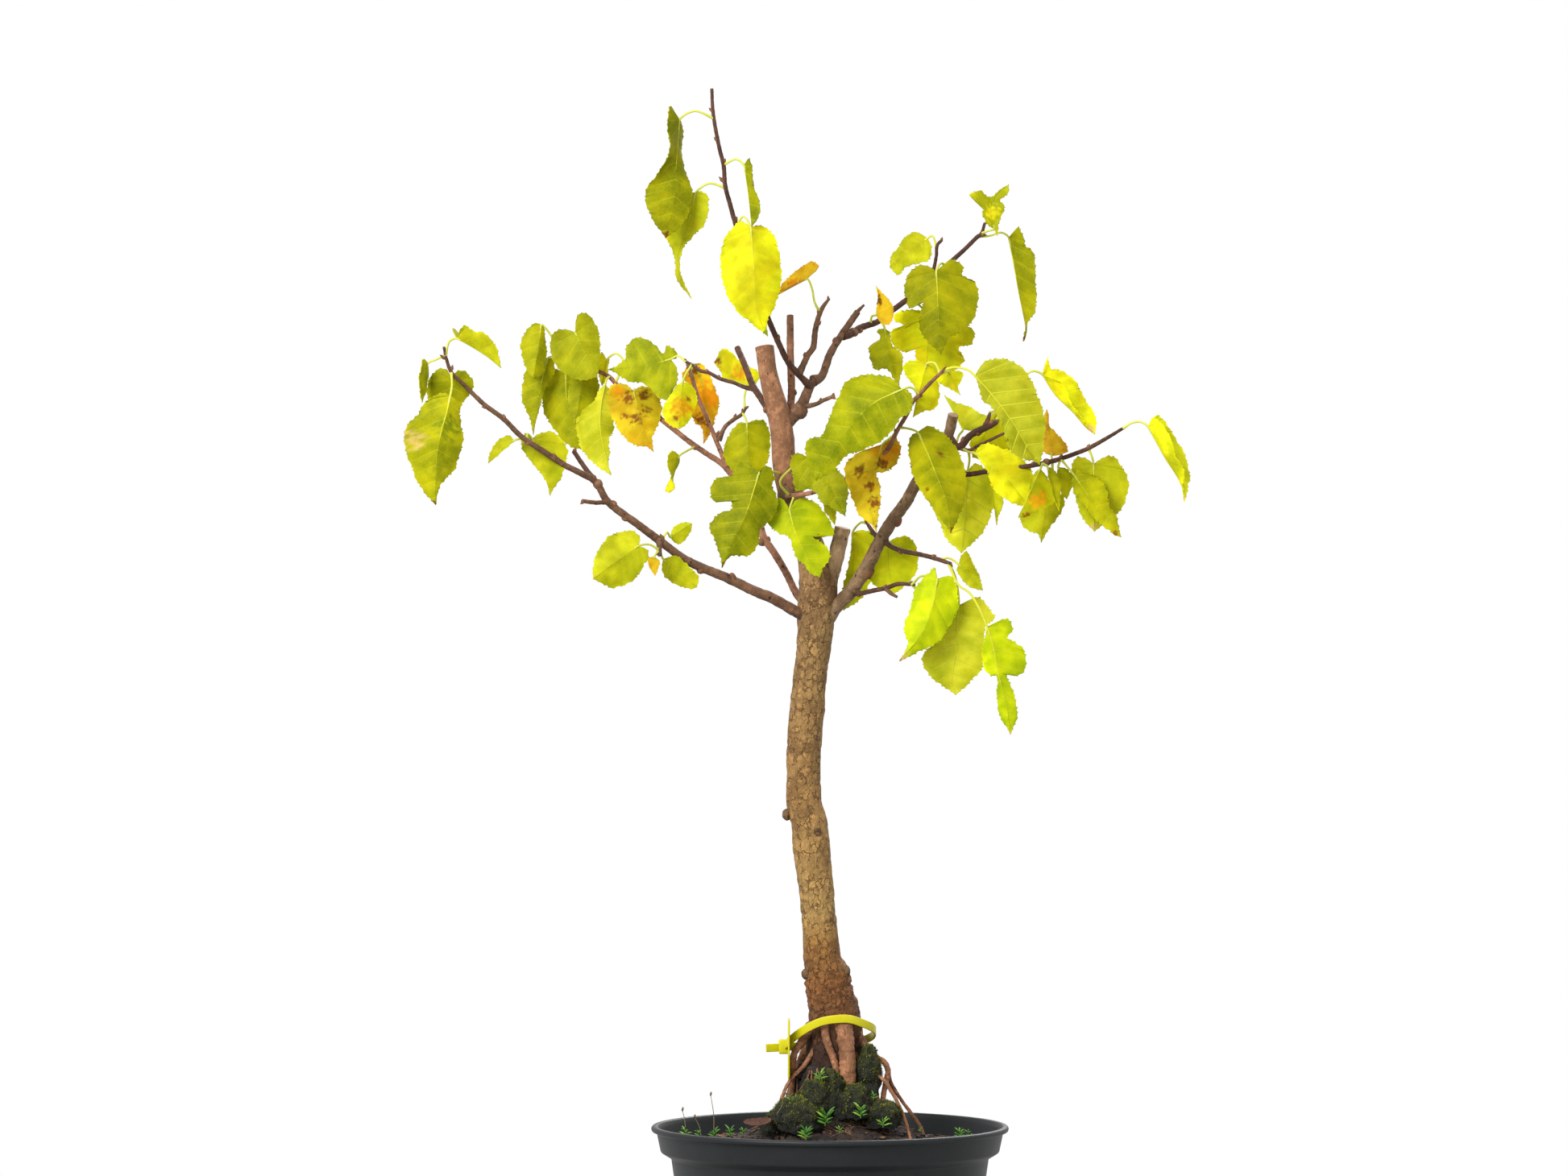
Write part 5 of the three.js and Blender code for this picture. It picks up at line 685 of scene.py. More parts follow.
# Leaves: the stalk leaves a limb, arches over and carries a blade that hangs from its base. base is
# x, z and depth past the limb. The rest is measured from the base: tip, rib and margin points are
# right, up and deeper. lift is how much deeper each margin lies, for a point with no depth of its own.
leafTable = [
    dict(node="leaf_top_1", tone="olive", start=("leaderTwig", -73, 803), base=(-93.5, 802, -4),
         tip=(-8.5, -73.5, 2), arch=[(-84, 807.5)], rib=[(-2, -27, 0), (-3, -50, 0)], lift=(-3, 3),
         left=[(-6.5, 9, -8), (-7, -7, -12), (-5.5, -15.5, -12), (-14, -33, -5), (-21.5, -46),
               (-17.5, -61)],
         right=[(1, -1.5, 8), (2.5, -9, 12), (2, -17, 12), (4.5, -35.5, 6), (8.5, -44), (6, -58), (0, -68)]),
    dict(node="leaf_top_2", tone="lime", start=("leaderTwig", -66.5, 759.5), base=(-83, 757, 4),
         tip=(-3, -66, 8), arch=[(-75, 762.5)],
         rib=[(-3, -11.5, 2), (-6.5, -25.5, 5), (-11, -39, 7), (-10.5, -52, 8)], lift=(10, -3),
         left=[(-8, -2), (-17, -12), (-19.5, -24), (-18.5, -29.5), (-13.5, -42), (-11.5, -55)],
         right=[(3, 1), (7.5, -2), (8, -10), (6, -20), (-1.5, -27.5), (-8, -34.5), (-9, -50)]),
    dict(node="leaf_top_3", tone="green", start=("leaderTwig", -64.5, 774.5), base=(-53, 773.5, -4),
         tip=(4.5, -38, -4), arch=[(-58, 777.5)], rib=[(2.5, -17, -2)],
         left=[(2, 3, 6), (4.5, -6, 12), (5.5, -15, 13), (7, -25, 9)],
         right=[(3, 5, -3), (5.5, -6, -7), (6.5, -15, -8), (10, -25, -8), (9.5, -31, -6)]),
    dict(node="leaf_top_4", tone="yellow", start=("leaderTwig", -58, 736), base=(-49, 735, -10),
         tip=(10.5, -67.5, -4), arch=[(-54, 742, -2)], rib=[(1, -15, -3), (2.5, -35, -5), (4, -52, -5)],
         lift=(3, 5),
         left=[(-6, 4.5), (-16, -5), (-19.5, -18), (-18, -33.5), (-10, -51), (1.5, -61)],
         right=[(5, 2), (13, -2.5), (19, -20), (19, -34), (15, -50), (10.5, -58.5)]),
    dict(node="leaf_top_5", tone="amber", start=("crownTwig", -7.5, 683), base=(-14, 703.5, -2),
         tip=(-22, -12, 4), arch=[(-9.5, 689), (-11, 697)], lift=(2, -9),
         left=[(4, 4), (7.5, 7), (4, 11), (-6, 6), (-14, -1)],
         right=[(-3, -1), (-8, -2.5), (-14, -7)]),
    dict(node="leaf_upper_right_1", tone="lime", start=("upperRight", 94, 731.5), base=(102, 734.5, -8),
         tip=(9, 27.5, 2), arch=[(98, 733)], rib=[(-2, 12, -1), (1, 20, 0)], lift=(-5, -4),
         left=[(-4, 2), (-8, 10), (-6, 14), (-16, 21), (-9, 24), (-3, 20), (4, 25)],
         right=[(2, -4.5), (3.5, 4.5), (7, 14), (4, 17), (9, 22)]),
    dict(node="leaf_upper_right_2", tone="olive", start=("upperRight", 92, 729.5), base=(111, 729, 6),
         tip=(9, -64.5, 4), arch=[(99, 730, 4), (106.5, 732, 6)],
         rib=[(3, -15, 0), (6, -32.5, 0), (10, -52.5, 2), (11, -58, 3)],
         left=[(2, -6, 10), (5, -15, 16), (9, -30, 16), (12, -45, 10)],
         right=[(5, 3.5, -5), (6.5, 7.5, -7), (10, -1, -8), (10.5, -5, -8), (15, -9, -10), (17, -20, -10),
                (16.5, -45, -8), (12, -54, -2)]),
    dict(node="leaf_upper_right_3", tone="lime", start=("upperRightSpur", 66.5, 723),
         base=(60.5, 728.5, 4), tip=(-23.5, -18, -6), arch=[(63.5, 730)], lift=(4, -3),
         left=[(-4, 2.5), (-8, 4.5), (-15, 0), (-19, -6), (-23, -11)],
         right=[(3, -6), (1, -14), (-5, -16), (-13, -18), (-18, -23.5)]),
    dict(node="leaf_upper_right_4", tone="olive", start=("upperRight", 72, 711), base=(66, 708, -14),
         tip=(3, -51.5, -4), arch=[(69, 713)], rib=[(1, -20, -3), (1.5, -38, -4)], lift=(5, 6),
         left=[(-5, 3.5), (-12, 4), (-19, -4), (-20.5, -12), (-17, -23), (-9, -20), (-11.5, -31),
               (-8.5, -41)],
         right=[(6, 5.5), (10, 8), (17, 3), (17, -2), (25, -7), (26.5, -15), (23, -31), (16, -38),
                (9, -42)]),
    dict(node="leaf_upper_right_5", tone="yellow", start=("upperRight", 48, 690.5), base=(61, 680.5, 6),
         tip=(-2, -42, 8), arch=[(54, 688)], rib=[(0, -16, 2), (-1, -30, 5)], lift=(2, 6),
         left=[(-8, 4), (-20, 2), (-22, -3), (-14, -7), (-23, -9), (-23, -18), (-15, -23), (-9, -20),
               (-8, -32)],
         right=[(12, -3), (24, -6), (29, -10), (27, -18), (20, -20), (23, -28), (17, -34), (7, -38)]),
    dict(node="leaf_upper_right_6", tone="amber", start=("upperRight", 25, 675.5), base=(28.5, 681, -10),
         tip=(0, 18, -2), arch=[(26, 680)], rib=[(3, 5, -1)], lift=(-3, -3),
         left=[(0, 3), (0.5, 8), (1, 13)],
         right=[(4, -6), (8.5, -6), (11, -1), (11, 5), (7, 11), (3, 15)]),
    dict(node="leaf_upper_right_7", tone="olive", start=("upperRight", 31, 677.5), base=(34, 672.5, -6),
         tip=(9, -35, -2), arch=[(33, 675)], rib=[(3, -17, -1)], lift=(3, -5),
         left=[(-5, -1), (-3, -8), (-10, -11), (-9.5, -19), (-6, -26), (1, -25.5), (5, -31)],
         right=[(3, -2), (5, -10), (11, -16), (11.5, -25), (9.5, -31)]),
    dict(node="leaves_front_tip", tone="yellow", start=("frontTwig", 68.5, 644.5), base=(60, 650.5, 14),
         tip=(-8.5, -33, 6), arch=[(65, 651)], lift=(4, 6),
         left=[(-8, 3), (-15, -1), (-13, -8), (-8, -14), (-7, -22)],
         right=[(6, -4), (8, -14), (8.5, -20), (5, -28), (-2, -30)]),
    dict(node="leaves_front_tip", tone="yellow", start=("frontTwig", 68.5, 644.5), base=(74, 645.5, 10),
         tip=(7, -14.5, 2), lift=(2, 2),
         left=[(-7, -1), (-7.5, -6), (-2, -9.5), (3, -12)],
         right=[(5, 1), (8.5, 0), (8, -5), (5.5, -9)]),
    dict(node="leaf_right_1", tone="pale", start=("frontTwig", 70.5, 646.5), base=(90, 643, -2),
         tip=(40, -55, 2), arch=[(77.5, 648.5), (86, 646.5)],
         rib=[(12.5, -14, -1), (25, -31.5, 0), (33, -45, 1)], lift=(-9, -3),
         left=[(2, -7), (4, -14.5), (10, -20), (17, -33), (22, -47), (30, -52.5), (36, -53)],
         right=[(2.5, 4.5), (6, 9.5), (15, 11.5), (25, 9), (33, 2), (38, -8), (44, -27), (43.5, -40),
                (42, -50)]),
    dict(node="leaf_right_2", tone="olive", start=("frontTwig", 43, 611), base=(54.5, 608, -4),
         tip=(20.5, -62.5, 4), arch=[(48, 610.5)],
         rib=[(5.5, -11.5, -1), (11.5, -26.5, -1), (16.5, -39, 0), (19.5, -51.5, 2)], lift=(5, 6),
         left=[(-4, -1.5), (-6, -6.5), (-5.5, -16.5), (-4, -26.5), (0.5, -34), (5.5, -42.5),
               (11.5, -51.5), (16.5, -57)],
         right=[(3, 2.5), (7, 4.5), (13, 2), (20.5, -4), (26, -12), (29, -22), (30.5, -32), (30, -42),
                (26, -52)]),
    dict(node="leaf_right_3", tone="pale", start=("greyTwig", 86, 597), base=(85.5, 584, 12),
         tip=(-4, -51, 4), arch=[(86.5, 591, 4)], rib=[(-1, -16, 1), (-2, -34, 2)], lift=(4, 5),
         left=[(-10, 2), (-19, -10), (-21, -25), (-18, -32.5), (-13, -43.5), (-8, -47.5)],
         right=[(4.5, 5), (10.5, 2.5), (16, -7.5), (18, -15), (15.5, -25), (12, -35), (7, -41.5)]),
    dict(node="leaf_right_4", tone="pale", start=("darkSpur", 78.5, 600.5), base=(82.5, 610, 14),
         tip=(-11.5, 21, 4), arch=[(80, 606, 6)], lift=(8, 2),
         left=[(-1.5, 7), (-5.5, 14)],
         right=[(7, -1), (15, 3), (17.5, 7.5), (10, 10.5), (5, 14), (-4, 17)]),
    dict(node="leaf_right_5", tone="yellow", start=("darkSpurFork", 99.5, 620.5), base=(104, 621.5, 6),
         tip=(-15.5, -29, 10), lift=(2, 4),
         left=[(-5, -3, 4), (-14, -12, 9), (-17.5, -20, 10)],
         right=[(5, -4), (9, -14), (9, -24), (0, -29), (-8, -31)]),
    dict(node="leaf_right_6", tone="yellow", start=("greyTwig", 83, 597.5), base=(90, 595, -18),
         tip=(33, -32, -8), arch=[(86, 596, -8)], rib=[(10, -8, -3), (20, -16, -5)], lift=(-6, 5),
         left=[(3, -5), (8, -13), (9, -19), (14, -25), (21, -30.5), (27, -32.5)],
         right=[(2, 4), (7, 7), (14, 4.5), (25, 0.5), (33, -6), (37, -15), (36.5, -23), (34.5, -29)]),
    dict(node="leaf_right_7", tone="lime", start=("farRight", 101, 584.5), base=(101, 579, 4),
         tip=(2.5, -28.5, 0),
         left=[(-1, -8, 6), (1, -18, 6)],
         right=[(5, -6, -4), (7, -15, -5), (4, -22, -3)]),
    dict(node="leaves_right_8", tone="olive", start=("farRight", 132, 588.5), base=(130.5, 585.5, -10),
         tip=(-13.5, -30.5, -3), lift=(2, 3),
         left=[(-3, -2), (-6, -10), (-8, -20), (-12, -26)],
         right=[(5, -6), (8, -14), (9, -20), (5, -24), (-2, -26), (-8, -30)]),
    dict(node="leaves_right_8", tone="olive", start=("farRight", 132, 588.5), base=(135, 586.5, -16),
         tip=(7, -27, -3), lift=(-3, 3),
         left=[(0, -4), (2, -13), (4, -20)],
         right=[(3.5, -1), (7, -6), (8.5, -14), (8, -21)]),
    dict(node="leaves_right_9", tone="lime", start=("farRight", 138, 590), base=(135, 569, 8),
         tip=(-4, -29.5, 2), arch=[(138, 580, 6)], lift=(3, 3),
         left=[(-8, -3), (-15, -9), (-17, -17), (-12, -22.5), (-6, -24.5)],
         right=[(7, 2), (11, -2), (9, -10), (6, -15), (2, -20)]),
    dict(node="leaves_right_9", tone="amber", start=("farRight", 138, 590), base=(137.5, 593.5, 6),
         tip=(-3, 29, 8), lift=(3, 3),
         left=[(-6, 3), (-8, 12), (-6, 22)],
         right=[(7.5, 1), (10.5, 3), (7.5, 10), (1.5, 16), (-1.5, 19), (-1.5, 25)]),
    dict(node="leaf_right_11", tone="lime", start=("farRight", 160.5, 598), base=(163.5, 588, 4),
         tip=(0.5, -41.5, 4), arch=[(162.5, 593, 1)], rib=[(0.5, -20, 1)], lift=(4, 5),
         left=[(-3.5, 3.5), (-9.5, 5.5), (-13.5, 1), (-14.5, -6.5), (-12, -16.5), (-10, -26.5), (-7, -34)],
         right=[(4, 3.5), (11.5, 6), (19, -2.5), (22.5, -10.5), (20.5, -20.5), (17.5, -28), (8, -36.5)]),
    dict(node="leaves_right_12", tone="olive", start=("farRight", 143, 592), base=(151.5, 581.5, -8),
         tip=(29, -38.5, -4), arch=[(147, 587, -4)], rib=[(8, -12, -2), (16, -21, -3), (23.5, -29, -4)],
         lift=(-3, 3),
         left=[(-2, -5), (0, -12), (6, -20), (14, -29), (20, -34), (25, -37.5)],
         right=[(2, 3.5), (6, 2), (12.5, 0), (18.5, -5), (21, -11), (22.5, -19), (26.5, -25), (28, -32.5)]),
    dict(node="leaves_right_12", tone="olive", start=("farRight", 143, 592), base=(141.5, 586.5, 1),
         tip=(5.5, -20, 3), lift=(0, 0),
         left=[(-1, -4), (0, -12), (2, -17)],
         right=[(6, -1), (9, -6), (9, -12), (7, -17)]),
    dict(node="leaf_right_13", tone="lime", start=("farRight", 182, 610.5), base=(197.5, 611.5, -5),
         tip=(22.5, -46.5, -6), arch=[(187.5, 614, -2), (193, 614.5, -3)],
         rib=[(5, -9, -1), (11, -20, -2), (17.5, -30, -3), (21, -37.5, -5)],
         left=[(3, 6, -5), (8, 3, -9), (14, -8, -13), (18, -18, -14), (22, -27, -12), (22, -36, -8)],
         right=[(5, 8, 3), (8, 6, 5), (16.5, -5, 8), (21.5, -15, 9), (25, -25, 7), (26.5, -31, 3),
                (25, -38, -1)]),
    dict(node="leaf_right_14", tone="yellow", start=("darkSpur", 102.5, 614), base=(132, 644, 8),
         tip=(32.5, -37, 2), arch=[(113, 632, 4), (125, 646, 6)],
         rib=[(8, -12.5, 0), (19, -23.5, 0), (28, -34, 1)],
         left=[(5, -1, -5), (10.5, -4, -9), (15, -11, -9), (19, -18.5, -7), (24, -27, -4)],
         right=[(3, 11, 2), (5, 4, 4), (10, 3.5, 7), (15.5, 1, 9), (22, -6.5, 10), (25.5, -13.5, 10),
                (29.5, -19, 8), (33, -25, 6), (33.5, -32, 4)]),
    dict(node="leaf_centre_1", tone="green", start=("frontTwig", 55.5, 632), base=(44.5, 634.5, -6),
         tip=(-53, -56.5, 20), arch=[(50, 636)], rib=[(-17, -8, 3), (-29.5, -20.5, 7), (-42, -38, 13)],
         lift=(4, -3),
         left=[(-5, 7), (-20, 10), (-34, 6), (-39.5, -3), (-45, -15.5), (-49.5, -28), (-58, -30.5),
               (-60.5, -36), (-59.5, -44), (-57, -51)],
         right=[(4, 0), (7.5, -6), (6, -14), (0, -18), (-4, -24), (-12, -32), (-24, -38), (-35, -42),
                (-41, -50)]),
    dict(node="leaf_centre_2", tone="green", start=("frontTwig", -25, 568.5), base=(-14, 592.5, -38),
         tip=(23.5, -36.5, -14), arch=[(-31, 577, -14), (-26, 584, -24)],
         rib=[(8, -10, -5), (16, -22, -9)], lift=(-3, -3),
         left=[(-6, 3), (-10, 1.5), (-11, -5), (-9.5, -12), (-7.5, -21), (3, -20.5), (8, -28),
               (15.5, -32.5)],
         right=[(6, 2), (16, -4), (23, -12), (26, -19), (25.5, -26)]),
    dict(node="leaf_centre_3", tone="green", start=("trunk", -28, 582), base=(-44, 582.5, -26),
         tip=(-23, -58.5, -4), arch=[(-37, 584, -16)],
         rib=[(-3.5, -11, -2), (-8.5, -26, -4), (-16, -41, -5)], lift=(4, 4),
         left=[(-7, 6.5), (-12, 7.5), (-18, -1), (-27, -3), (-30.5, -10), (-29, -17.5), (-19, -17),
               (-18, -22), (-25, -24.5), (-31, -32), (-28, -42), (-25, -50)],
         right=[(3, 5), (7.5, 4), (10.5, -4), (8.5, -6), (12, -17), (9.5, -27), (1, -36), (0, -44),
                (-7, -51.5), (-17, -51.5), (-20, -54)]),
    dict(node="leaf_centre_4", tone="bright", start=("frontTwig", -22, 569), base=(-25, 560, -3),
         tip=(19, -42, -8), rib=[(2.5, -11, -3), (10, -28.5, -6)], lift=(3, 3),
         left=[(-3, 5.5), (-6, 8), (-11, 3), (-13.5, -9), (-8, -14.5), (0, -18), (3, -29), (9, -35),
               (13, -40)],
         right=[(3, 5.5), (8, 8), (16, 5), (24, -4), (28, -15.5), (14, -16), (22, -21), (26, -29),
                (21.5, -36)]),
    dict(node="leaf_centre_5", tone="spotted", start=("frontTwig", 41.5, 609.5), base=(32.5, 600.5, 12),
         tip=(-3.5, -54.5, 10), arch=[(38, 605, 5)], rib=[(-3.5, -11.5, 2), (-7, -24, 5), (-7, -40, 8)],
         lift=(4, -3),
         left=[(-7, -2), (-15, -5), (-22, -10), (-24, -17), (-21.5, -27), (-18, -37), (-13.5, -45.5),
               (-7, -50)],
         right=[(6.5, 5.5), (11, 2), (11.5, -6.5), (7.5, -14), (1.5, -17.5), (-3, -18), (-1, -25),
                (-0.5, -35), (-2, -45)]),
    dict(node="leaf_centre_6", tone="olive", start=("frontTwig", 5, 577), base=(-1, 570.5, 12),
         tip=(4, -20, 2), lift=(1, 1),
         left=[(-3, -5), (-3, -10), (0, -15)],
         right=[(4, -4), (5, -10), (5, -15)]),
    dict(node="leaf_centre_7", tone="lime", start=("innerSpur", 23, 552), base=(14, 545.5, 22),
         tip=(-5.5, -48, 0), arch=[(19, 552, 8)], rib=[(0, -16, 1), (-1, -32, 1)], lift=(2, 3),
         left=[(-1, -5), (-2, -15), (-5, -27), (-7.5, -38)],
         right=[(4, 2), (12, 1), (17, -8), (15, -22), (9, -36), (5, -42)]),
    dict(node="leaf_centre_8", tone="lime", start=("lowerRightTwig", 35, 540), base=(36, 539.5, 14),
         tip=(3, -32, 2), arch=[(36, 542, 6)], rib=[(0.5, -16, 1)], lift=(2, 3),
         left=[(-4, 3), (-10, -1), (-14, -10), (-14, -20), (-8, -27), (-2, -30)],
         right=[(4, 3), (11.5, 4.5), (17, 0), (19, -8), (18, -18), (13, -25), (7, -30)]),
    dict(node="leaf_low_right_1", tone="lime", start=("lowerRightTwig", 68, 529.5), base=(80, 526, -4),
         tip=(15, -16, -4), arch=[(74, 530)], lift=(-2, 4),
         left=[(-1.5, -3), (0, -7), (3.5, -11.5), (8.5, -15)],
         right=[(1, 5), (3, 8), (5, 8.5), (8, 3), (13, -7)]),
    dict(node="leaves_low_right_2", tone="bright", start=("lowestRightTwig", 51, 513.5),
         base=(66.5, 517, -16), tip=(-23.5, -51, 0), arch=[(57, 519, -8)],
         rib=[(-2.5, -15.5, -2), (-9, -33, -2)], lift=(5, 4),
         left=[(-2, 8), (-5, 5), (-12, -3), (-15, -9), (-17.5, -19), (-21, -31), (-19, -39), (-20, -44)],
         right=[(4.5, 1.5), (10, 2), (13.5, -13), (13, -20), (8, -30), (1, -39), (-8, -44), (-16, -48)]),
    dict(node="leaves_low_right_3", tone="pale", start=("lowerRightTwig", 73.5, 527),
         base=(80, 500.5, 10), tip=(-2, -55.5, 6), arch=[(77.5, 519, 5), (79.5, 509, 8)],
         rib=[(-1, -12, 1), (-2.5, -32, 3), (-4, -44, 4)], lift=(-3, -4),
         left=[(-4, -3), (-9, -12), (-14, -20), (-21, -28), (-23.5, -33), (-20, -42), (-12.5, -49),
               (-6, -53)],
         right=[(4, 1.5), (9, 5), (13, 6), (18, 0), (23, -7), (17, -14), (16, -26), (15.5, -38),
                (10, -45), (3, -52)]),
    dict(node="leaves_low_right_3", tone="bright", start=("lowerRightTwig", 73.5, 527),
         base=(97.5, 487.5, -8), tip=(14.5, -67, 6), arch=[(80, 513, -5), (86, 509, -6), (92, 500, -8)],
         rib=[(3.5, -11, 0), (7.5, -31, 1), (12.5, -51, 3)], lift=(5, 5),
         left=[(-1.5, -6), (-3.5, -14), (-2, -25), (2.5, -31), (5, -30), (6, -42), (8, -57), (11.5, -62)],
         right=[(5, 1.5), (10, 5), (14, 5), (16.5, -2), (12.5, -7), (18, -10), (23, -14), (25, -21),
                (23, -29), (20, -31), (12.5, -29.5), (15.5, -38), (19.5, -53), (18, -60)]),
    dict(node="leaves_low_right_2", tone="bright", start=("lowestRightTwig", 51, 513.5),
         base=(73, 491, 8), tip=(-5, -18, 2), arch=[(60, 503, 2)], lift=(1, 1),
         left=[(-4, -6), (-5, -12)],
         right=[(3, -6), (2.5, -13)]),
    dict(node="leaves_left_1", tone="lime", start=("lowerLeft", -238.5, 656), base=(-231.5, 666.5, -6),
         tip=(27.5, -18.5, -4), arch=[(-236, 664.5)], rib=[(9, -5, -1), (19, -11.5, -2)],
         left=[(-3, 6.5, 4), (5, -1, 8), (14, -5, 10), (22, -11, 6)],
         right=[(2, 4, -3), (2.5, 7.5, -5), (6, 8.5, -6), (10.5, 4.5, -6), (16.5, 4, -8), (20.5, 1, -8),
                (24, -4, -8), (26.5, -11, -6)]),
    dict(node="leaves_left_1", tone="lime", start=("lowerLeft", -238.5, 656), base=(-249.5, 651, 4),
         tip=(-3.5, -24.5, -1), arch=[(-244, 653.5)], rib=[(-1, -10, 0)],
         left=[(-3, 3, -4), (-5, -5, -7), (-5.5, -15, -6)],
         right=[(0, -3, 7), (0, -12, 9), (-2, -20, 5)]),
    dict(node="leaves_left_3", tone="olive", start=("lowerLeft", -234.5, 645.5), base=(-234.5, 641, 7),
         tip=(-1, -30, 6), lift=(3, 3),
         left=[(-4, 7), (-8, 7), (-12, 4), (-15, -1), (-16, -10), (-13, -20), (-7, -27)],
         right=[(3, 5.5), (7, 6), (11, 3), (14, -3), (11, -10), (7, -15), (4, -23)]),
    dict(node="leaves_left_3", tone="olive", start=("lowerLeft", -234.5, 645.5), base=(-235.5, 631, -8),
         tip=(-9, -68, 4), arch=[(-234.5, 637, -6)],
         rib=[(-2, -9.5, -2), (-5.5, -22, -2), (-8, -34.5, -1), (-9, -49.5, 1)], lift=(6, 5),
         left=[(-4.5, 2), (-10, 0), (-17, -5), (-21, -12), (-27.5, -19.5), (-29, -25), (-28.5, -34.5),
               (-24.5, -44.5), (-19.5, -56), (-13, -64.5)],
         right=[(2, -1), (5, -5), (7, -15), (8, -28.5), (6.5, -36), (3, -47), (-3, -52), (-7.5, -60)]),
    dict(node="leaves_left_4", tone="lime", start=("lowerLeft", -188.5, 602.5), base=(-196, 603, 2),
         tip=(-16, -14, -3), arch=[(-192, 604, 1)], lift=(2, -4),
         left=[(-3, 3.5), (-8, 2), (-12.5, -2.5), (-15.5, -8)],
         right=[(-1, -1), (-5, -5), (-11, -10)]),
    dict(node="leaves_left_4", tone="lime", start=("lowerLeft", -188.5, 602.5), base=(-184.5, 604, 8),
         tip=(11, -35.5, 2), arch=[(-187.5, 607, 5)], rib=[(4.5, -10, 1), (8.5, -22.5, 1)], lift=(3, 4),
         left=[(-3, 4), (-6.5, 2.5), (-7.5, -2.5), (-5.5, -8.5), (0, -16), (5.5, -22.5), (9.5, -29)],
         right=[(3, 3), (12, 5), (20, -2), (22.5, -8), (20, -18), (17.5, -26), (13, -31.5)]),
    dict(node="leaves_left_5", tone="olive", start=("midLeft", -169.5, 656.5), base=(-179, 675, -8),
         tip=(-5, -34, -4), arch=[(-173, 668, -4)], lift=(4, 5),
         left=[(-4, 1), (-9.5, -3), (-13, -11), (-12.5, -20), (-9.5, -28)],
         right=[(1.5, -2), (3, -10), (3, -22), (1, -31)]),
    dict(node="leaves_left_5", tone="olive", start=("midLeft", -169.5, 656.5), base=(-175, 654, 0),
         tip=(-9, -47.5, 2), rib=[(-5, -20, 1)], lift=(4, 3),
         left=[(-6, 2), (-13, -5), (-16.5, -17), (-16, -27), (-12, -37)],
         right=[(4, 0), (4, -10), (-2, -22), (-5, -32), (-8, -42)]),
    dict(node="leaf_left_6", tone="lime", start=("midLeft", -158, 651), base=(-158, 670, -20),
         tip=(13.5, -28, -4), arch=[(-159, 662, -12)], rib=[(4, -9, -2), (9, -18, -3)], lift=(5, 4),
         left=[(-5, 2), (-11, 2), (-15.5, -3), (-15.5, -12), (-12, -21), (-5, -27), (4, -30)],
         right=[(0.5, 4), (0.5, 10), (3.5, 12.5), (8, 12), (12, 7), (15, 0), (16, -8), (15.5, -20)]),
    dict(node="leaf_left_7", tone="olive", start=("midLeft", -164, 653.5), base=(-164, 644.5, 12),
         tip=(13, -46.5, -4), arch=[(-164, 650, 9)], rib=[(1, -18, -2), (6, -34, -3)], lift=(5, 3),
         left=[(-6, 3), (-13, -3), (-15, -15), (-12.5, -27), (-6, -37), (-1, -43), (6, -47)],
         right=[(6, 0), (11, -8), (13, -20), (11, -32), (9, -40)]),
    dict(node="leaf_left_8", tone="olive", start=("midLeft", -150, 648), base=(-153, 644, 2),
         tip=(-5, -32, -2), lift=(2, 4),
         left=[(-5, 1), (-9, -6), (-10, -16), (-8, -25)],
         right=[(6, 2), (10, -5), (9, -17), (3, -24), (-2, -29)]),
    dict(node="leaf_left_9", tone="pale", start=("midLeft", -137, 642.5), base=(-139.5, 637.5, -13),
         tip=(3.5, -56, -4), arch=[(-138.5, 641, -10)],
         rib=[(-2.5, -13, -1), (-3, -26, -2), (-1.5, -36, -2)], lift=(5, 4),
         left=[(-4, -3), (-8, -11), (-14.5, -17), (-19, -24), (-18, -30), (-15, -40), (-8, -48.5),
               (-3, -52.5)],
         right=[(3, -3), (5, -12), (6, -22), (6, -28), (3, -34), (3.5, -42), (2, -50)]),
    dict(node="leaf_left_10", tone="yellow", start=("midLeft", -133, 638.5), base=(-138.5, 653, 4),
         tip=(-3, -16, 2), arch=[(-128, 652, 2), (-132.5, 657, 2)], lift=(3, 3),
         left=[(-3, 5), (-5, -3), (-5, -10)],
         right=[(1.5, 2), (1, -6), (1, -11)]),
    dict(node="leaf_left_11", tone="green", start=("upperLeftTwig", -89, 652), base=(-99, 653.5, 6),
         tip=(-38.5, -6.5, 6), arch=[(-94, 655.5)], rib=[(-14, -4, 1), (-27, -5.5, 3)], lift=(4, -5),
         left=[(4, 0.5), (4, 5), (-2, 9), (-5.5, 3.5), (-9, 9), (-16, 13), (-21, 14), (-28, 8), (-28, 2),
               (-32, -3)],
         right=[(4, -5), (5, -12), (2, -20), (-3, -26), (-8, -24), (-16, -16), (-27, -14), (-34, -9)]),
    dict(node="leaf_left_12", tone="spotted", start=("midLeft", -119.5, 628), base=(-121.5, 633, -16),
         tip=(12, -37, -4), arch=[(-121, 635, -8)], rib=[(2.5, -11.5, -2), (5, -23, -3)], lift=(4, 4),
         left=[(-4, 4.5), (-9, 6), (-15, 4), (-17.5, -4), (-15, -13), (-11, -22), (-6, -29), (2, -34),
               (7, -34)],
         right=[(3, 3.5), (8, 4), (14, 0), (17.5, -9), (16, -19), (12, -28)]),
    dict(node="leaf_left_13", tone="yellow", start=("upperLeftTwig", -85.5, 650), base=(-91.5, 639, -6),
         tip=(-2, -29, -2), arch=[(-89, 645, -4)], lift=(3, 3),
         left=[(-3.5, -1.5), (-8, -8), (-12, -15), (-12.5, -21), (-8, -27)],
         right=[(4, 0), (8, -4), (9.5, -11), (7, -19), (3, -26)]),
    dict(node="leaf_left_14", tone="amber", start=("midLeftUpright", -86.5, 646), base=(-84, 650.5, 8),
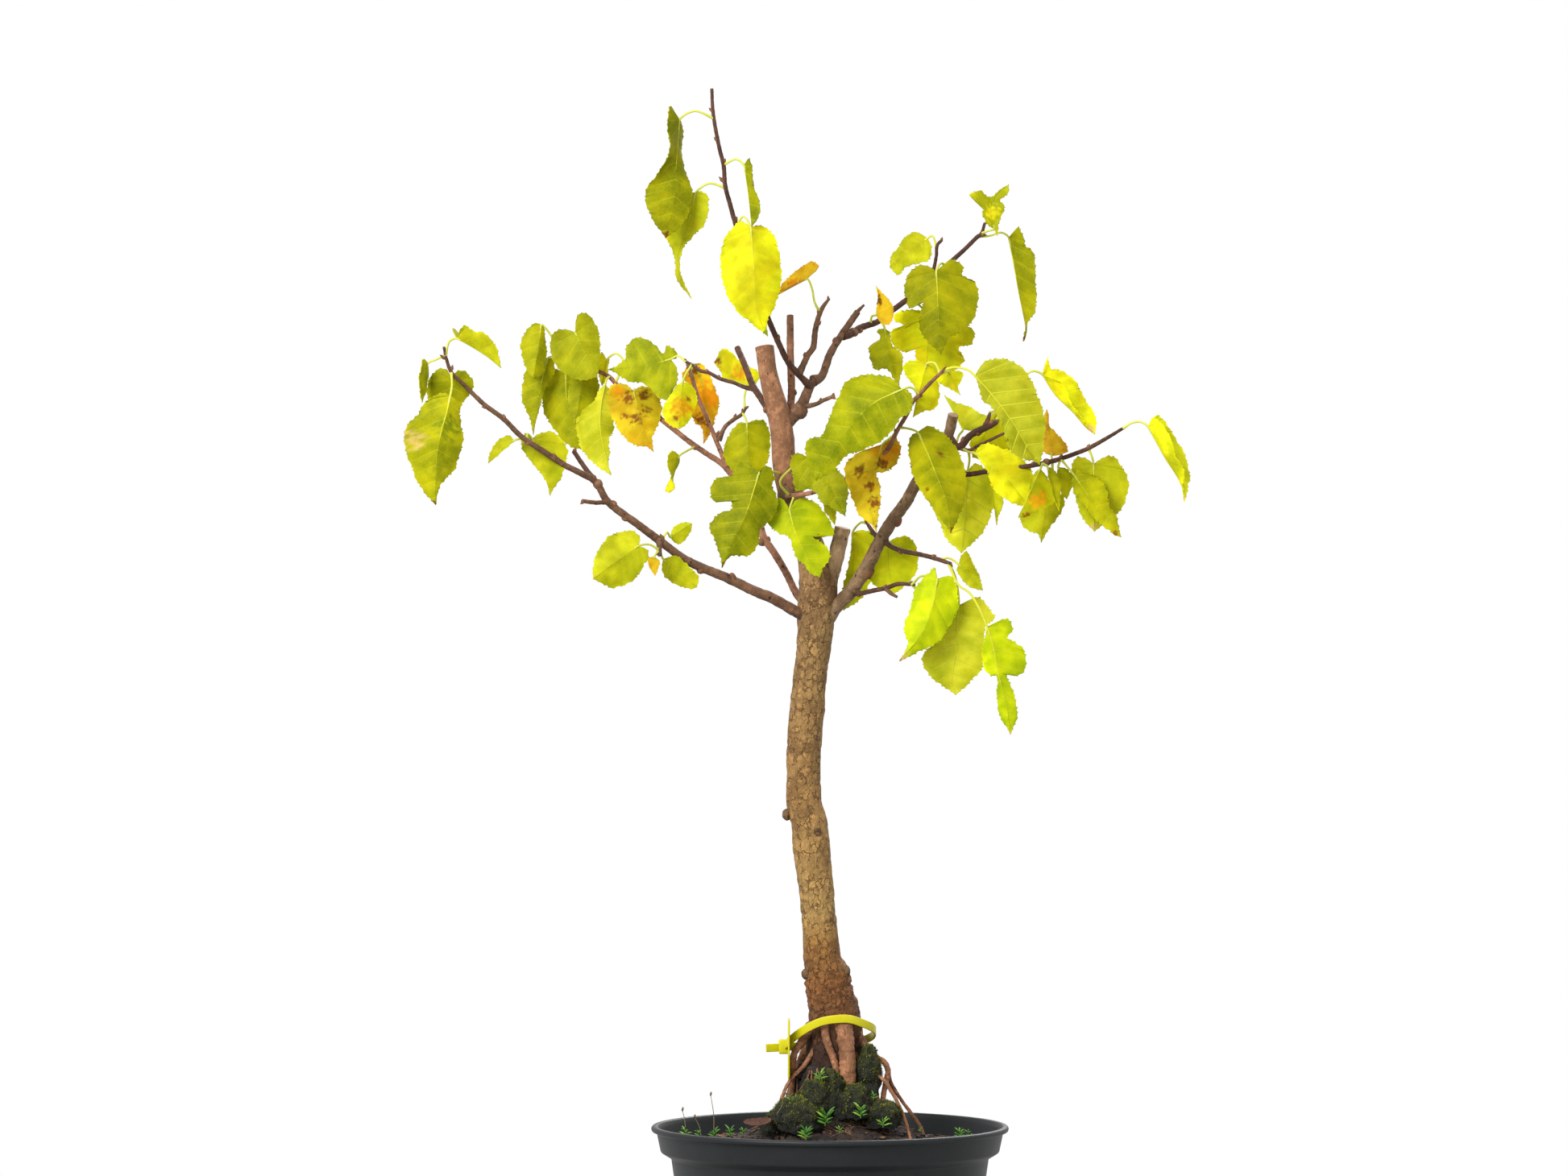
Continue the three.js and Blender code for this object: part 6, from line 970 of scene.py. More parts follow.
         tip=(5.5, -49.5, 4), rib=[(5, -12, 1), (7, -28, 2), (7.5, -41, 3)], lift=(5, 4),
         left=[(-5, -2), (-8, -7), (-4, -15), (-3, -27), (-1, -36), (4, -40)],
         right=[(4, 0.5), (9, -5), (13, -14), (15.5, -25), (13.5, -34), (9.5, -44)]),
    dict(node="leaf_left_15", tone="yellow", start=("midLeftSpur", -52.5, 622), base=(-52, 637, 6),
         tip=(-20, 14.5, 4), arch=[(-53, 630, 4)], lift=(-2, 3),
         left=[(-6, 1), (-13, 2), (-16.5, 9)],
         right=[(6, 1), (8.5, 4), (8, 9), (2, 12), (-5, 17), (-10, 22), (-15.5, 23), (-18, 18)]),
    dict(node="leaf_left_16", tone="olive", start=("midLeftSpur", -54, 620), base=(-51.5, 613.5, -6),
         tip=(1.5, -37, -2), arch=[(-52.5, 617, -4)], rib=[(0.5, -18, -2)], lift=(4, 4),
         left=[(-4.5, 1), (-8.5, -2), (-12, -8), (-14.5, -14.5), (-15, -20), (-12.5, -26), (-7, -32)],
         right=[(4, 2), (10.5, 2.5), (14, -4), (15, -13), (13.5, -23), (9, -29.5)]),
    dict(node="leaf_left_17", tone="lime", start=("midLeft", -83, 599.5), base=(-93.5, 593.5, -7),
         tip=(-6.5, -23, -1), arch=[(-89, 596.5, -4)],
         left=[(-4, 3.5, -3), (-7, 1, -5), (-7, -8, -5), (-5.5, -13, -2), (-9, -21, 3)],
         right=[(0, -3, 3), (-2, -8, 5), (-4.5, -13, 1), (-3, -20, -4)]),
    dict(node="leaves_left_18", tone="lime", start=("lowerLeftBudSpur", -106, 535),
         base=(-119, 537.5, -8), tip=(-28, -20.5, -4), arch=[(-112, 538.5, -4)], rib=[(-14, -10, -3)],
         lift=(3, 4),
         left=[(1.5, 5), (-1, 9), (-6, 10), (-12, 9), (-18.5, 6.5), (-23.5, 0), (-27, -6), (-28.5, -13.5)],
         right=[(6.5, -2.5), (7, -7), (4, -12), (1.5, -17), (-3.5, -22), (-11, -25.5), (-17, -26.5),
                (-23.5, -23)]),
    dict(node="leaf_left_19", tone="lime", start=("lowerLeft", -104, 540.5), base=(-99, 543, 8),
         tip=(13.5, 8.5, 2), arch=[(-101, 546, 5)], lift=(2, 2),
         left=[(1, 5), (4, 8), (9, 9.5)],
         right=[(2, -3), (6, -4.5), (10, -1), (13, 4)]),
    dict(node="leaves_left_18", tone="lime", start=("lowerLeftBudSpur", -106, 535),
         base=(-103.5, 529.5, 6), tip=(21, -17.5, 4), lift=(3, 2),
         left=[(-1, -6), (0.5, -11), (5, -14.5), (11.5, -17.5), (17, -19)],
         right=[(4, 1.5), (8, 2.5), (13, -1), (18, -6), (22.5, -11)]),
    dict(node="leaves_left_18", tone="amber", start=("lowerLeftBudSpur", -106, 535), base=(-109, 531, -5),
         tip=(0.5, -12, -1), lift=(-2, 2),
         left=[(-4, -1), (-4, -5), (-2, -8.5)],
         right=[(3.5, -3), (2.5, -8)]),
]

leafLook = dict(across=(0, 0.08, 0.22, 0.37, 0.52, 0.66, 0.8, 0.92, 1.0), spottedAcross=15, fullSize=45,
                shortestVein=5, veinSides=4, midribRows=20, midribSides=6, stalkRows=22, stalkSides=7,
                thickness=0.45, toothPitch=3.7, toothDepth=1.05, quilt=0.4, wave=0.8, veinPitch=9.5,
                stalkRadius=0.74, stalkTint=(222, 226, 112), veinTint=(226, 226, 60), lit=1.8, glow=0.4)

# The two colours that each tone of leaf is clouded with
toneTints = dict(
    yellow=((238, 236, 22), (204, 196, 8)), lime=((208, 208, 24), (178, 178, 10)),
    olive=((192, 188, 6), (156, 158, 2)), green=((184, 186, 6), (142, 152, 2)),
    bright=((222, 232, 10), (176, 196, 2)), pale=((216, 216, 50), (192, 192, 24)),
    amber=((240, 204, 34), (208, 150, 22)), spotted=((238, 214, 40), (206, 172, 16)))

# Painted light and shade on single leaves: each factor scales a leaf's colour, above 1 to lift a leaf that
# lies in the shade of others, below 1 to darken it
paintedLeafLight = dict(
    leaf_centre_2=0.78, leaf_centre_3=0.76, leaf_centre_4=0.78, leaf_centre_1=0.93, leaf_right_1=0.8,
    leaf_right_3=1.3, leaves_right_8=1.3, leaves_right_12=1.12, leaf_left_6=0.76, leaf_upper_right_4=0.84,
    leaf_upper_right_5=1.1, leaf_right_13=1.45, leaf_centre_7=1.3, leaf_centre_8=1.4, leaf_top_1=0.82,
    leaf_top_3=0.76, leaf_left_14=1.3, leaf_right_14=1.3, leaf_right_7=1.2, leaf_upper_right_2=0.86)

# Spots and dry edges that are painted on the blades of each node: x, z and radius in the front view, colour
stains = dict(
    leaf_centre_5=[(35, 598, 13, "orange"), (18.5, 584.5, 5.5, "brown"), (32.5, 588.5, 5, "brown"),
                   (27.5, 564.5, 4.5, "brown"), (30, 549, 3.5, "brown"), (25, 575, 4, "brown")],
    leaf_left_12=[(-125, 629.5, 5.5, "brown"), (-115, 631, 4.5, "brown"), (-120, 617, 5.5, "brown"),
                  (-113.5, 622, 4, "brown"), (-127, 619, 3, "brown"), (-112.5, 598, 4.5, "orange"),
                  (-131, 633, 5, "orange")],
    leaf_left_14=[(-76, 629.5, 12, "orange"), (-80, 616, 4.5, "brown"), (-84, 646, 5, "brown"),
                  (-79, 604, 4, "straw")],
    leaf_left_15=[(-55, 644.5, 7, "orange"), (-69, 652, 3.5, "brown")],
    leaf_left_13=[(-92, 624, 8, "orange"), (-96, 617, 2.5, "brown"), (-88, 629, 2.2, "brown")],
    leaf_right_2=[(75, 546, 3.5, "brown"), (68, 594.5, 2.4, "brown"), (61, 573, 1.8, "brown")],
    leaves_right_9=[(137.5, 574, 8, "orange")],
    leaves_right_8=[(129, 566, 7, "orange"), (122, 556, 4, "brown")],
    leaves_left_3=[(-258.5, 604, 8, "straw"), (-245, 564, 4, "brown"), (-237, 612, 9, "green")],
    leaf_left_7=[(-152, 600, 4, "brown")],
    leaf_left_17=[(-99, 573.5, 6, "yellow")],
    leaf_top_1=[(-102, 730, 4, "brown")],
    leaf_top_5=[(-22, 700, 5, "orange"), (-33, 693, 3, "brown")],
    leaf_upper_right_6=[(28.5, 690, 5, "brown")],
    leaf_upper_right_2=[(119, 668, 3.5, "brown")],
    leaves_low_right_2=[(45, 468, 5, "straw"), (43.5, 466.5, 2.5, "brown")],
    leaves_low_right_3=[(111.5, 421, 3, "straw")],
    leaf_right_13=[(219, 566, 3.5, "straw")],
    leaf_right_14=[(162, 610, 4, "straw")],
    leaf_centre_3=[(-66, 525, 3.5, "brown")],
    leaf_upper_right_1=[(101, 744, 6, "yellow")],
    leaf_upper_right_5=[(55, 655, 12, "yellow")],
    leaves_right_12=[(178, 545, 3, "brown")],
    leaf_right_11=[(163, 549, 3.5, "straw")],
    leaf_left_16=[(-50, 578, 4, "straw")],
    leaf_top_4=[(-39.5, 670, 4, "green")])
stainTints = dict(brown=(132, 66, 20), orange=(228, 152, 14), green=(124, 140, 4), yellow=(240, 226, 20),
                  straw=(220, 190, 110))


def leafPaint(key):
    return paint(*leafLook[key]) * leafLook["lit"]


def marginPoints(leaf, side, at):
    tipRight, tipUp, tipDeeper = leaf["tip"]
    lift = leaf.get("lift", (0, 0))[0 if side == "left" else 1]
    points = leaf[side]
    offAxis = [abs(p[0] * tipUp - p[1] * tipRight) for p in points]
    placed = []
    for point, off in zip(points, offAxis):
        along = min(max((point[0] * tipRight + point[1] * tipUp) / (tipRight ** 2 + tipUp ** 2), 0), 1)
        deeper = point[2] if len(point) > 2 else along * tipDeeper + lift * off / max(offAxis)
        placed.append(at((point[0], point[1], deeper)))
    return placed


def toothed(line, depth, outward):
    # the even margin, and how far rounded teeth of five steps that lean to the tip stand off it
    rise = np.array([-0.05, 0.62, 0.92, 0.98, 0.74])
    slip = np.array([0.0, 0.0, 0.05, 0.13, 0.18])
    teeth = max(4, round(lengthsAlong(line)[-1] / leafLook["toothPitch"]))
    count = teeth * 5 + 1
    at = np.linspace(0, 1, count)
    at = at + 0.3 / teeth * np.sin(at * 2 * math.pi * teeth * 0.37) * (1 - at) * at * 4
    even = valueAlong(line, line, at)
    tangent = unit(np.gradient(even, axis=0))
    out = np.cross(tangent, outward)
    step = np.arange(count) % 5
    along = lengthsAlong(even)
    calm = np.clip(np.minimum(along, along[-1] - along) / 6.0, 0, 1)    # teeth fade out to both ends
    calm = calm * (0.85 + 0.3 * np.sin(at * 47.0)) * depth
    return even, out * (rise[step] * calm)[:, None] + tangent * (slip[step] * calm)[:, None]


def tintBlade(leaf, points, across, veinPlace):
    # the leaf's colour carries its factor of painted light and shade
    lit = leafLook["lit"] * paintedLeafLight.get(leaf["node"], 1.0)
    light, deep = (paint(*c) * lit for c in toneTints[leaf["tone"]])
    # The tone's two colours are clouded at random; the darker patches are partly the leaf's own mottling and
    # partly painted shade of overlapping leaves, and the blade is lighter between its side veins, partly its
    # own yellowing and partly a painted glow of light through it
    between = np.abs(np.sin(math.pi * veinPlace)) ** 1.5 * np.sin(math.pi * np.clip(across, 0.05, 0.95))
    clouds = 0.5 + 1.1 * grain(points, 14.0, len(leaf["left"])) + 0.5 * grain(points, 4.5, 3.0)
    share = np.clip(clouds + 0.3 * (between - 0.4), 0, 1)[..., None]
    tint = deep * (1 - share) + light * share
    edge = np.clip((across - 0.86) / 0.14, 0, 1) * np.clip(grain(points, 6.0, 8.0) * 2, 0, 0.7)
    tint = tint * (1 - edge[..., None]) + light * 1.12 * edge[..., None]
    seen = frontView(points)
    for x, z, radius, colour in stains.get(leaf["node"], ()):
        reach = 0.8 - np.linalg.norm(seen - (x, z), axis=-1) / radius + 0.9 * grain(points, 1.9, x)
        share = np.clip(reach * 2.6, 0, 1)[..., None] * 0.9
        tint = tint * (1 - share) + paint(*stainTints[colour]) * lit * share
    return tint


def footShares(margin, base, axis, size):
    # how far along the rib the side vein starts that ends at each point of the margin
    reached = margin - base
    along = reached @ axis
    off = np.linalg.norm(reached - along[:, None] * axis, axis=1)
    foot = np.maximum.accumulate(np.clip((along - 0.5 * off) / size, 0, 0.97))
    foot[0], foot[-1] = 0, 1
    foot = np.maximum.accumulate(np.convolve(np.pad(foot, 5, mode="edge"), np.ones(11) / 11, "valid"))
    foot[0], foot[-1] = 0, 1
    return foot


def pushed(sheet, across, veinPlace, small, base):
    # how far the blade swells between its side veins, waves at its margin and rolls softly all over
    share = np.linspace(0, 1, len(sheet))
    between = np.abs(np.cos(math.pi * veinPlace))[:, None]
    quilt = leafLook["quilt"] * small * between * (np.sin(math.pi * across * 0.9 + 0.1) ** 0.8)[None]
    wave = leafLook["wave"] * small * across[None] ** 2 * np.sin(
        2 * math.pi * (2.6 * share + 0.13 * base[0]))[:, None] * np.sin(math.pi * share)[:, None]
    soft = 0.35 * small * grain(sheet, 9.0, 6.0) * (across > 0)[None]
    return quilt + wave + soft


def addHalf(build, leaf, side, at, rib, base, axis, size):
    across = np.array(leafLook["across"])
    if leaf["tone"] in ("spotted", "amber"):
        across = np.linspace(0, 1, leafLook["spottedAcross"])
    veinCount = int(np.clip(round(size / leafLook["veinPitch"]), 3, 7))
    small = min(1, size / leafLook["fullSize"])
    edge = smoothLine([base, *marginPoints(leaf, side, at), rib[-1]])
    outward = unit(np.cross(edge[len(edge) // 2] - valueAlong(rib, rib, [0.4])[0], axis))
    margin, teeth = toothed(edge, leafLook["toothDepth"] * (0.3 + 0.7 * small), -outward)
    foot = footShares(margin, base, axis, size)
    feet = valueAlong(rib, rib, foot)
    sheet = feet[:, None] + (margin - feet)[:, None] * across[None, :, None]
    sheet = sheet + teeth[:, None] * (np.clip((across - 0.7) / 0.3, 0, 1) ** 1.6)[None, :, None]
    outwards = np.broadcast_to((margin - feet + 1e-4 * axis)[:, None], sheet.shape)
    down = np.gradient(sheet, axis=0) + 0.05 * np.gradient(margin, axis=0)[:, None]
    normal = unit(np.cross(down, outwards))
    facing = -1.0 if normal[..., 1].mean() > 0 else 1.0
    normal = normal * facing
    lobe = max(1, int(np.argmax(foot > 0.03)))
    fan = 2 if lobe / len(margin) > 0.16 else 1    # veins that spread from the very foot of the blade
    veinPlace = foot * veinCount + fan * np.clip(np.arange(len(margin)) / lobe, 0, 1)
    sheet = sheet + normal * pushed(sheet, across, veinPlace, small, base)[..., None]
    places = np.broadcast_to(veinPlace[:, None], sheet.shape[:2])
    wide = np.broadcast_to(across[None], sheet.shape[:2])
    flatMap = np.stack([places, wide], -1)
    tint = tintBlade(leaf, sheet, wide, places)
    half = normal * leafLook["thickness"] / 2
    build.grid(sheet + half, tint, flatMap, turned=facing < 0)
    build.grid(sheet - half, tint, flatMap, turned=facing > 0)
    rim = np.stack([sheet[:, -1] + half[:, -1], sheet[:, -1] - half[:, -1]], axis=1)
    build.grid(rim, np.stack([tint[:, -1]] * 2, axis=1) * 1.1, turned=facing > 0)
    shown = 1 if leaf["tone"] == "pale" else -1
    for k in range(veinCount + fan):
        row = int(np.argmin(np.abs(veinPlace - k - 0.5)))
        reach = np.linalg.norm(margin[row] - feet[row])
        if reach > leafLook["shortestVein"]:
            vein = sheet[row, :-1] + shown * half[row, :-1]
            radii = np.linspace(0.3, 0.1, len(vein)) * small
            tube(build, vein, radii, leafLook["veinSides"], leafPaint("veinTint"), capped=False)


def addBlade(build, leaf, base):
    # two halves that meet at the rib, and the midrib on the side that the leaf shows
    def at(point):
        return place(leaf["base"][0] + point[0], leaf["base"][1] + point[1], base[1] + point[2])

    tip = leaf["tip"]
    bends = leaf.get("rib") or [(tip[0] / 2, tip[1] / 2, tip[2] / 2)]
    rib = smoothLine([base, *[at(bend) for bend in bends], at(tip)])
    axis = rib[-1] - rib[0]
    size = np.linalg.norm(axis)
    axis = axis / size
    for side in ("left", "right"):
        addHalf(build, leaf, side, at, rib, base, axis, size)
    midrib = resample(rib, leafLook["midribRows"])
    face = unit(np.cross(np.cross(axis, [0, -1, 0]), axis))
    midrib = midrib + face * 0.18 * (1 if leaf["tone"] == "pale" else -1)
    radii = np.linspace(0.62, 0.2, len(midrib)) * (0.2 + 0.8 * min(1, size / leafLook["fullSize"]))
    tube(build, midrib, radii, leafLook["midribSides"], leafPaint("veinTint"))
    return rib


def addLeaf(build, leaf):
    start = onLimb(*leaf["start"])[0]
    x, z, deeper = leaf["base"]
    base = place(x, z, start[1] + deeper)
    arch = leaf.get("arch", [])
    bends = []
    for i, bend in enumerate(arch):
        past = bend[2] if len(bend) > 2 else deeper * (i + 1) / (len(arch) + 1)
        bends.append(place(bend[0], bend[1], start[1] + past))
    rib = addBlade(build, leaf, base)
    stalk = smoothLine([start, *bends, base, valueAlong(rib, rib, [0.08])[0]])
    stalk = resample(stalk, leafLook["stalkRows"])
    swelling = np.interp(np.linspace(0, 1, len(stalk)), [0, 0.12, 0.3, 0.9, 1], [1.5, 1.15, 0.9, 0.95, 0.8])
    radii = leafLook["stalkRadius"] * swelling
    tube(build, stalk, radii, leafLook["stalkSides"], leafPaint("stalkTint"))


def leafPieces():
    materials = {}
    veinColour = tuple(leafPaint("veinTint"))
    for tone in toneTints:
        raised = 0.9 if tone == "pale" else 0.35    # pale leaves show their underside, with bolder veins
        materials[tone] = leafMaterial("leaf " + tone, veinColour, raised, leafLook["glow"])
    nodes = {}
    for leaf in leafTable:
        nodes.setdefault(leaf["node"], []).append(leaf)
    for node, together in nodes.items():
        build = Build()
        for leaf in together:
            addLeaf(build, leaf)
        tone = together[0]["tone"]
        build.finish(node + "_blades", materials[tone], replaces=[node])
    print("leaves made:", len(leafTable))


leafPieces()


# Pot: half of the wall's outline, radius and height
potLook = dict(profile=[(0, 0), (26, 0), (29, 3), (63, 3), (66, 0), (76, 0), (98.5, 158), (105, 162),
                        (107.5, 174), (110.5, 174.8), (111, 176.6), (110, 178), (107, 178), (105.8, 175.5),
                        (103, 163.5), (96.9, 159.5), (74.4, 4.6), (0, 4.6)],
               drains=dict(count=6, radius=6.0, circle=46.0, depth=8.0, middle=3.8, sides=24),
               sides=128, round=0.9,
               colour=(30, 34, 36), worn=(40, 45, 47))


def rounded(profile, radius):
    outline = []
    for i, corner in enumerate(profile):
        corner = np.array(corner, float)
        if i in (0, len(profile) - 1):
            outline.append(corner)
            continue
        before = np.array(profile[i - 1], float) - corner
        after = np.array(profile[i + 1], float) - corner
        cut = min(radius, 0.4 * np.linalg.norm(before), 0.4 * np.linalg.norm(after))
        a = corner + unit(before) * cut
        b = corner + unit(after) * cut
        for t in (0, 0.25, 0.5, 0.75, 1):
            outline.append((1 - t) ** 2 * a + 2 * t * (1 - t) * corner + t ** 2 * b)
    return np.array(outline)


def latheRows(outline, sides):
    turn = np.linspace(0, 2 * math.pi, sides + 1)
    return np.stack([outline[:, :1] * np.cos(turn), outline[:, :1] * np.sin(turn),
                     np.repeat(outline[:, 1:], sides + 1, axis=1)], axis=-1)


def makePot():
    look = potLook
    outline = rounded(look["profile"], look["round"])
    wall = [np.array(outline[0])]
    for a, b in zip(outline[:-1], outline[1:]):
        pieces = max(1, int(np.linalg.norm(b - a) / 9))
        wall += [a + (b - a) * (k + 1) / pieces for k in range(pieces)]
    build = Build()
    build.grid(latheRows(np.array(wall), look["sides"]), (0.05, 0.05, 0.05))
    plastic = plasticMaterial("pot plastic", paint(*look["colour"]), paint(*look["worn"]), roughness=0.5,
                              grit=0.12)
    pot = build.finish("nursery_pot", plastic, replaces=["pot"])
    drains = look["drains"]
    for k in range(drains["count"]):
        turn = 2 * math.pi * k / drains["count"]
        middle = (drains["circle"] * math.cos(turn) * mm, drains["circle"] * math.sin(turn) * mm,
                  drains["middle"] * mm)
        bpy.ops.mesh.primitive_cylinder_add(vertices=drains["sides"], radius=drains["radius"] * mm,
                                            depth=drains["depth"] * mm, location=middle)
        drill = bpy.context.object
        cut = pot.modifiers.new("drain", "BOOLEAN")
        cut.object = drill
        bpy.context.view_layer.objects.active = pot
        bpy.ops.object.modifier_apply(modifier=cut.name)
        bpy.data.objects.remove(drill, do_unlink=True)
    print("pot made")


makePot()


# Soil with the peat that the roots clasp, and the cushion of moss between the roots
soilLook = dict(top=166.0, mound=26.0, spread=46.0, dip=2.0, ball=30.0, ballRadius=27.0, crumbs=2000,
                flakes=46, fineRoots=70, sides=200,
                crumbTints=[(58, 42, 32), (84, 56, 40), (36, 28, 22), (108, 68, 46), (70, 56, 44),
                            (44, 34, 26), (150, 116, 84)],
                flakeTints=[(104, 70, 46), (140, 106, 72), (70, 50, 36)], firstFlake=(110, 66, 46),
                fineRootTints=[(124, 80, 56), (96, 60, 42), (150, 108, 78)],
                shadedHollow=(20, 15, 11), raised=(66, 44, 30), wall=(48, 36, 28))
mossDomes = [(-20, 182, -34, 17, 14), (-32, 177, -26, 11, 11), (-9, 191, -29, 11, 16), (2, 198, -27, 8, 15),
             (15, 190, -29, 12, 14), (24, 208, -17, 8, 20), (33, 183, -29, 12, 11)]
mossLook = dict(dark=(20, 22, 6), middle=(88, 98, 12), light=(186, 192, 34), shoots=13000, ballShoots=7000,
                reach=1.25)


def soilHeight(r):
    look = soilLook
    return (look["top"] + look["mound"] * np.exp(-(r / look["spread"]) ** 2) - look["dip"] * (r / 111) ** 2
            + look["ball"] * np.exp(-(r / look["ballRadius"]) ** 6))


def anyTurn(chance):
    return chance.random() * 2 * math.pi


def onSoil(r, turn, above):
    return np.array([r * math.cos(turn), r * math.sin(turn), soilHeight(r) + above])


def addCrumb(build, centre, size, tint, chance):
    # a lump of eight corners pushed about, so that no two are alike
    corners = np.array([[x, y, z] for x in (-1, 1) for y in (-1, 1) for z in (-1, 1)], float)
    corners *= size * (0.4 + 0.34 * chance.random((8, 3)))
    turn = chance.random() * math.pi
    spin = np.array([[math.cos(turn), -math.sin(turn), 0], [math.sin(turn), math.cos(turn), 0], [0, 0, 0.7]])
    faces = [(0, 1, 3, 2), (4, 6, 7, 5), (0, 4, 5, 1), (2, 3, 7, 6), (0, 2, 6, 4), (1, 5, 7, 3)]
    build.add(corners @ spin.T + centre, faces, tint)


def addFlake(build, centre, length, width, turn, curl, tint, tilt=0.2):
    # a dry scrap of leaf or bark: a curled strip with two faces
    u, v = np.meshgrid(np.linspace(-1, 1, 13), np.linspace(-1, 1, 7), indexing="ij")
    taper = np.sqrt(np.clip(1 - (u * 0.97) ** 2, 0, 1))
    x, y = u * length / 2, v * taper * width / 2
    rise = curl * (u ** 2 + 0.6 * v ** 2 * taper) + 0.4 * grain(np.stack([x, y, x * 0], -1), 2.5, centre[0])
    x, y = x * math.cos(turn) - y * math.sin(turn), x * math.sin(turn) + y * math.cos(turn)
    y, z = y * math.cos(tilt) - rise * math.sin(tilt), y * math.sin(tilt) + rise * math.cos(tilt)
    spun = np.stack([x, y, z], -1)
    shade = (0.8 + 0.5 * grain(spun, 2.0, 5.0))[..., None] * np.asarray(tint)
    build.grid(spun + centre, shade)
    build.grid(spun + centre - (0, 0, 0.35), shade, turned=True)


def makeSoil():
    chance = np.random.default_rng(4)
    build = Build()
    sides = soilLook["sides"]
    radii = np.concatenate([np.linspace(0.4, 16, 8), np.linspace(16.6, 40, 60), np.linspace(41, 101.6, 84)])
    turn = np.linspace(0, 2 * math.pi, sides + 1)
    x = radii[:, None] * np.cos(turn)
    y = radii[:, None] * np.sin(turn)
    z = soilHeight(radii)[:, None] * np.ones_like(turn)
    rows = np.stack([x, y, z], axis=-1)
    lumps = 1.8 * grain(rows, 9.0) + 1.5 * grain(rows, 3.6, 5.0) + 1.0 * grain(rows, 1.5, 9.0)
    lumps[:, -1] = lumps[:, 0]
    steep = np.clip((40 - radii[:, None]) / 10, 0, 1) * np.clip((radii[:, None] - 12) / 4, 0, 1)
    outwards = unit(np.stack([x, y, np.zeros_like(x)], -1))
    rows = rows + outwards * (lumps * steep)[..., None]
    rows[..., 2] += lumps * (1 - 0.6 * steep) * np.clip((102 - radii[:, None]) / 6, 0.25, 1)
    # painted shade over a random tone: the soil is darker in the hollows between its lumps and on the steep
    # sides of the root ball under the roots, and lighter on the raised lumps
    shade = (np.clip(0.4 + 0.8 * grain(rows, 14.0, 2.0) + 0.3 * lumps, 0, 1) * (1 - 0.6 * steep))[..., None]
    tint = paint(*soilLook["shadedHollow"]) * (1 - shade) + paint(*soilLook["raised"]) * shade
    build.grid(rows, tint)
    side = np.array([(101.6, soilHeight(102) - 0.5), (102.1, 163.6), (96.0, 159.6), (73.6, 4.95), (0, 4.95)])
    build.grid(latheRows(side, sides), paint(*soilLook["wall"]), turned=True)
    for k in range(soilLook["crumbs"]):
        r = 19.5 + 80 * chance.random() ** 0.85
        turn = anyTurn(chance)
        size = 0.7 + 2.2 * chance.random() ** 3
        tint = paint(*soilLook["crumbTints"][int(chance.integers(7))])
        addCrumb(build, onSoil(r, turn, size * 0.1), size, tint, chance)
    addFlake(build, place(-45, 179.5, -47), 17, 8, 0.15, 1.6, paint(*soilLook["firstFlake"]), 0.55)
    for k in range(soilLook["flakes"]):
        r = 40 + 58 * chance.random()
        turn = anyTurn(chance)
        tint = paint(*soilLook["flakeTints"][k % 3])
        length, width = 4 + 6 * chance.random(), 2 + 3 * chance.random()
        addFlake(build, onSoil(r, turn, 1.0), length, width, chance.random() * 3, 1.0, tint)
    for k in range(soilLook["fineRoots"]):
        turn = anyTurn(chance)
        steps = np.linspace(0, 1, 14)
        r = 19.5 + steps * (9 + 24 * chance.random())
        turns = turn + 0.5 * (chance.random() - 0.5) * steps + 0.16 * np.sin(steps * 7 + 6 * chance.random())
        up = soilHeight(r) + 1.1 + 0.7 * np.sin(steps * 9)
        line = np.column_stack([r * np.cos(turns), r * np.sin(turns), up])
        tint = paint(*soilLook["fineRootTints"][k % 3])
        tube(build, line, np.linspace(0.55, 0.22, 14), 5, tint)
    soil = earthMaterial("soil", roughness=0.95, contrast=0.45)
    build.finish("soil_and_crumbs", soil, replaces=["soil"], smooth=False)


def onMoss(dome, turn, rise):
    x, z, depth, radius, height = dome
    out = np.array([math.cos(turn) * math.cos(rise), math.sin(turn) * math.cos(rise), math.sin(rise)])
    surface = out * (radius, radius, height)
    return place(x, z, depth) + surface, unit(surface / np.array([radius ** 2, radius ** 2, height ** 2]))


def mossLumps(points):
    return 2.3 * grain(points, 7.0) + 1.5 * grain(points, 3.2, 3.0) + 0.6 * grain(points, 1.3, 6.0)


def addShoots(build, feet, leans, lengths, widths, tints, tipTints):
    # each shoot is a thin pointed blade of a quad and a triangle
    side = unit(np.cross(leans, [0.3, 0.5, 0.81])) * widths[:, None]
    middle = feet + leans * lengths[:, None] * 0.5
    points = np.stack([feet - side / 2, feet + side / 2, middle + side * 0.42, middle - side * 0.42,
                       feet + leans * lengths[:, None]], axis=1)
    shades = np.stack([tints, tints, (tints + tipTints) / 2, (tints + tipTints) / 2, tipTints], axis=1)
    first = np.arange(len(feet))[:, None] * 5
    build.add(points, first + [[0, 1, 2, 3]], shades.reshape(-1, 3))
    build.add(points, first + [[3, 2, 4]], shades.reshape(-1, 3))


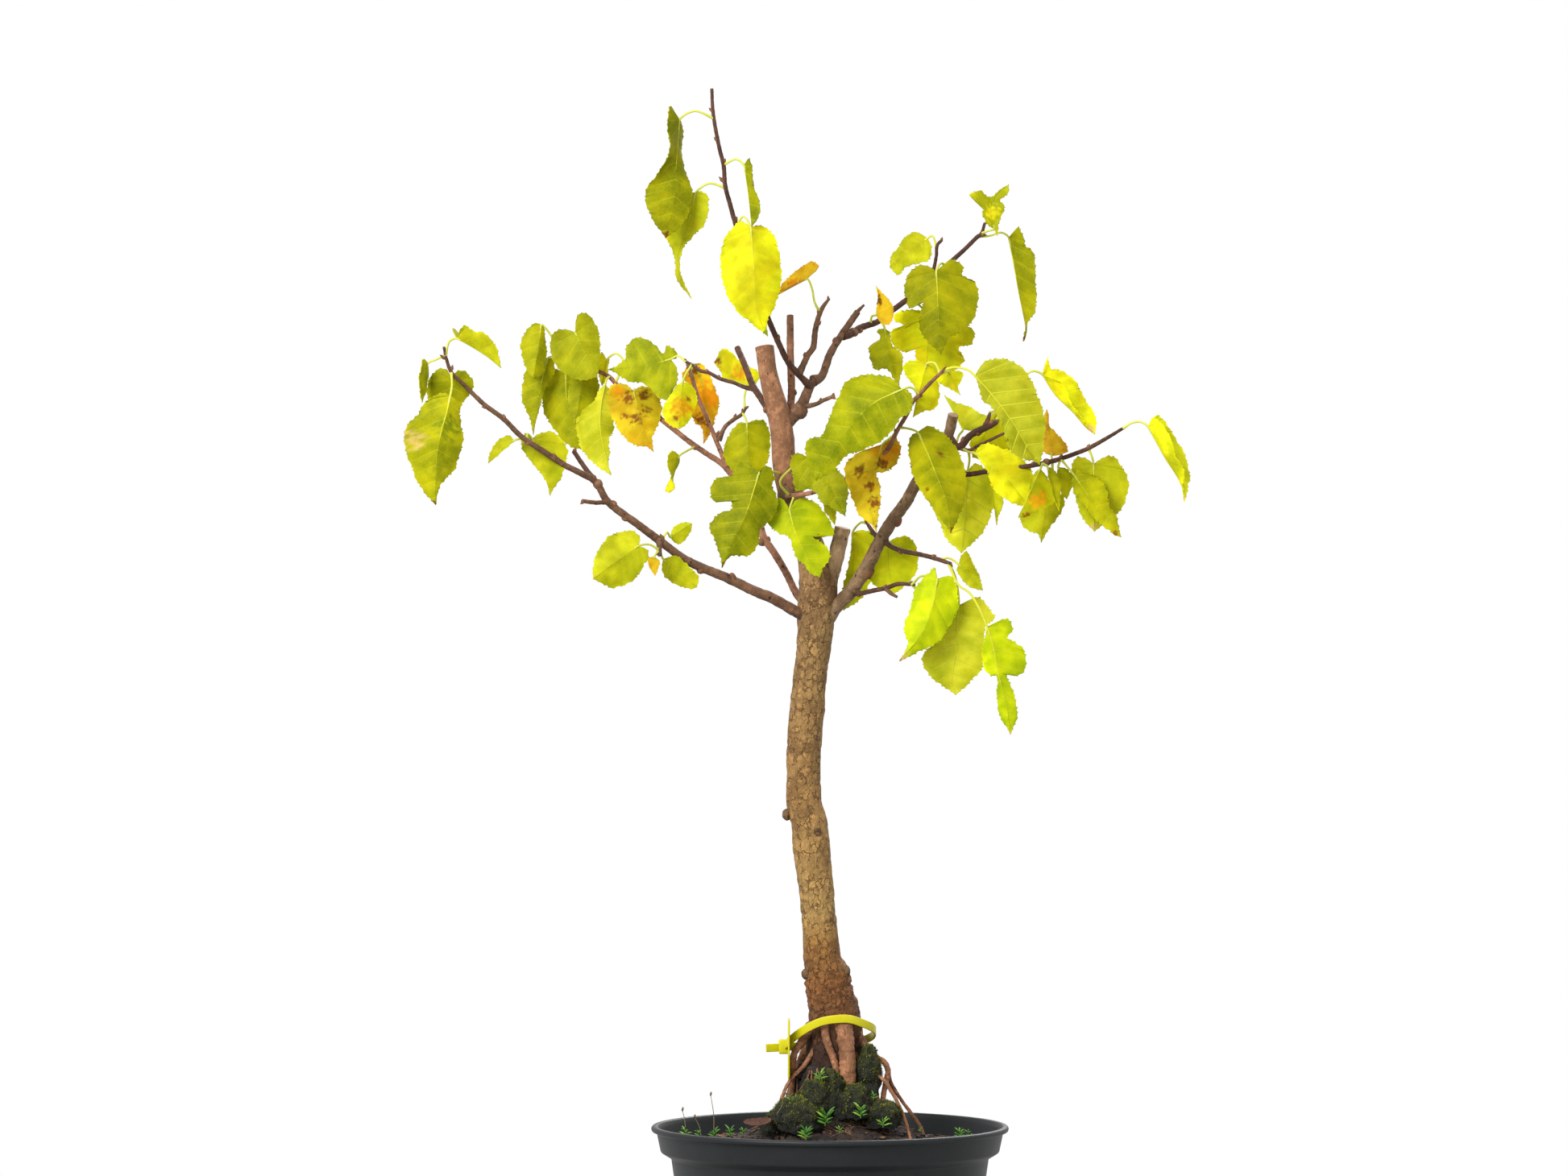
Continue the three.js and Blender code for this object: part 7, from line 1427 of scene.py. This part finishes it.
def makeMoss():
    chance = np.random.default_rng(8)
    build = Build()
    dark, middle, light = (paint(*mossLook[key]) for key in ("dark", "middle", "light"))
    feet, outs = [], []
    for dome in mossDomes:
        x, z, depth, radius, height = dome
        rise = np.linspace(-0.6, math.pi / 2, 34)[:, None]
        turn = np.linspace(0, 2 * math.pi, 73)[None, :]
        out = np.stack([np.cos(turn) * np.cos(rise), np.sin(turn) * np.cos(rise),
                        np.sin(rise) * np.ones_like(turn)], -1)
        rows = place(x, z, depth) + out * (radius, radius, height)
        lumps = mossLumps(rows)
        lumps[:, -1] = lumps[:, 0]
        rows = rows + out * (lumps - 0.6)[..., None]
        # painted shade: each dome is darkest at its foot and in its hollows, and lighter on its lumps and its
        # top
        shade = np.clip(0.2 + 0.25 * lumps, 0, 1)[..., None] * np.clip(rise[..., None], 0, 1)
        build.grid(rows, dark * (1 - shade) + middle * shade)
        count = int(mossLook["shoots"] * radius * height / sum(d[3] * d[4] for d in mossDomes))
        for _ in range(count):
            foot, out = onMoss(dome, anyTurn(chance), math.asin(1.25 * chance.random() - 0.25))
            feet.append(foot)
            outs.append(out)
    feet, outs = np.array(feet), np.array(outs)
    feet = feet + outs * (mossLumps(feet) - 0.9)[:, None]
    # moss that climbs the peat between the roots, thicker at the front and on the right
    turn = -math.pi / 2 + (chance.random(mossLook["ballShoots"]) - 0.4) * 3.6
    r = 20.5 + 15 * chance.random(mossLook["ballShoots"])
    ball = np.stack([r * np.cos(turn), r * np.sin(turn), soilHeight(r)], -1)
    keep = grain(ball, 7.0, 11.0) > 0.0
    ball = ball[keep]
    ballOut = unit(np.column_stack([ball[:, :2] / 22, np.full(len(ball), 0.55)]))
    feet, outs = np.vstack([feet, ball]), np.vstack([outs, ballOut])
    count = len(feet)
    leans = unit(outs + (chance.random((count, 3)) - 0.5) * 1.5)
    tufts = grain(feet, 4.0, 2.0)
    lengths = mossLook["reach"] * (0.55 + chance.random(count) + np.clip(tufts, 0, 1))
    fresh = np.clip(0.4 + 1.5 * tufts + 0.5 * (chance.random(count) - 0.5), 0, 1)[:, None]
    tints = dark * (1 - fresh) + middle * fresh
    tips = middle * (1 - fresh) + light * fresh
    addShoots(build, feet, leans, lengths, 0.45 + 0.4 * chance.random(count), tints, tips)
    moss = earthMaterial("moss", roughness=0.95, contrast=0.6)
    build.finish("moss_cushion", moss, replaces=["moss"])


# Seedlings on the moss and soil: x, z and depth of the foot, height and number of leaves. Below them stand
# the spore stalks, each with its foot and tip
sproutPlaces = [(-6.5, 210, -36, 9, 9), (-3, 184, -46, 14, 15), (-15, 174, -54, 11, 13),
                (19, 188, -45, 12, 11), (33, 181, -44, 9, 9), (80, 174, -34, 9, 12), (86, 174, -30, 6, 8),
                (-72, 174, -36, 8, 9), (-62, 175, -40, 8, 10), (-54, 175, -44, 6, 8), (-90, 175, -30, 7, 8),
                (-82, 174, -38, 6, 7), (6, 176, -56, 6, 8), (-25, 196, -46, 5, 6), (27, 197, -33, 6, 7),
                (56, 176, -46, 4, 6)]
stalkPlaces = [((-72, 172, -34), (-74, 197, -34)), ((-90, 172, -28), (-91.5, 187.5, -28)),
               ((-80, 172, -34), (-84, 183, -34)), ((-33, 185, -46), (-29, 194, -48))]
sproutLook = dict(greens=[(96, 168, 34), (132, 190, 48), (72, 134, 28)], stalk=(120, 110, 60),
                  capsule=(110, 84, 44))


def makeSprouts():
    chance = np.random.default_rng(12)
    build = Build()
    greens = [paint(*tint) for tint in sproutLook["greens"]]
    for x, z, depth, height, leaves in sproutPlaces:
        foot = place(x, z, depth)
        foot[2] = max(foot[2] - height * 0.45, soilHeight(math.hypot(foot[0], foot[1])) - 0.5)
        stem = foot + np.linspace(0, 0.55, 6)[:, None] * np.array([0.08, -0.05, 1.0]) * height
        tube(build, stem, np.full(6, 0.36), 6, greens[2])
        for k in range(leaves):
            turn = k * 2.4 + 0.5 * chance.random()
            lean = unit(np.array([math.cos(turn), math.sin(turn), 0.25 + 0.9 * k / leaves]))
            start = stem[1 + int(4 * k / leaves)]
            reach = height * (0.38 + 0.3 * chance.random())
            t = np.linspace(0, 1, 8)
            line = start + t[:, None] * lean * reach
            line[:, 2] += (t ** 2) * reach * 0.25 - (t ** 3) * reach * 0.3
            width = reach * 0.085 * np.array([0.4, 0.7, 1.0, 1.15, 1.1, 0.85, 0.5, 0.06])
            tube(build, line, width, 5, greens[int(chance.integers(3))], capped=False)
    for foot, tip in stalkPlaces:
        foot, tip = place(*foot), place(*tip)
        line = smoothLine([foot, (foot + tip) / 2 + (0.9, 0, 0), tip], 6)
        tube(build, line, np.linspace(0.32, 0.2, len(line)), 5, paint(*sproutLook["stalk"]))
        tube(build, tip + np.linspace(-0.8, 2.0, 7)[:, None] * np.array([[0.2, 0, 1]]),
             np.array([0.2, 0.45, 0.62, 0.66, 0.6, 0.42, 0.1]), 6, paint(*sproutLook["capsule"]))
    green = earthMaterial("seedlings", roughness=0.6, contrast=0.8)
    build.finish("seedlings", green, replaces=["moss"])


makeSoil()
makeMoss()
makeSprouts()
print("soil and moss made")


# Yellow marker tie: a strap round the foot of the trunk, through a head that holds a blank flag
tieLook = dict(route=[(-28, 227, -3), (-26.5, 229, -8), (-22, 233, -13), (-14, 238.5, -18), (-5, 242.5, -21),
                      (4, 244, -22.5), (12, 244, -21.5), (20, 241.5, -17), (26.5, 238.5, -9), (28, 236, 0),
                      (25.5, 233, 10), (18, 230, 18), (6, 228.5, 22.5), (-6, 228, 21), (-17, 227.5, 14),
                      (-24, 227, 6), (-30, 226.5, -1), (-39.5, 226, -5)],
               width=5.0, thickness=1.3, corner=0.4, ribs=26, head=(-28.5, 227, -3),
               headSize=(6.5, 5.5, 9), flag=(-25.5, 226, -14), flagSize=(1.3, 20, 36),
               colour=(250, 242, 24), worn=(236, 222, 12))


def addEnds(build, rows, tint, turned):
    face = np.arange(rows.shape[1])[None, :]
    build.add(rows[0], face[:, ::-1] if turned else face, tint)
    build.add(rows[-1], face if turned else face[:, ::-1], tint)


def addBox(build, centre, size, radius, tint):
    # a box with rounded long edges: its outline in plan is carried up and drawn in at both ends
    hx, hy, hz = (s / 2 for s in size)
    outline = []
    for cx, cy, start in ((hx, hy, 0), (-hx, hy, 90), (-hx, -hy, 180), (hx, -hy, 270)):
        for step in range(5):
            a = math.radians(start + step * 22.5)
            outline.append((math.copysign(hx - radius, cx) + radius * math.cos(a),
                            math.copysign(hy - radius, cy) + radius * math.sin(a)))
    outline = np.array(outline)
    shrink = [(0, radius * 0.98), (0.0, radius * 0.6), (radius * 0.35, radius * 0.2), (radius, 0)]
    rows = []
    for end in (-1, 1):
        levels = shrink if end < 0 else shrink[::-1]
        for rise, inset in levels:
            scale = np.array([(hx - inset) / hx, (hy - inset) / hy])
            rows.append(np.column_stack([outline * scale, np.full(len(outline), end * (hz - rise))]))
    rows = np.array(rows) + centre
    build.grid(rows, tint, around=True, turned=True)
    addEnds(build, rows, tint, turned=True)


def makeTie():
    look = tieLook
    tint = paint(*look["colour"])
    build = Build()
    line = smoothLine([place(*point) for point in look["route"]], 14)
    line = resample(line, 300)
    along = unit(np.gradient(line, axis=0))
    up = unit(np.array([0, 0, 1.0]) - along * along[:, 2:3])
    out = np.cross(along, up)
    corner = look["corner"]
    section = []
    for cx, cz, start in ((1, 1, 0), (-1, 1, 90), (-1, -1, 180), (1, -1, 270)):
        for step in range(4):
            a = math.radians(start + step * 30)
            section.append((cx * (look["thickness"] / 2 - corner) + corner * math.cos(a),
                            cz * (look["width"] / 2 - corner) + corner * math.sin(a)))
    section = np.array(section)
    rows = line[:, None] + out[:, None] * section[None, :, :1] + up[:, None] * section[None, :, 1:]
    build.grid(rows, tint, around=True)
    addEnds(build, rows, tint, turned=False)
    addBox(build, place(*look["head"]), look["headSize"], 1.0, tint)
    addBox(build, place(*look["flag"]), look["flagSize"], 0.6, tint)
    for k in range(look["ribs"]):
        at = 6 + k * 3
        rib = [line[at] + out[at] * 0.62 + up[at] * s for s in (-1.3, 1.3)]
        tube(build, np.linspace(rib[0], rib[1], 3), [0.16, 0.2, 0.16], 4, tint)
    plastic = plasticMaterial("tie plastic", tint, paint(*look["worn"]), roughness=0.32, grit=0.06)
    build.finish("marker_tie_strap", plastic, replaces=["marker_tie"])
    print("tie made")


makeTie()


# Floor, light and camera
scene = bpy.context.scene
scene.view_settings.view_transform = "Standard"

stage = dict(floorRadius=1400.0, floorSides=96, floor=(250, 250, 248), world=1.0, keyPower=135.0,
             fillPower=10.0, rimPower=50.0)


def makeFloor():
    turn = np.linspace(0, 2 * math.pi, stage["floorSides"] + 1)[:-1]
    rim = np.column_stack([np.cos(turn), np.sin(turn), np.zeros(len(turn))]) * stage["floorRadius"]
    mesh = bpy.data.meshes.new("floor")
    mesh.from_pydata((rim * mm).tolist(), [], [list(range(len(turn)))])
    material, _, surface = newMaterial("floor")
    surface.inputs["Base Color"].default_value = (*paint(*stage["floor"]), 1.0)
    surface.inputs["Roughness"].default_value = 0.9
    mesh.materials.append(material)
    floor = bpy.data.objects.new("floor", mesh)
    scene.collection.objects.link(floor)


def makeLamp(name, position, power, size):
    lamp = bpy.data.lights.new(name, "AREA")
    lamp.energy = power
    lamp.size = size
    holder = bpy.data.objects.new(name, lamp)
    holder.location = position
    holder.rotation_euler = (Vector((0, 0, 0.5)) - holder.location).to_track_quat("-Z", "Y").to_euler()
    scene.collection.objects.link(holder)


makeFloor()
world = bpy.data.worlds.new("studio")
world.use_nodes = True
world.node_tree.nodes["Background"].inputs["Color"].default_value = (1, 1, 1, 1)
world.node_tree.nodes["Background"].inputs["Strength"].default_value = stage["world"]
scene.world = world
makeLamp("key", (-1.3, -1.9, 1.9), stage["keyPower"], 1.4)
makeLamp("fill", (1.7, -1.5, 1.0), stage["fillPower"], 1.6)
makeLamp("rim", (0.6, 1.8, 1.8), stage["rimPower"], 1.2)

lens = bpy.data.cameras.new("view")
lens.lens = view["lens"]
lens.sensor_width = view["sensor"]
lens.clip_end = 50
camera = bpy.data.objects.new("view", lens)
camera.location = (view["x"] * mm, -view["distance"] * mm, view["z"] * mm)
camera.rotation_euler = (math.pi / 2, 0, 0)
scene.collection.objects.link(camera)
scene.camera = camera
